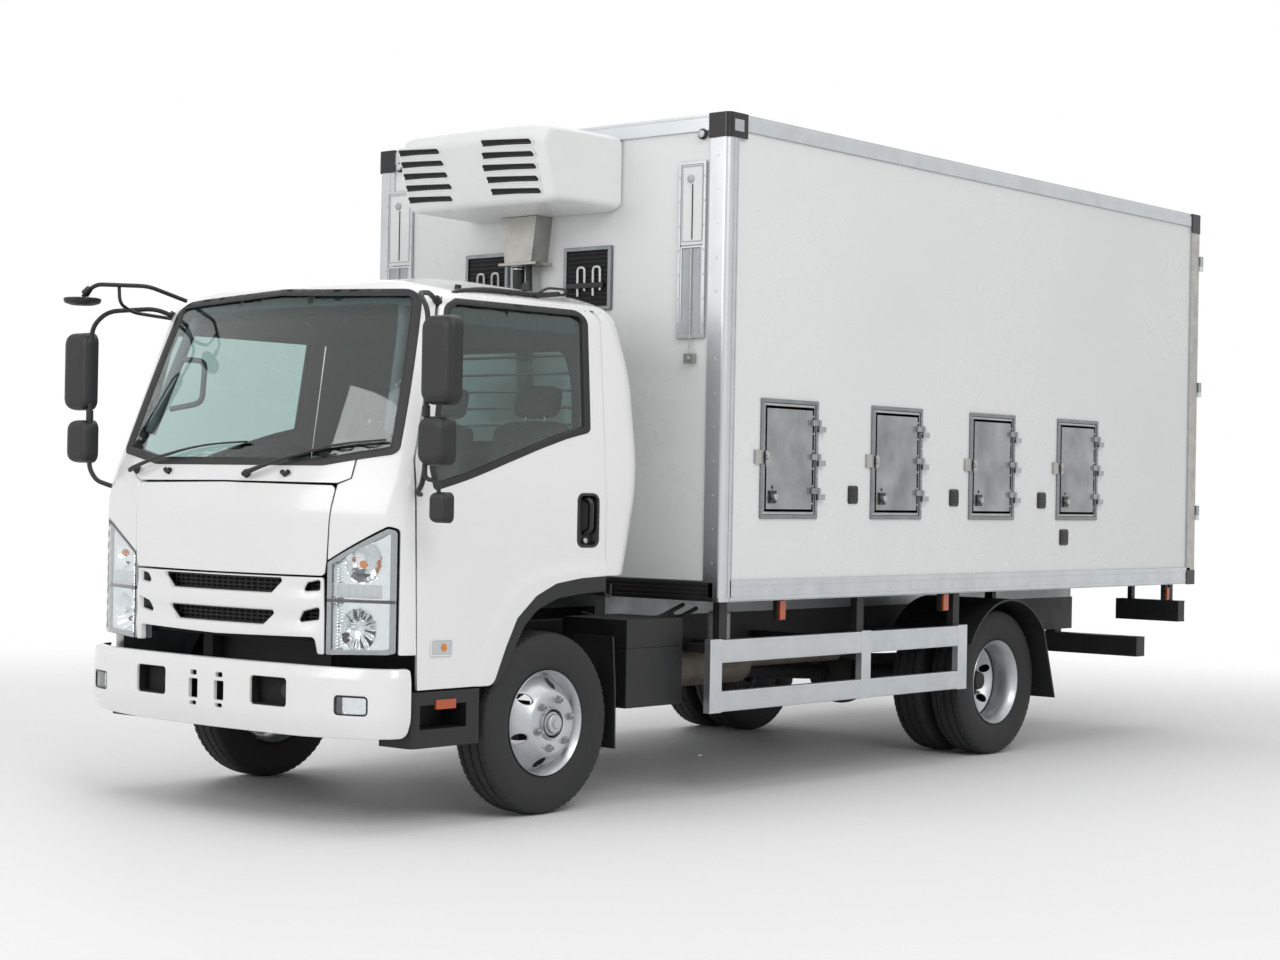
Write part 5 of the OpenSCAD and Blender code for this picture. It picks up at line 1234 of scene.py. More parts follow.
def bumper():
    """The painted bumper: a bent steel skin with its openings, fog lamps and a crease along its lower third."""
    plan = smooth([(0.0, -1.093), (0.3, -1.087), (0.62, -1.064), (0.82, -1.03), (0.945, -0.975), (1.004, -0.915),
        (1.01, -0.85)], 4)
    plan = np.array(plan)
    run = np.concatenate(([0], np.cumsum(np.linalg.norm(np.diff(plan, axis=0), axis=1))))
    low, high, crease = 0.377, 0.674, 0.468
    total = run[-1]

    def skin(uv, depth):
        uv = np.array(uv, float)
        s, z = np.abs(uv[:, 0]), uv[:, 1]
        x, y = np.interp(s, run, plan[:, 0]), np.interp(s, run, plan[:, 1])
        dx, dy = np.interp(s + 1e-3, run, plan[:, 0]) - np.interp(s - 1e-3, run, plan[:, 0]), np.interp(s + 1e-3, run,
            plan[:, 1]) - np.interp(s - 1e-3, run, plan[:, 1])
        size = np.maximum(np.hypot(dx, dy), 1e-9)
        nx, ny = dy / size, -dx / size
        tuck = 0.03 * np.clip((crease - z) / (crease - low), 0, 1) ** 1.3 + 0.012 * np.clip((z - 0.6) / 0.074, 0,
            1) ** 2
        tuck = tuck + 0.012 * np.clip((z - (high - 0.012)) / 0.012, 0, 1) ** 2
        lift = 0.03 * np.clip((s - 0.55) / 0.5, 0, 1) * np.clip((0.5 - z) / 0.12, 0, 1)
        d = depth + tuck
        return np.stack((np.sign(uv[:, 0]) * np.maximum(x - nx * d, 0), y - ny * d, z + lift * 0.4), 1)

    outline = dense(rounded([(-total, low, 0.03), (total, low, 0.03), (total, high, 0.012), (-total, high, 0.012)],
        6), 0.025)
    s = Shape()
    holes = []
    for way in (1, -1):
        holes.append(rect(way * 0.388 - 0.107, 0.495, way * 0.388 + 0.107, 0.615, 0.016))
        holes.append(rect(way * 0.835 - 0.08, 0.48, way * 0.835 + 0.078, 0.562, 0.018))
        for z0, z1, w in ((0.497, 0.578, 0.03), (0.594, 0.614, 0.022), (0.466, 0.482, 0.022)):
            holes.append(rect(way * 0.085 - w, z0, way * 0.085 + w, z1, 0.006))
    holes = [np.array(dense(h, 0.02)) for h in holes]
    panel(s, skin, outline, "cab_topcoat", holes=holes, step=0.024, thick=0.018, edge=0.004, back="chassis_enamel")
    for hole in holes[1::5]:
        panel(s, skin, inset(hole, -0.001), "gloss_black", holes=[inset(hole, 0.008)], step=0.02, level=0.002,
            thick=0.03, edge=0.002)
        panel(s, skin, inset(hole, 0.006), "reflector_chrome", step=0.012, level=0.03, thick=0.005, edge=0.001)
    # The openings' walls and the sheet behind each are painted shade
    for hole in holes[0::5]:
        panel(s, skin, inset(hole, -0.004), "shadow_black", holes=[inset(hole, 0.004)], step=0.02, level=0.012,
            thick=0.04, edge=0.002)
        panel(s, skin, inset(hole, -0.004), "shadow_black", step=0.05, level=0.06, thick=0.004, edge=0.001)
        mid = np.array(hole).mean(0)
        s.turned([(0.0, 0.03), (0.03, 0.03), (0.034, 0.026), (0.034, 0.001)],
            skin([(mid[0] + 0.05, mid[1])], 0.058)[0], "chassis_enamel", axis="y", steps=20)
    # A near-black sheet behind the whole skin is painted shade seen through the openings
    inner = [(-total * 0.92, low + 0.05), (total * 0.92, low + 0.05), (total * 0.92, high - 0.03),
        (-total * 0.92, high - 0.03)]
    panel(s, skin, dense(inner, 0.08), "shadow_black", step=0.08, level=0.075, thick=0.004, edge=0.002)
    s.make("bumper_skin", "root", replaces=["bumper"], slot="white_cab_paint", angle=40)
    g = Shape()
    for hole in holes[1::5]:
        panel(g, skin, inset(hole, 0.007), "lamp_lens", step=0.02, level=0.006, thick=0.004, edge=0.002)
    g.make("fog_lamp_lenses", "root", slot="lamp_lens", angle=60)


# ---- Mirrors ---------------------------------------------------------------


def pod(shape, centre, size, finish_name, tilt=0.0, round_by=0.03, rows=9):
    """A mirror's housing: a rounded box, fuller in front, open to its glass at the back."""
    x, y, z = centre
    w, d, h = size
    loops = []
    outline = np.array(dense(rect(-w / 2, -h / 2, w / 2, h / 2, min(w, h) * 0.26, 8), 0.02))
    for k in range(rows):
        t = k / (rows - 1)
        grow = math.sqrt(max(0.0, 1 - (1 - t) ** 2.6))
        shrink_by = 1 - (1 - grow) * 0.32 if t > 0 else 0.55
        loops.append([(x + p[0] * shrink_by + tilt * (t - 0.5) * d, y - d / 2 + t * d,
            z + p[1] * (1 - (1 - shrink_by) * min(1, w / h))) for p in outline])
    shape.loft(loops, finish_name, end=False)
    rim = [(x + p[0] * 0.95 + tilt * 0.5 * d, y + d / 2 - 0.008, z + p[1] * 0.97) for p in outline]
    shape.loft([loops[-1], [(a, y + d / 2, c) for a, _, c in rim], rim], finish_name, start=False, end=False)
    shape.loft([rim], "mirror_silver", start=False, end=True)


def mirrors():
    """Side mirrors on their tubes, the round mirror over the far corner and the bar along the door's top."""
    s = Shape()
    for way in (1, -1):
        m = Shape()
        pod(m, (1.19, -0.9, 1.928), (0.186, 0.07, 0.362), "moulded_black")
        pod(m, (1.17, -0.9, 1.602), (0.168, 0.07, 0.2), "moulded_black")
        m.bent([(0.868, -0.6, 2.19), (0.905, -0.69, 2.225), (1.03, -0.868, 2.205), (1.11, -0.895, 2.135),
            (1.112, -0.897, 1.52), (1.105, -0.895, 1.47),
                (1.075, -0.88, 1.42), (1.01, -0.84, 1.395), (0.99, -0.8, 1.385)], 0.011, "moulded_black", 0.05, 10)
        m.tube([(1.112, -0.897, 1.745), (1.112, -0.897, 1.7)], 0.017, "moulded_black", 12)
        m.tube([(0.862, -0.575, 2.175), (0.88, -0.625, 2.205)], [0.02, 0.018], "moulded_black", 12)
        if way > 0:
            pod(m, (1.178, -0.872, 1.335), (0.104, 0.05, 0.125), "moulded_black")
            m.bent([(1.112, -0.897, 1.5), (1.112, -0.897, 1.45), (1.175, -0.885, 1.44), (1.175, -0.88, 1.395)], 0.009,
                "moulded_black", 0.03, 10)
        base = len(s.verts)
        s.verts += [(way * a, b, c) for a, b, c in m.verts]
        s.faces += [tuple(base + i for i in (f if way > 0 else f[::-1])) for f in m.faces]
        s.finish += m.finish
    disc = [(-0.018, 0.004), (-0.016, 0.052), (-0.008, 0.078), (0.004, 0.085), (0.014, 0.084), (0.016, 0.078)]
    s.turned([(d, r) for d, r in disc], (-1.03, -1.01, 2.24), "moulded_black", axis="z", steps=40)
    s.turned([(0.0155, 0.079), (0.0125, 0.04), (0.012, 0.0005)], (-1.03, -1.01, 2.24), "mirror_silver", axis="z",
        steps=40)
    s.bent([(-0.78, -0.61, 2.262), (-0.82, -0.8, 2.318), (-0.955, -0.985, 2.318), (-1.000, -1.000, 2.292),
        (-1.025, -1.01, 2.262)], 0.01, "moulded_black", 0.04, 10)
    s.bent([(-0.905, -0.9, 2.315), (-0.905, -0.895, 2.235), (-0.93, -0.8, 2.2), (-0.866, -0.6, 2.18)], 0.008,
        "moulded_black", 0.04, 10)
    s.tube([(-0.99, -1.0, 2.3), (-1.015, -1.007, 2.275)], [0.016, 0.02], "moulded_black", 12)
    s.bent([(0.862, -0.58, 2.18), (0.862, -0.5, 2.246), (0.806, -0.262, 2.276), (0.8, 0.101, 2.278),
        (0.74, 0.285, 2.3)], 0.012, "moulded_black", 0.08, 12)
    s.bent([(0.8, 0.09, 2.288), (0.8, 0.15, 2.315), (0.775, 0.3, 2.32), (0.74, 0.335, 2.3), (0.76, 0.23, 2.29),
        (0.795, 0.12, 2.288)], 0.006, "black_hose", 0.05, 8)
    for y in (-0.42, -0.1, 0.07):
        s.tube([(0.8, y, 2.245), (0.806, y, 2.284)], [0.016, 0.014], "moulded_black", 12)
    s.tube([(0.62, 0.2, 2.315), (0.62, 0.2, 2.34), (0.62, 0.205, 2.352)], [0.022, 0.018, 0.006], "moulded_black", 12)
    s.make("cab_mirrors", "cab", replaces=["mirrors"], slot="black_plastic", bevel=0.0, angle=45)


# ---- Inside the cab --------------------------------------------------------


def crown(x0, x1, profile, bulge, steps=18):
    """A cushion's body: a side profile of (y, z) drawn across x, its ends pulled in and its middle full."""
    middle = np.mean(profile, 0)
    loops = []
    for k in range(steps + 1):
        t = 2 * k / steps - 1
        pull = 1 - 0.16 * abs(t) ** 6
        full = 1 + bulge * (1 - t * t)
        loops.append([(x0 + (x1 - x0) * (t + 1) / 2, middle[0] + (p[0] - middle[0]) * pull * full,
            middle[1] + (p[1] - middle[1]) * pull * full) for p in profile])
    return loops


def puffed(piece, cap, frames=16):
    """The cushion blown up a little by cloth simulation, its result kept in the mesh."""
    remesh = piece.modifiers.new("even", "REMESH")
    remesh.mode, remesh.voxel_size = "VOXEL", 0.013
    bpy.context.view_layer.update()
    graph = bpy.context.evaluated_depsgraph_get()
    even = bpy.data.meshes.new_from_object(piece.evaluated_get(graph))
    piece.modifiers.clear()
    materials = list(piece.data.materials)
    piece.data = even
    even.materials.clear()
    for m in materials:
        even.materials.append(m)
    before = np.array([v.co for v in even.vertices])
    cloth = piece.modifiers.new("puff", "CLOTH")
    cloth.settings.use_pressure = True
    cloth.settings.uniform_pressure_force = 4.0
    cloth.settings.effector_weights.gravity = 0
    cloth.point_cache.frame_start, cloth.point_cache.frame_end = 1, frames
    scene = bpy.context.scene
    for f in range(1, frames + 1):
        scene.frame_set(f)
    after = bpy.data.meshes.new_from_object(piece.evaluated_get(bpy.context.evaluated_depsgraph_get()))
    piece.modifiers.clear()
    move = np.array([v.co for v in after.vertices]) - before
    length = np.linalg.norm(move, axis=1, keepdims=True)
    move *= np.minimum(1, cap / np.maximum(length, 1e-9))
    even.vertices.foreach_set("co", (before + move).ravel())
    even.update()
    even.shade_smooth()
    bpy.data.meshes.remove(after)
    scene.frame_set(1)
    finer = piece.modifiers.new("smooth", "SUBSURF")
    finer.levels = finer.render_levels = 1


def seats():
    """Driver's seat and the double seat beside it, in cloth, under their clear covers."""
    plans = (("driver", 0.5, 0.5), ("passenger", -0.32, 0.9))
    for name, middle, width in plans:
        x0, x1 = middle - width / 2 + 0.014, middle + width / 2 - 0.014
        base = rounded([(-0.235, 1.228, 0.03), (0.3, 1.228, 0.04), (0.3, 1.305, 0.03), (-0.2, 1.342, 0.05),
            (-0.245, 1.3, 0.03)], 4)
        back = rounded([(0.262, 1.335, 0.03), (0.335, 1.315, 0.03), (0.425, 1.7, 0.05), (0.405, 1.735, 0.03),
            (0.365, 1.725, 0.04)], 4)
        for part, profile in (("cushion", base), ("backrest", back)):
            s = Shape()
            s.loft(crown(x0, x1, dense(profile, 0.03), 0.05, 20), "seat_cloth")
            piece = s.make(f"{name}_seat_{part}", "cab", replaces=["seats"] if (name, part) == ("driver", "cushion")
                else (), slot="seat_fabric")
            piece.modifiers.clear()
            puffed(piece, 0.008)
        for x in ((middle,) if name == "driver" else (-0.55, -0.1)):
            s = Shape()
            head = rounded([(0.372, 1.752, 0.04), (0.432, 1.745, 0.03), (0.462, 1.885, 0.03), (0.415, 1.893, 0.04)],
                5)
            s.loft(crown(x - 0.125, x + 0.125, dense(head, 0.02), 0.06, 16), "seat_cloth")
            piece = s.make(f"{name}_headrest_{'a' if x > -0.3 else 'b'}", "cab", slot="seat_fabric")
    frame_bars = Shape()
    for x in (0.44, 0.56, -0.61, -0.49, -0.16, -0.04):
        frame_bars.tube([(x, 0.398, 1.69), (x, 0.412, 1.79)], 0.006, "zinc_plate", 8)
    for x0, x1 in ((0.28, 0.72), (-0.74, 0.1)):
        frame_bars.box((x0, -0.2, 1.06), (x1, 0.28, 1.222), "moulded_black")
    frame_bars.make("seat_bases", "cab", bevel=0.01, slot="black_plastic")


def dashboard():
    """The moulded dashboard with its binnacle and vents, the grab handle and the lining over the windscreen."""
    s = Shape()
    rows = [(-0.66, 1.245), (-0.64, 1.41), (-0.66, 1.455), (-0.72, 1.478), (-0.82, 1.47), (-0.895, 1.425),
        (-0.905, 1.36), (-0.9, 1.1), (-0.75, 1.06)]
    loops = []
    for x in np.linspace(-0.9, 0.9, 61):
        swell = 0.045 * math.exp(-((x - 0.46) / 0.2) ** 2) + 0.012 * math.exp(-((x + 0.1) / 0.25) ** 2)
        bend = 0.1 * x * x
        loops.append([(x, y + bend * (1 if y < -0.7 else 0.5), z + swell * max(0.0, min(1.0, (z - 1.38) / 0.08)))
            for y, z in smooth(rows, 2, closed=True)])
    s.loft(loops, "dash_abs")
    for x in (-0.72, -0.14, 0.12, 0.74):
        s.box((x - 0.06, -0.662, 1.34), (x + 0.06, -0.628, 1.4), "moulded_black")
        for z in (1.352, 1.364, 1.376, 1.388):
            s.box((x - 0.055, -0.634, z), (x + 0.055, -0.622, z + 0.004), "gloss_black")
    s.make("dashboard_moulding", "cab", replaces=["dashboard"], slot="grey_plastic", angle=40)
    h = Shape()
    handle = [CAB.at("F", x, z, d) for x, z,
        d in ((-0.7, 1.98, 0.03), (-0.68, 1.975, 0.1), (-0.66, 1.78, 0.13), (-0.72, 1.75, 0.05))]
    h.bent(handle, 0.013, "dash_abs", 0.04, 12)
    for way in (1, -1):
        rail = [CAB.at("F", way * x, z, 0.05) for x,
            z in ((0.845, 1.64), (0.82, 1.8), (0.795, 1.96), (0.772, 2.1), (0.745, 2.2))]
        h.tube(smooth(rail, 2), 0.024, "cab_lining", 12)
    h.tube([CAB.at("F", x, 2.262, 0.06) for x in np.linspace(-0.7, 0.7, 24)], 0.026, "cab_lining", 12)
    for x in (-0.42, 0.44):
        h.tube([CAB.at("F", x - 0.22, 2.205, 0.07), CAB.at("F", x + 0.22, 2.205, 0.07)], 0.011, "cab_lining", 10)
    h.box((-0.09, -0.6, 2.17), (0.09, -0.575, 2.225), "moulded_black")
    h.tube([(0, -0.56, 2.21), (0, -0.53, 2.27)], 0.008, "moulded_black", 8)
    h.box((0.9, 0.3, 1.45), (0.925, 0.36, 2.05), "moulded_black")
    h.make("cab_inner_fittings", "cab", bevel=0.004, slot="grey_plastic")


def steering_wheel():
    """The steering wheel: a thick rim, two spokes and a soft hub."""
    j = JOINTS["steering_wheel_turn"]
    axis = Vector(j["axis"]).normalized()
    axis = axis if axis.z > 0 else -axis
    centre = Vector(j["pos_m"]) - Vector((0, FRONT_Y, 0))
    a = axis.cross(Vector((1, 0, 0))).normalized()
    b = axis.cross(a)
    s = Shape()

    def at(r, turn, lift):
        return centre + a * (r * math.cos(turn)) + b * (r * math.sin(turn)) + axis * lift

    ring = [at(0.196, 2 * math.pi * k / 64, 0.0) for k in range(64)]
    loops = []
    for k in range(64):
        t = 2 * math.pi * k / 64
        out = (at(1, t, 0) - centre).normalized()
        loops.append([ring[k] + out * (0.0135 * math.cos(q)) + axis * (0.0145 * math.sin(q))
            for q in (2 * math.pi * i / 14 for i in range(14))])
    s.loft(loops, "moulded_black", close=True)
    for turn in (0.25, math.pi - 0.25, -math.pi / 2 - 0.3, -math.pi / 2 + 0.3):
        path = [at(0.03, turn, -0.022), at(0.09, turn, -0.02), at(0.15, turn, -0.008), at(0.19, turn, -0.002)]
        s.tube([tuple(p) for p in path], [0.018, 0.015, 0.011, 0.009], "moulded_black", 10)
    hub = []
    for lift, r in ((-0.05, 0.045), (-0.035, 0.072), (-0.015, 0.078), (-0.004, 0.07), (0.002, 0.045), (0.003, 0.002)):
        hub.append([tuple(at(r * (1 + 0.1 * math.cos(2 * q)), q, lift))
            for q in (2 * math.pi * i / 32 for i in range(32))])
    s.loft(hub, "dash_abs")
    s.tube([tuple(at(0, 0, -0.045)), tuple(at(0, 0, -0.1))], 0.026, "moulded_black", 16)
    s.make("steering_wheel_rim", "steering", replaces=["steering_wheel"], slot="black_plastic")


# ---- Box -------------------------------------------------------------------

BOX_FRONT, BOX_BACK, HALF_W, BOX_LOW, BOX_TOP = 0.97, 5.69, 1.17, 0.908, 3.183
HATCHES = [1.485 + 0.918 * k for k in range(4)]


def rivets(shape, points, way, finish_name="aluminium_upright"):
    r = bpy.context.scene.truck_sizes.rivet_radius
    for p in points:
        shape.stud(p, way, r, r * 0.55, finish_name, 8)


def span(a, b, pitch):
    count = max(2, round((b - a) / pitch))
    return [a + (b - a) * (k + 0.5) / count for k in range(count)]


def box_trim():
    """Rounded corner posts and rails over the box's edges, with ribs, rivets and corner caps."""
    pitch = bpy.context.scene.truck_sizes.rivet_pitch
    s = Shape()
    w, t = HALF_W, 0.0035
    post = [(w + t, BOX_FRONT + 0.075, 0.001), (w + t, BOX_FRONT - t, 0.03), (w - 0.075, BOX_FRONT - t, 0.001),
        (w - 0.075, BOX_FRONT + 0.002, 0), (w - 0.002, BOX_FRONT + 0.002, 0.026), (w - 0.002, BOX_FRONT + 0.075, 0)]
    s.prism(rounded(post, 8), "z", BOX_LOW + 0.02, BOX_TOP - 0.02, "aluminium_upright")
    for y in (BOX_FRONT + 0.04, BOX_FRONT + 0.066):
        s.prism(rect(w + t - 0.001, y, w + t + 0.003, y + 0.005, 0.001), "z", BOX_LOW + 0.02, BOX_TOP - 0.1,
            "aluminium_upright")
    rear = [(w + t, BOX_BACK - 0.105, 0.001), (w + t, BOX_BACK + t, 0.01), (w - 0.055, BOX_BACK + t, 0.001),
        (w - 0.055, BOX_BACK - 0.002, 0), (w - 0.002, BOX_BACK - 0.002, 0.008), (w - 0.002, BOX_BACK - 0.105, 0)]
    s.prism(rounded(rear, 6), "z", BOX_LOW + 0.02, BOX_TOP - 0.02, "brushed_stainless")
    for z in span(BOX_LOW + 0.1, BOX_TOP - 0.12, pitch):
        rivets(s, [(w + t, BOX_FRONT + 0.055, z)], (1, 0, 0))
        rivets(s, [(w - 0.058, BOX_FRONT - t, z)], (0, -1, 0))
        rivets(s, [(w + t, BOX_BACK - 0.085, z)], (1, 0, 0))
    s.both()
    for way in (1, -1):
        top = [(way * (w + t), BOX_TOP - 0.078, 0.001), (way * (w + t), BOX_TOP - 0.001, 0.02),
            (way * (w - 0.06), BOX_TOP - 0.001, 0.001), (way * (w - 0.06), BOX_TOP - 0.004, 0),
            (way * (w - 0.002), BOX_TOP - 0.004, 0.016), (way * (w - 0.002), BOX_TOP - 0.078, 0)]
        s.prism(rounded(top, 7), "y", BOX_FRONT + 0.06, BOX_BACK - 0.06, "aluminium_lengthwise")
        low = [(way * (w + t), BOX_LOW, 0.008), (way * (w + t), BOX_LOW + 0.1, 0.001),
            (way * (w - 0.002), BOX_LOW + 0.1, 0), (way * (w - 0.002), BOX_LOW, 0)]
        s.prism(rounded(low, 5), "y", BOX_FRONT + 0.06, BOX_BACK - 0.06, "aluminium_lengthwise")
        for z in (BOX_LOW + 0.022, BOX_LOW + 0.072):
            x = way * (w + t)
            s.prism(rect(x - 0.001, z, x + 0.003, z + 0.006, 0.001) if way > 0
                else rect(x - 0.003, z, x + 0.001, z + 0.006, 0.001), "y", BOX_FRONT + 0.08, BOX_BACK - 0.11,
                "aluminium_lengthwise")
        for y in span(BOX_FRONT + 0.12, BOX_BACK - 0.12, pitch * 1.2):
            rivets(s, [(way * (w + t), y, BOX_TOP - 0.06), (way * (w + t), y, BOX_LOW + 0.048)], (way, 0, 0))
    front = [(BOX_FRONT - t, BOX_TOP - 0.078, 0.001), (BOX_FRONT - t, BOX_TOP - 0.001, 0.02),
        (BOX_FRONT + 0.06, BOX_TOP - 0.001, 0.001), (BOX_FRONT + 0.06, BOX_TOP - 0.004, 0),
        (BOX_FRONT + 0.002, BOX_TOP - 0.004, 0.016), (BOX_FRONT + 0.002, BOX_TOP - 0.078, 0)]
    s.prism(rounded(front, 7), "x", -w + 0.05, w - 0.05, "aluminium_crosswise")
    # The front sill and its ribs are black chassis enamel; the black also stands for the shade the sill lies in
    # behind the cab, so it is partly painted shade
    s.prism(rect(BOX_FRONT - t, BOX_LOW, BOX_FRONT + 0.01, BOX_LOW + 0.09, 0.002), "x", -w + 0.05, w - 0.05,
        "chassis_enamel")
    for z in (0.925, 0.945, 0.965, 0.985):
        s.prism(rect(BOX_FRONT - t - 0.004, z - 0.004, BOX_FRONT - t + 0.001, z + 0.004, 0.0015), "x", -w + 0.08,
            w - 0.08, "chassis_enamel")
    s.make("box_edge_trim", "root", slot="aluminium", angle=35)
    c = Shape()
    for way in (1, -1):
        for y0, y1, face in ((BOX_FRONT - 0.009, BOX_FRONT + 0.135, -1), (BOX_BACK - 0.11, BOX_BACK + 0.009, 1)):
            for z0, z1 in ((BOX_TOP - 0.115, BOX_TOP + 0.001), (BOX_LOW - 0.004, BOX_LOW + 0.085)):
                if face < 0 and z0 < 2:
                    continue
                x0, x1 = (w - 0.115, w + 0.009) if face < 0 else (w - 0.06, w + 0.009)
                plan = rounded([(x1, y0, 0.028 if face < 0 else 0.004), (x1, y1, 0.004 if face < 0 else 0.02),
                    (x1 - 0.006, y1, 0), (x1 - 0.006, y0 + 0.006 if face < 0 else y0, 0.02 if face < 0 else 0),
                                (x0, y0 + 0.006, 0), (x0, y0, 0.002)] if face < 0
                                else [(x1, y0, 0.004), (x1, y1, 0.02), (x0, y1, 0.004), (x0, y1 - 0.006, 0),
                                (x1 - 0.006, y1 - 0.006, 0.014), (x1 - 0.006, y0, 0)], 6)
                c.prism([(way * p[0], p[1]) for p in plan], "z", z0, z1, "gloss_black")
        c.prism(rect(way * (w - 0.055) - 0.055, BOX_FRONT + 0.0, way * (w - 0.055) + 0.055, BOX_FRONT + 0.12, 0.02),
            "z", BOX_TOP - 0.003, BOX_TOP + 0.001, "gloss_black")
        c.box(*sorted_box((way * (w + 0.009), BOX_FRONT + 0.03, BOX_TOP - 0.085),
            (way * (w + 0.0105), BOX_FRONT + 0.1, BOX_TOP - 0.03)), "grey_pvc")
    c.make("box_corner_caps", "root", bevel=0.003, slot="black_plastic")


def sorted_box(a, b):
    return tuple(min(p, q) for p, q in zip(a, b)), tuple(max(p, q) for p, q in zip(a, b))


def frame_on(shape, axis, face, way, u0, v0, u1, v1, width, proud, finish_name, r=0.004, sunk=0.002):
    """A mitred rectangular frame lying on a wall. The wall's face is at face, and way points out of it."""
    outer = np.array(rounded([(u0, v0, r), (u1, v0, r), (u1, v1, r), (u0, v1, r)], 3))
    inner = np.array(rounded([(u0 + width, v0 + width, r / 2), (u1 - width, v0 + width, r / 2),
        (u1 - width, v1 - width, r / 2), (u0 + width, v1 - width, r / 2)], 3))
    lay = (lambda p, d: (face + way * d, p[0], p[1])) if axis == "x" else (lambda p, d: (p[0], face + way * d, p[1]))
    middle = (outer + inner) / 2
    loops = [[lay(p, -sunk) for p in outer], [lay(p, proud * 0.7) for p in outer],
        [lay(p, proud) for p in outer * 0.85 + middle * 0.15],
             [lay(p, proud) for p in inner * 0.85 + middle * 0.15], [lay(p, proud * 0.7) for p in inner],
             [lay(p, -sunk) for p in inner]]
    shape.loft(loops, finish_name, start=False, end=False)


def lock(shape, at, way, size, finish_name="gloss_black"):
    """A quarter-turn lock: a squat housing with a slotted barrel."""
    x, y, z = at
    w, h = size
    sx = 1 if way[0] > 0 else -1
    if abs(way[0]) > 0:
        shape.box(*sorted_box((x, y - w / 2, z - h / 2), (x + sx * 0.014, y + w / 2, z + h / 2)), finish_name)
        shape.turned([(0.0, w * 0.34), (sx * 0.022, w * 0.3), (sx * 0.024, 0.001)], (x + sx * 0.01, y, z),
            "zinc_plate", axis="x", steps=14)
    else:
        shape.box((x - w / 2, y - 0.014, z - h / 2), (x + w / 2, y, z + h / 2), finish_name)
        shape.turned([(0.0, w * 0.34), (-0.022, w * 0.3), (-0.024, 0.001)], (x, y - 0.01, z), "zinc_plate", axis="y",
            steps=14)


def box_front():
    """The front wall's two tall hatches with their latches, the strapped vents, the marker lamps and the hose to the unit."""
    face = BOX_FRONT + 0.002
    s = Shape()
    for x0, x1 in ((0.88, 1.044), (-1.106, -0.915)):
        frame_on(s, "y", face, -1, x0, 2.135, x1, 2.965, 0.014, 0.012, "aluminium_upright")
        s.box((x0 + 0.014, face - 0.006, 2.575), (x1 - 0.014, face, 2.952), "panel_gelcoat")
        frame_on(s, "y", face - 0.006, -1, x0 + 0.02, 2.59, x1 - 0.02, 2.945, 0.004, 0.003, "grey_pvc")
        s.box((x0 + 0.022, face - 0.003, 2.15), (x1 - 0.022, face, 2.56), "grey_pvc")
        frame_on(s, "y", face, -1, x0 + 0.014, 2.145, x1 - 0.014, 2.57, 0.01, 0.009, "aluminium_upright")
        mid = (x0 + x1) / 2
        s.tube([(mid, face - 0.01, 2.56), (mid, face - 0.012, 2.1), (mid, face - 0.016, 2.07)], 0.004, "zinc_plate",
            8)
        s.tube([(mid, face - 0.008, 2.86), (mid, face - 0.008, 2.6)], 0.003, "black_hose", 6)
        s.turned([(0.0, 0.02), (-0.008, 0.019), (-0.012, 0.012), (-0.013, 0.001)], (mid - 0.01, face - 0.006, 2.885),
            "grey_pvc", axis="y", steps=20)
        s.box((mid - 0.028, face - 0.02, 2.018), (mid + 0.032, face, 2.064), "brushed_stainless")
        s.turned([(0.0, 0.012), (-0.012, 0.01), (-0.013, 0.001)], (mid, face - 0.018, 2.04), "zinc_plate", axis="y",
            steps=14)
        rivets(s, [(x0 + 0.007, face - 0.012, z) for z in span(2.15, 2.95, 0.11)] + [(x1 - 0.007, face - 0.012, z)
            for z in span(2.15, 2.95, 0.11)], (0, -1, 0), "zinc_plate")
    s.make("front_wall_hatches", "root", bevel=0.0015, slot="aluminium")
    v = Shape()
    for x0, x1 in ((-0.516, -0.22), (0.158, 0.464)):
        frame_on(v, "y", face, -1, x0, 2.29, x1, 2.6, 0.02, 0.014, "grey_anodised_frame")
        # The near-black box behind the slats is painted shade
        v.box((x0 + 0.02, face - 0.003, 2.31), (x1 - 0.02, face + 0.001, 2.58), "shadow_black")
        for z in np.arange(2.325, 2.575, 0.022):
            v.box((x0 + 0.022, face - 0.007, z), (x1 - 0.022, face - 0.002, z + 0.006), "moulded_black")
        mid = (x0 + x1) / 2
        for d in (-0.055, 0.045):
            v.bent([(mid + d, face - 0.016, 2.36), (mid + d, face - 0.018, 2.5), (mid + d + 0.045, face - 0.018, 2.5),
                (mid + d + 0.045, face - 0.016, 2.385)], 0.006, "white_strap", 0.02, 8)
        v.box((x0 + 0.03, face - 0.024, 2.398), (x1 - 0.04, face - 0.01, 2.424), "gloss_black")
    for x in (1.015, -1.015):
        v.turned([(0.0, 0.026), (-0.01, 0.026), (-0.016, 0.02)], (x, face, 3.09), "moulded_black", axis="y", steps=20)
        v.turned([(0.0, 0.019), (-0.008, 0.016), (-0.012, 0.001)], (x, face - 0.013, 3.09), "white_lens", axis="y",
            steps=20)
    v.make("front_wall_vents", "root", bevel=0.0015, slot="black_plastic")
    d = Shape()
    d.bent([(-0.09, 0.905, 2.56), (-0.088, 0.9, 2.45), (-0.085, 0.905, 2.36), (-0.085, 0.93, 2.2),
        (-0.08, 0.94, 1.8)], 0.03, "black_hose", 0.06, 14)
    d.bent([(-0.03, 0.91, 2.56), (-0.028, 0.92, 2.3), (-0.03, 0.94, 1.8)], 0.015, "black_hose", 0.06, 10)
    for z in (2.5, 2.515):
        d.turned([(0.0, 0.034), (0.008, 0.034)], (-0.089, 0.902, z), "zinc_plate", axis="z", steps=20)
    d.box((-0.182, 0.852, 2.52), (0.068, 0.97, 2.534), "brushed_stainless")
    d.make("unit_hoses", "root", bevel=0.0015, slot="black_plastic")


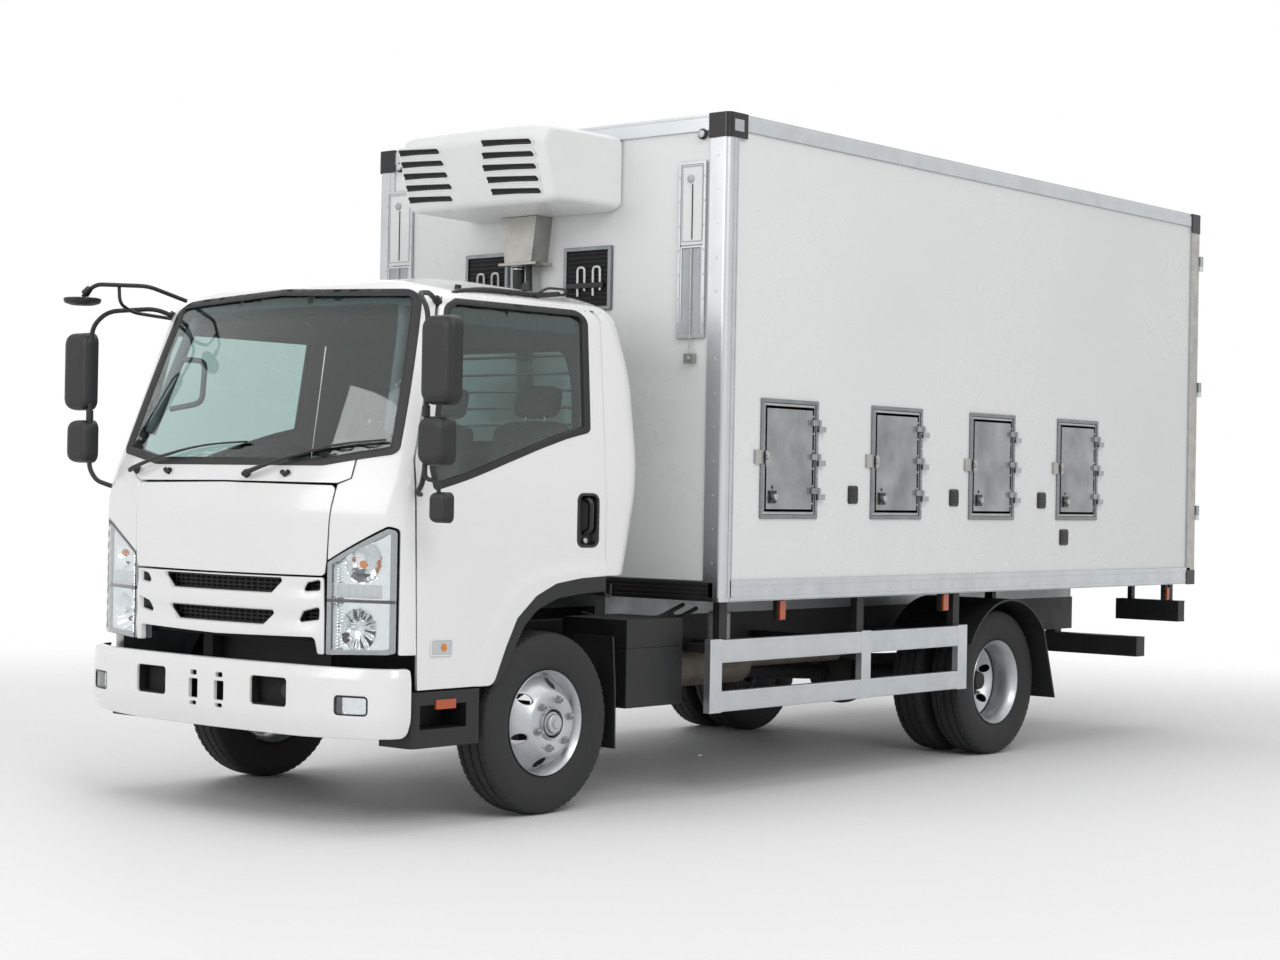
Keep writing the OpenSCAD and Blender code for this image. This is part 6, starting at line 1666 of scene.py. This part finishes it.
def side_hatches():
    """Frames on the side walls, and on each leaf its inner frame, hinge strip, latch and pull."""
    wall = 1.162
    fixed = Shape()
    for way in (1, -1):
        for y in HATCHES:
            y0, y1, z0, z1 = y - 0.2165, y + 0.2165, 1.309, 1.855
            frame_on(fixed, "x", way * wall, way, y0 - 0.013, z0 - 0.013, y1 + 0.013, z1 + 0.013, 0.02, 0.01,
                "grey_anodised_frame")
            rivets(fixed, [(way * (wall + 0.01), y1 + 0.004, z) for z in span(z0, z1, 0.075)], (way, 0, 0),
                "zinc_plate")
            fixed.box(*sorted_box((way * wall, y0 - 0.06, 1.555), (way * (wall + 0.012), y0 - 0.012, 1.62)),
                "brushed_stainless")
            rivets(fixed, [(way * (wall + 0.012), y0 - 0.048, 1.568), (way * (wall + 0.012), y0 - 0.048, 1.607)],
                (way, 0, 0), "zinc_plate")
        for y0, y1, z0, z1 in ((1.98, 2.062, 1.372, 1.462), (2.905, 2.99, 1.366, 1.456), (3.805, 3.892, 1.36, 1.45),
            (4.056, 4.146, 1.154, 1.244)):
            mid_z = (z0 + z1) / 2
            outline = rect(y0, z0, y1, z1, 0.012, 4)
            small = rect(y0 + 0.008, z0 + 0.008, y1 - 0.008, z1 - 0.008, 0.01, 4)
            fixed.loft([[(way * (wall - 0.002), *p) for p in outline], [(way * (wall + 0.006), *p) for p in outline],
                [(way * (wall + 0.012), *p) for p in small]], "gloss_black", start=False)
            for k in range(4):
                z = mid_z - 0.024 + k * 0.016
                fixed.box(*sorted_box((way * (wall + 0.011), y0 + 0.016, z - 0.003),
                    (way * (wall + 0.015), y1 - 0.016, z + 0.003)), "moulded_black")
    fixed.make("side_hatch_surrounds", "root", bevel=0.0008, slot="aluminium")
    for side, way in SIDES.items():
        for k, y in enumerate(HATCHES, 1):
            s = Shape()
            face = way * 1.162
            y0, y1, z0, z1 = y - 0.197, y + 0.197, 1.328, 1.836
            frame_on(s, "x", face, way, y0, z0, y1, z1, 0.016, 0.006, "grey_pvc")
            frame_on(s, "x", face, way, y0 + 0.018, z0 + 0.018, y1 - 0.018, z1 - 0.018, 0.008, 0.003,
                "hatch_powder_coat")
            s.box(*sorted_box((face, y0 - 0.004, 1.558), (face + way * 0.016, y0 + 0.026, 1.616)),
                "brushed_stainless")
            s.tube([(face + way * 0.016, y0 + 0.006, 1.572), (face + way * 0.026, y0 + 0.004, 1.588),
                (face + way * 0.016, y0 + 0.006, 1.602)], 0.0035, "zinc_plate", 8)
            lock(s, (face, y0 + 0.062, 1.4), (way, 0, 0), (0.052, 0.06))
            s.stud((face, y0 + 0.062, 1.446), (way, 0, 0), 0.012, 0.01, "gloss_black", 14)
            rivets(s, [(face + way * 0.006, y1 - 0.008, z) for z in span(z0, z1, 0.085)], (way, 0, 0), "zinc_plate")
            s.make(f"hatch_{side}_{k}_fittings", f"hatch_{side}_{k}", bevel=0.0008, slot="aluminium")


def rear_doors():
    """On each rear door: its two lock rods with cams and guides, a lever, hinge straps and the rubber round its edge."""
    back = BOX_BACK
    for side, way in SIDES.items():
        s = Shape()
        face = back
        for x in (0.22, 0.72):
            s.tube([(way * x, face + 0.012, 1.03), (way * x, face + 0.012, 3.08)], 0.01, "zinc_plate", 12)
            for z in (1.1, 1.6, 2.1, 2.6, 3.00):
                s.box(*sorted_box((way * (x - 0.03), face - 0.002, z - 0.022),
                    (way * (x + 0.03), face + 0.006, z + 0.022)), "zinc_plate")
                s.tube([(way * x, face + 0.012, z - 0.012), (way * x, face + 0.012, z + 0.012)], 0.0155, "zinc_plate",
                    14)
                for d in (-0.022, 0.022):
                    s.stud((way * (x + d), face + 0.006, z), (0, 1, 0), 0.006, 0.004, "zinc_plate", 8)
            s.bent([(way * x, face + 0.018, 1.5), (way * (x + 0.05), face + 0.022, 1.5),
                (way * (x + 0.21), face + 0.022, 1.47)], 0.009, "zinc_plate", 0.02, 10)
            s.box(*sorted_box((way * (x + 0.14), face, 1.44), (way * (x + 0.24), face + 0.016, 1.455)), "zinc_plate")
        s.box(*sorted_box((way * 0.1, face - 0.001, 1.22), (way * 0.16, face + 0.004, 1.34)), "grey_pvc")
        outline = rect(0.012, 1.02, 1.106, 3.1, 0.03, 5)
        inner = rect(0.03, 1.038, 1.088, 3.082, 0.02, 5)
        s.loft([[(way * p[0], face - 0.001, p[1]) for p in outline],
            [(way * p[0], face + 0.005, p[1]) for p in outline], [(way * p[0], face + 0.005, p[1]) for p in inner],
                [(way * p[0], face - 0.001, p[1]) for p in inner]], "seal_rubber", start=False, end=False)
        s.make(f"rear_door_{side}_gear", f"rear_door_{side}", bevel=0.001, slot="stainless_steel")


def cooling_unit():
    """The refrigeration unit: a rounded wedge of moulded shell with two groups of slanted louvres."""
    x_half, front, back, low, top = 0.515, 0.402, 0.968, 2.76, 3.131

    def side_profile(t):
        """Half width at a share of the depth, narrowing a little to the front."""
        return x_half * (1 - 0.05 * (1 - t) ** 2)

    outline = rounded([(back, low, 0.004), (front + 0.095, low + 0.004, 0.05), (front, top - 0.075, 0.045),
        (front + 0.05, top, 0.05), (back, top, 0.004)], 10)
    outline = dense(outline, 0.018)
    s = Shape()
    loops = []
    for t in np.concatenate((np.linspace(0, 0.1, 8), np.linspace(0.1, 0.9, 41)[1:-1], np.linspace(0.9, 1.0, 8))):
        d = min(t, 1 - t) / 0.1
        shrunk = 0.04 * (1 - math.sqrt(max(0.0, 1 - (1 - min(1, d)) ** 2)))
        ring = []
        for y, z in outline:
            cy, cz = (front + back) / 2 + 0.05, (low + top) / 2
            gy = (1 - shrunk / 0.26) if y < back - 0.01 else 1
            gz = 1 - shrunk / 0.19
            depth = (y - front) / (back - front)
            x = (t * 2 - 1) * side_profile(depth)
            bow = 0.018 * (2 * t - 1) ** 2 * (1 if y < back - 0.01 else 0)
            ring.append((x, cy + (y - cy) * gy + bow * (1 - depth), cz + (z - cz) * gz))
        loops.append(ring)
    s.loft(loops, "unit_abs")
    s.box((-0.2, front + 0.1, top - 0.012), (0.06, front + 0.115, top - 0.0005), "grey_pvc")
    s.make("unit_cover", "root", replaces=["refrigeration_unit"], slot="white_unit_plastic", angle=40)
    # Louvres lie in the slanted front face: a slot filled with painted shade, with a lip under it
    a, b = np.array((front, top - 0.075)), np.array((front + 0.095, low + 0.004))
    across = np.array((b - a)) / np.linalg.norm(b - a)
    out = np.array((-across[1], across[0])) if -across[1] < 0 else np.array((across[1], -across[0]))
    v = Shape()
    rows = 5
    for group, (x0, x1) in enumerate(((-0.455, -0.1), (0.065, 0.44))):
        for k in range(rows):
            left = x0 + (0.0 if group == 0 else 0.03 + 0.012 * abs(k - 2))
            right = x1 - (0.02 + 0.012 * abs(k - 3) if group == 0 else 0.0)
            m = a + (b - a) * (0.06 + 0.19 * k)
            height = 0.03
            slot = rounded([(left, -height / 2 - 0.012, 0.008), (right - 0.02, -height / 2 + 0.004, 0.008),
                (right, height / 2, 0.008), (left + 0.015, height / 2 - 0.014, 0.008)], 4)

            def lay(points, lift):
                res = []
                for px, pv in points:
                    q = m + across * pv
                    bow = 0.018 * (px / x_half) ** 2
                    res.append((px, q[0] + out[0] * lift + bow, q[1] + out[1] * lift))
                return res

            slot = np.array(dense(slot, 0.03))
            v.loft([lay(slot, 0.002), lay(inset(slot, -0.004), 0.004), lay(inset(slot, -0.009), 0.0015)], "unit_abs",
                start=False, end=False)
            v.loft([lay(slot, 0.003)], "shadow_black", start=False)
            v.loft([lay([(left + 0.01, 0.004), (right - 0.01, 0.01), (right - 0.012, 0.003), (left + 0.012, -0.003)],
                0.0045)], "moulded_black", start=False)
    v.make("unit_louvres", "root", weld=False, slot="black_plastic")


def underbody():
    """Side guards of extruded rails, flaps, reflectors, number plates left bare and small tanks and cables."""
    for way, side in ((1, "left"), (-1, "right")):
        s = Shape()
        x0, x1 = 1.1, 1.135
        for z0, z1 in ((0.394, 0.49), (0.622, 0.73)):
            profile = rounded([(x0, z0, 0.003), (x1, z0, 0.004), (x1, z1, 0.004), (x0, z1, 0.003)], 3)
            s.prism([(way * p[0], p[1]) for p in profile], "y", 0.945, 3.145, "aluminium_lengthwise")
            for z in (z0 + 0.01, z1 - 0.014):
                s.prism([(way * p[0], p[1]) for p in rect(x1 - 0.001, z, x1 + 0.0015, z + 0.004, 0.0008)], "y", 0.95,
                    3.14, "aluminium_lengthwise")
        for y0, y1 in ((0.942, 1.03), (2.165, 2.245), (3.06, 3.148)):
            s.prism([(way * p[0], p[1]) for p in rect(x0 - 0.002, y0, x1 + 0.003, y1, 0.004)], "z", 0.392, 0.734,
                "aluminium_upright")
        s.make(f"side_guard_{side}", "root", replaces=["side_guards"] if way > 0 else (), slot="aluminium")
        d = Shape()
        for y in (1.085, 2.205, 3.1):
            d.box(*sorted_box((way * 0.44, y - 0.03, 0.66), (way * 1.098, y + 0.03, 0.7)), "chassis_enamel")
            d.box(*sorted_box((way * 1.055, y - 0.03, 0.66), (way * 1.095, y + 0.03, 0.905)), "chassis_enamel")
        d.prism([(p[0], p[1]) for p in rounded([(0.438, 0.255, 0.002), (0.448, 0.255, 0.002), (0.444, 0.52, 0.2),
            (0.425, 0.76, 0.002), (0.415, 0.76, 0.002), (0.434, 0.52, 0.2)], 4)], "x", way * 0.76, way * 0.992,
            "moulded_black")
        for y0, y1, z0, z1, x in ((1.481, 1.524, 0.81, 0.902, 1.12), (2.919, 2.968, 0.815, 0.902, 1.12),
            (5.42, 5.448, 0.812, 0.886, 1.12)):
            d.box(*sorted_box((way * x, y0, z0), (way * (x + 0.012), y1, z1)), "amber_lens")
            d.box(*sorted_box((way * (x - 0.03), y0 - 0.006, z0 - 0.004), (way * (x - 0.0005), y1 + 0.006, 0.906)),
                "chassis_enamel")
        d.box(*sorted_box((way * 0.99, -0.7, 0.5), (way * 1.004, -0.585, 0.54)), "amber_lens")
        d.turned([(0.0, 0.055), (0.12, 0.055), (0.13, 0.045)], (way * 0.9, 1.3, 0.715), "pale_bottle", axis="z",
            steps=24)
        d.tube([(way * 0.9, 1.3, 0.84), (way * 0.9, 1.3, 0.872)], 0.022, "moulded_black", 16)
        for y, z in ((0.62, 0.8), (0.7, 0.84), (0.8, 0.82)):
            d.bent([(way * 0.55, y, z), (way * 0.75, y + 0.05, z - 0.06), (way * 0.86, y + 0.18, z - 0.02),
                (way * 0.84, y + 0.4, z + 0.04)], 0.011, "black_hose", 0.08, 8)
        d.make(f"underbody_fittings_{side}", "root", bevel=0.002, slot="black_plastic")
    p = Shape()
    p.box((-0.26, 5.392, 0.47), (0.26, 5.396, 0.575), "panel_gelcoat")
    for x in (0.72, 0.9, 1.04):
        for way in (1, -1):
            p.turned([(0.0, 0.05), (0.01, 0.048), (0.014, 0.03), (0.015, 0.001)],
                (way * (x if x < 1 else 1.03), 5.67, 0.736), "red_lens" if x < 1 else "amber_lens", axis="y",
                steps=24)
    for z0, z1 in ((0.672, 0.684), (0.788, 0.8)):
        for way in (1, -1):
            p.box(*sorted_box((way * 0.69, 5.668, z0), (way * 1.12, 5.674, z1)), "moulded_black")
    p.make("rear_lamp_lenses", "root", bevel=0.001, slot="red_lens")


# ---- CAD pieces that keep their shape ---------------------------------------

KEPT = {
    "chassis_frame": "chassis_enamel", "front_axle": "cast_iron", "rear_axle": "cast_iron",
    "leaf_springs": "cast_iron",
    "propeller_shaft": "cast_iron", "engine_block": "cast_iron", "cab_steps": "moulded_black",
    "fuel_tank": "chassis_enamel",
    "battery_box": "moulded_black", "exhaust": "exhaust_steel", "side_guards": "aluminium_lengthwise",
    "rear_mudguards": "moulded_black",
    "underrun_bar": "chassis_enamel", "rear_lamps": "moulded_black", "box_floor": "deck_plate",
    "box_front_wall": "panel_gelcoat",
    "box_side_walls": "panel_gelcoat", "box_roof": "panel_gelcoat", "box_rails": "aluminium_lengthwise",
    "unit_duct": "brushed_stainless",
    "knuckle_left": "cast_iron", "knuckle_right": "cast_iron", "rear_door_left": "panel_gelcoat",
    "rear_door_right": "panel_gelcoat",
    **{f"hatch_{side}_{k}": "hatch_powder_coat" for side in SIDES for k in (1, 2, 3, 4)},
}


# ---- Sizes and colours a user may change ------------------------------------


def paint(name, label, text):
    return FloatVectorProperty(name=label, description=text, subtype="COLOR", size=3, min=0, max=1,
        default=srgb(FINISHES[name]["base"])[:3])


class TruckSizes(bpy.types.PropertyGroup):
    """Sizes of the fine detail and the studio."""

    tread_blocks: IntProperty(name="Tread blocks", description="Shoulder blocks round each tyre", default=64, min=24,
        max=120)
    rivet_radius: FloatProperty(name="Rivet radius", description="Radius of the blind rivets on the box's rails",
        default=0.0055, min=0.002, max=0.01, unit="LENGTH")
    rivet_pitch: FloatProperty(name="Rivet pitch", description="Distance between rivets along a rail", default=0.16,
        min=0.05, max=0.5, unit="LENGTH")
    lens_mm: FloatProperty(name="Lens", description="Focal length of the camera in millimetres", default=65.0, min=20,
        max=200)
    key_light: FloatProperty(name="Key lamp", description="Power of the main softbox", default=430.0, min=0,
        subtype="POWER")
    fill_light: FloatProperty(name="Fill", description="Strength of the even light from all round", default=0.42,
        min=0, max=2, subtype="FACTOR")


class TruckColours(bpy.types.PropertyGroup):
    """Colours of the painted and moulded pieces."""

    cab_topcoat: paint("cab_topcoat", "Cab paint", "Colour of the cab's topcoat")
    panel_gelcoat: paint("panel_gelcoat", "Box panels", "Colour of the box's outer skin")
    hatch_powder_coat: paint("hatch_powder_coat", "Hatches", "Colour of the hatch leaves")
    unit_abs: paint("unit_abs", "Refrigeration unit", "Colour of the unit's cover")
    wheel_enamel: paint("wheel_enamel", "Wheels", "Colour of the wheel enamel")


# ---- Operators --------------------------------------------------------------

class TruckStep:
    """What every step shares: it can be undone."""

    bl_options = {"REGISTER", "UNDO"}


class TRUCK_OT_cad_pieces(TruckStep, bpy.types.Operator):
    """Give every CAD piece that keeps its shape its own material"""

    bl_idname = "truck.cad_pieces"
    bl_label = "Finish the CAD pieces"

    def execute(self, context):
        for name, look in KEPT.items():
            dress(name, look)
        return {"FINISHED"}


class TRUCK_OT_cab_shell(TruckStep, bpy.types.Operator):
    """Build the cab's painted shell and its floor"""

    bl_idname = "truck.cab_shell"
    bl_label = "Cab shell"

    def execute(self, context):
        cab_shell()
        return {"FINISHED"}


class TRUCK_OT_cab_front(TruckStep, bpy.types.Operator):
    """Build the panels under the windscreen and the grille"""

    bl_idname = "truck.cab_front"
    bl_label = "Front panels"

    def execute(self, context):
        cab_front()
        return {"FINISHED"}


class TRUCK_OT_glazing(TruckStep, bpy.types.Operator):
    """Build the windscreen, the rear window and their seals"""

    bl_idname = "truck.glazing"
    bl_label = "Windscreen and rear window"

    def execute(self, context):
        glazing()
        return {"FINISHED"}


class TRUCK_OT_wipers(TruckStep, bpy.types.Operator):
    """Build the windscreen wipers and washer jets"""

    bl_idname = "truck.wipers"
    bl_label = "Wipers"

    def execute(self, context):
        wipers()
        return {"FINISHED"}


class TRUCK_OT_headlamps(TruckStep, bpy.types.Operator):
    """Build both headlamp clusters"""

    bl_idname = "truck.headlamps"
    bl_label = "Headlamps"

    def execute(self, context):
        for side in SIDES:
            headlamp(side)
        return {"FINISHED"}


class TRUCK_OT_cab_doors(TruckStep, bpy.types.Operator):
    """Build both cab doors with their glass, trim and handles"""

    bl_idname = "truck.cab_doors"
    bl_label = "Cab doors"

    def execute(self, context):
        for side in SIDES:
            cab_door(side)
        return {"FINISHED"}


class TRUCK_OT_mirrors(TruckStep, bpy.types.Operator):
    """Build the mirrors and their tubes"""

    bl_idname = "truck.mirrors"
    bl_label = "Mirrors"

    def execute(self, context):
        mirrors()
        return {"FINISHED"}


class TRUCK_OT_bumper(TruckStep, bpy.types.Operator):
    """Build the bumper and its fog lamps"""

    bl_idname = "truck.bumper"
    bl_label = "Bumper"

    def execute(self, context):
        bumper()
        return {"FINISHED"}


class TRUCK_OT_seats(TruckStep, bpy.types.Operator):
    """Build the seats and their cushions"""

    bl_idname = "truck.seats"
    bl_label = "Seats"

    def execute(self, context):
        seats()
        return {"FINISHED"}


class TRUCK_OT_dashboard(TruckStep, bpy.types.Operator):
    """Build the dashboard and the cab's inner fittings"""

    bl_idname = "truck.dashboard"
    bl_label = "Dashboard"

    def execute(self, context):
        dashboard()
        return {"FINISHED"}


class TRUCK_OT_steering_wheel(TruckStep, bpy.types.Operator):
    """Build the steering wheel"""

    bl_idname = "truck.steering_wheel"
    bl_label = "Steering wheel"

    def execute(self, context):
        steering_wheel()
        return {"FINISHED"}


class TRUCK_OT_front_wheels(TruckStep, bpy.types.Operator):
    """Build both front wheels"""

    bl_idname = "truck.front_wheels"
    bl_label = "Front wheels"

    def execute(self, context):
        for side in SIDES:
            front_wheel(side)
        return {"FINISHED"}


class TRUCK_OT_rear_wheels(TruckStep, bpy.types.Operator):
    """Build the twin rear wheels"""

    bl_idname = "truck.rear_wheels"
    bl_label = "Rear wheels"

    def execute(self, context):
        for side in SIDES:
            rear_wheel(side)
        return {"FINISHED"}


class TRUCK_OT_box_trim(TruckStep, bpy.types.Operator):
    """Build the box's rails, corner caps and rivets"""

    bl_idname = "truck.box_trim"
    bl_label = "Box rails"

    def execute(self, context):
        box_trim()
        return {"FINISHED"}


class TRUCK_OT_box_front(TruckStep, bpy.types.Operator):
    """Build the front wall's tall hatches, vents and lamps"""

    bl_idname = "truck.box_front"
    bl_label = "Box front wall"

    def execute(self, context):
        box_front()
        return {"FINISHED"}


class TRUCK_OT_side_hatches(TruckStep, bpy.types.Operator):
    """Build the frames, hinges and latches of the side hatches"""

    bl_idname = "truck.side_hatches"
    bl_label = "Side hatches"

    def execute(self, context):
        side_hatches()
        return {"FINISHED"}


class TRUCK_OT_rear_doors(TruckStep, bpy.types.Operator):
    """Build the rear doors' rods, handles and seals"""

    bl_idname = "truck.rear_doors"
    bl_label = "Rear doors"

    def execute(self, context):
        rear_doors()
        return {"FINISHED"}


class TRUCK_OT_cooling_unit(TruckStep, bpy.types.Operator):
    """Build the refrigeration unit over the cab"""

    bl_idname = "truck.cooling_unit"
    bl_label = "Refrigeration unit"

    def execute(self, context):
        cooling_unit()
        return {"FINISHED"}


class TRUCK_OT_underbody(TruckStep, bpy.types.Operator):
    """Build the side guards, flaps, reflectors and small fittings below the box"""

    bl_idname = "truck.underbody"
    bl_label = "Underbody"

    def execute(self, context):
        underbody()
        return {"FINISHED"}


class TRUCK_OT_stage(TruckStep, bpy.types.Operator):
    """Build the floor, the lamps and the camera"""

    bl_idname = "truck.stage"
    bl_label = "Studio"

    def execute(self, context):
        stage()
        return {"FINISHED"}


OPERATORS = (
    TRUCK_OT_stage,
    TRUCK_OT_cad_pieces,
    TRUCK_OT_cab_shell,
    TRUCK_OT_cab_front,
    TRUCK_OT_glazing,
    TRUCK_OT_wipers,
    TRUCK_OT_headlamps,
    TRUCK_OT_cab_doors,
    TRUCK_OT_mirrors,
    TRUCK_OT_bumper,
    TRUCK_OT_seats,
    TRUCK_OT_dashboard,
    TRUCK_OT_steering_wheel,
    TRUCK_OT_front_wheels,
    TRUCK_OT_rear_wheels,
    TRUCK_OT_box_trim,
    TRUCK_OT_box_front,
    TRUCK_OT_side_hatches,
    TRUCK_OT_rear_doors,
    TRUCK_OT_cooling_unit,
    TRUCK_OT_underbody,
)


class TRUCK_PT_panel(bpy.types.Panel):
    """Lists every step, and the sizes and colours that they use"""

    bl_idname = "TRUCK_PT_panel"
    bl_label = "Refrigerated truck"
    bl_space_type = "VIEW_3D"
    bl_region_type = "UI"
    bl_category = "Truck"

    def draw(self, context):
        layout = self.layout
        for group in (context.scene.truck_sizes, context.scene.truck_colours):
            box = layout.box()
            for name in group.__annotations__:
                box.prop(group, name)
        column = layout.column(align=True)
        for operator in OPERATORS:
            column.operator(operator.bl_idname)


CLASSES = (TruckSizes, TruckColours, *OPERATORS, TRUCK_PT_panel)


def register():
    for made in CLASSES:
        bpy.utils.register_class(made)
    bpy.types.Scene.truck_sizes = PointerProperty(type=TruckSizes)
    bpy.types.Scene.truck_colours = PointerProperty(type=TruckColours)


def unregister():
    del bpy.types.Scene.truck_colours
    del bpy.types.Scene.truck_sizes
    for made in reversed(CLASSES):
        bpy.utils.unregister_class(made)


def main():
    """Builds everything in order."""
    register()
    for operator in OPERATORS:
        family, step = operator.bl_idname.split(".")
        if getattr(getattr(bpy.ops, family), step)() != {"FINISHED"}:
            raise RuntimeError(f"{operator.bl_label} did not finish")


if __name__ == "__main__":
    main()
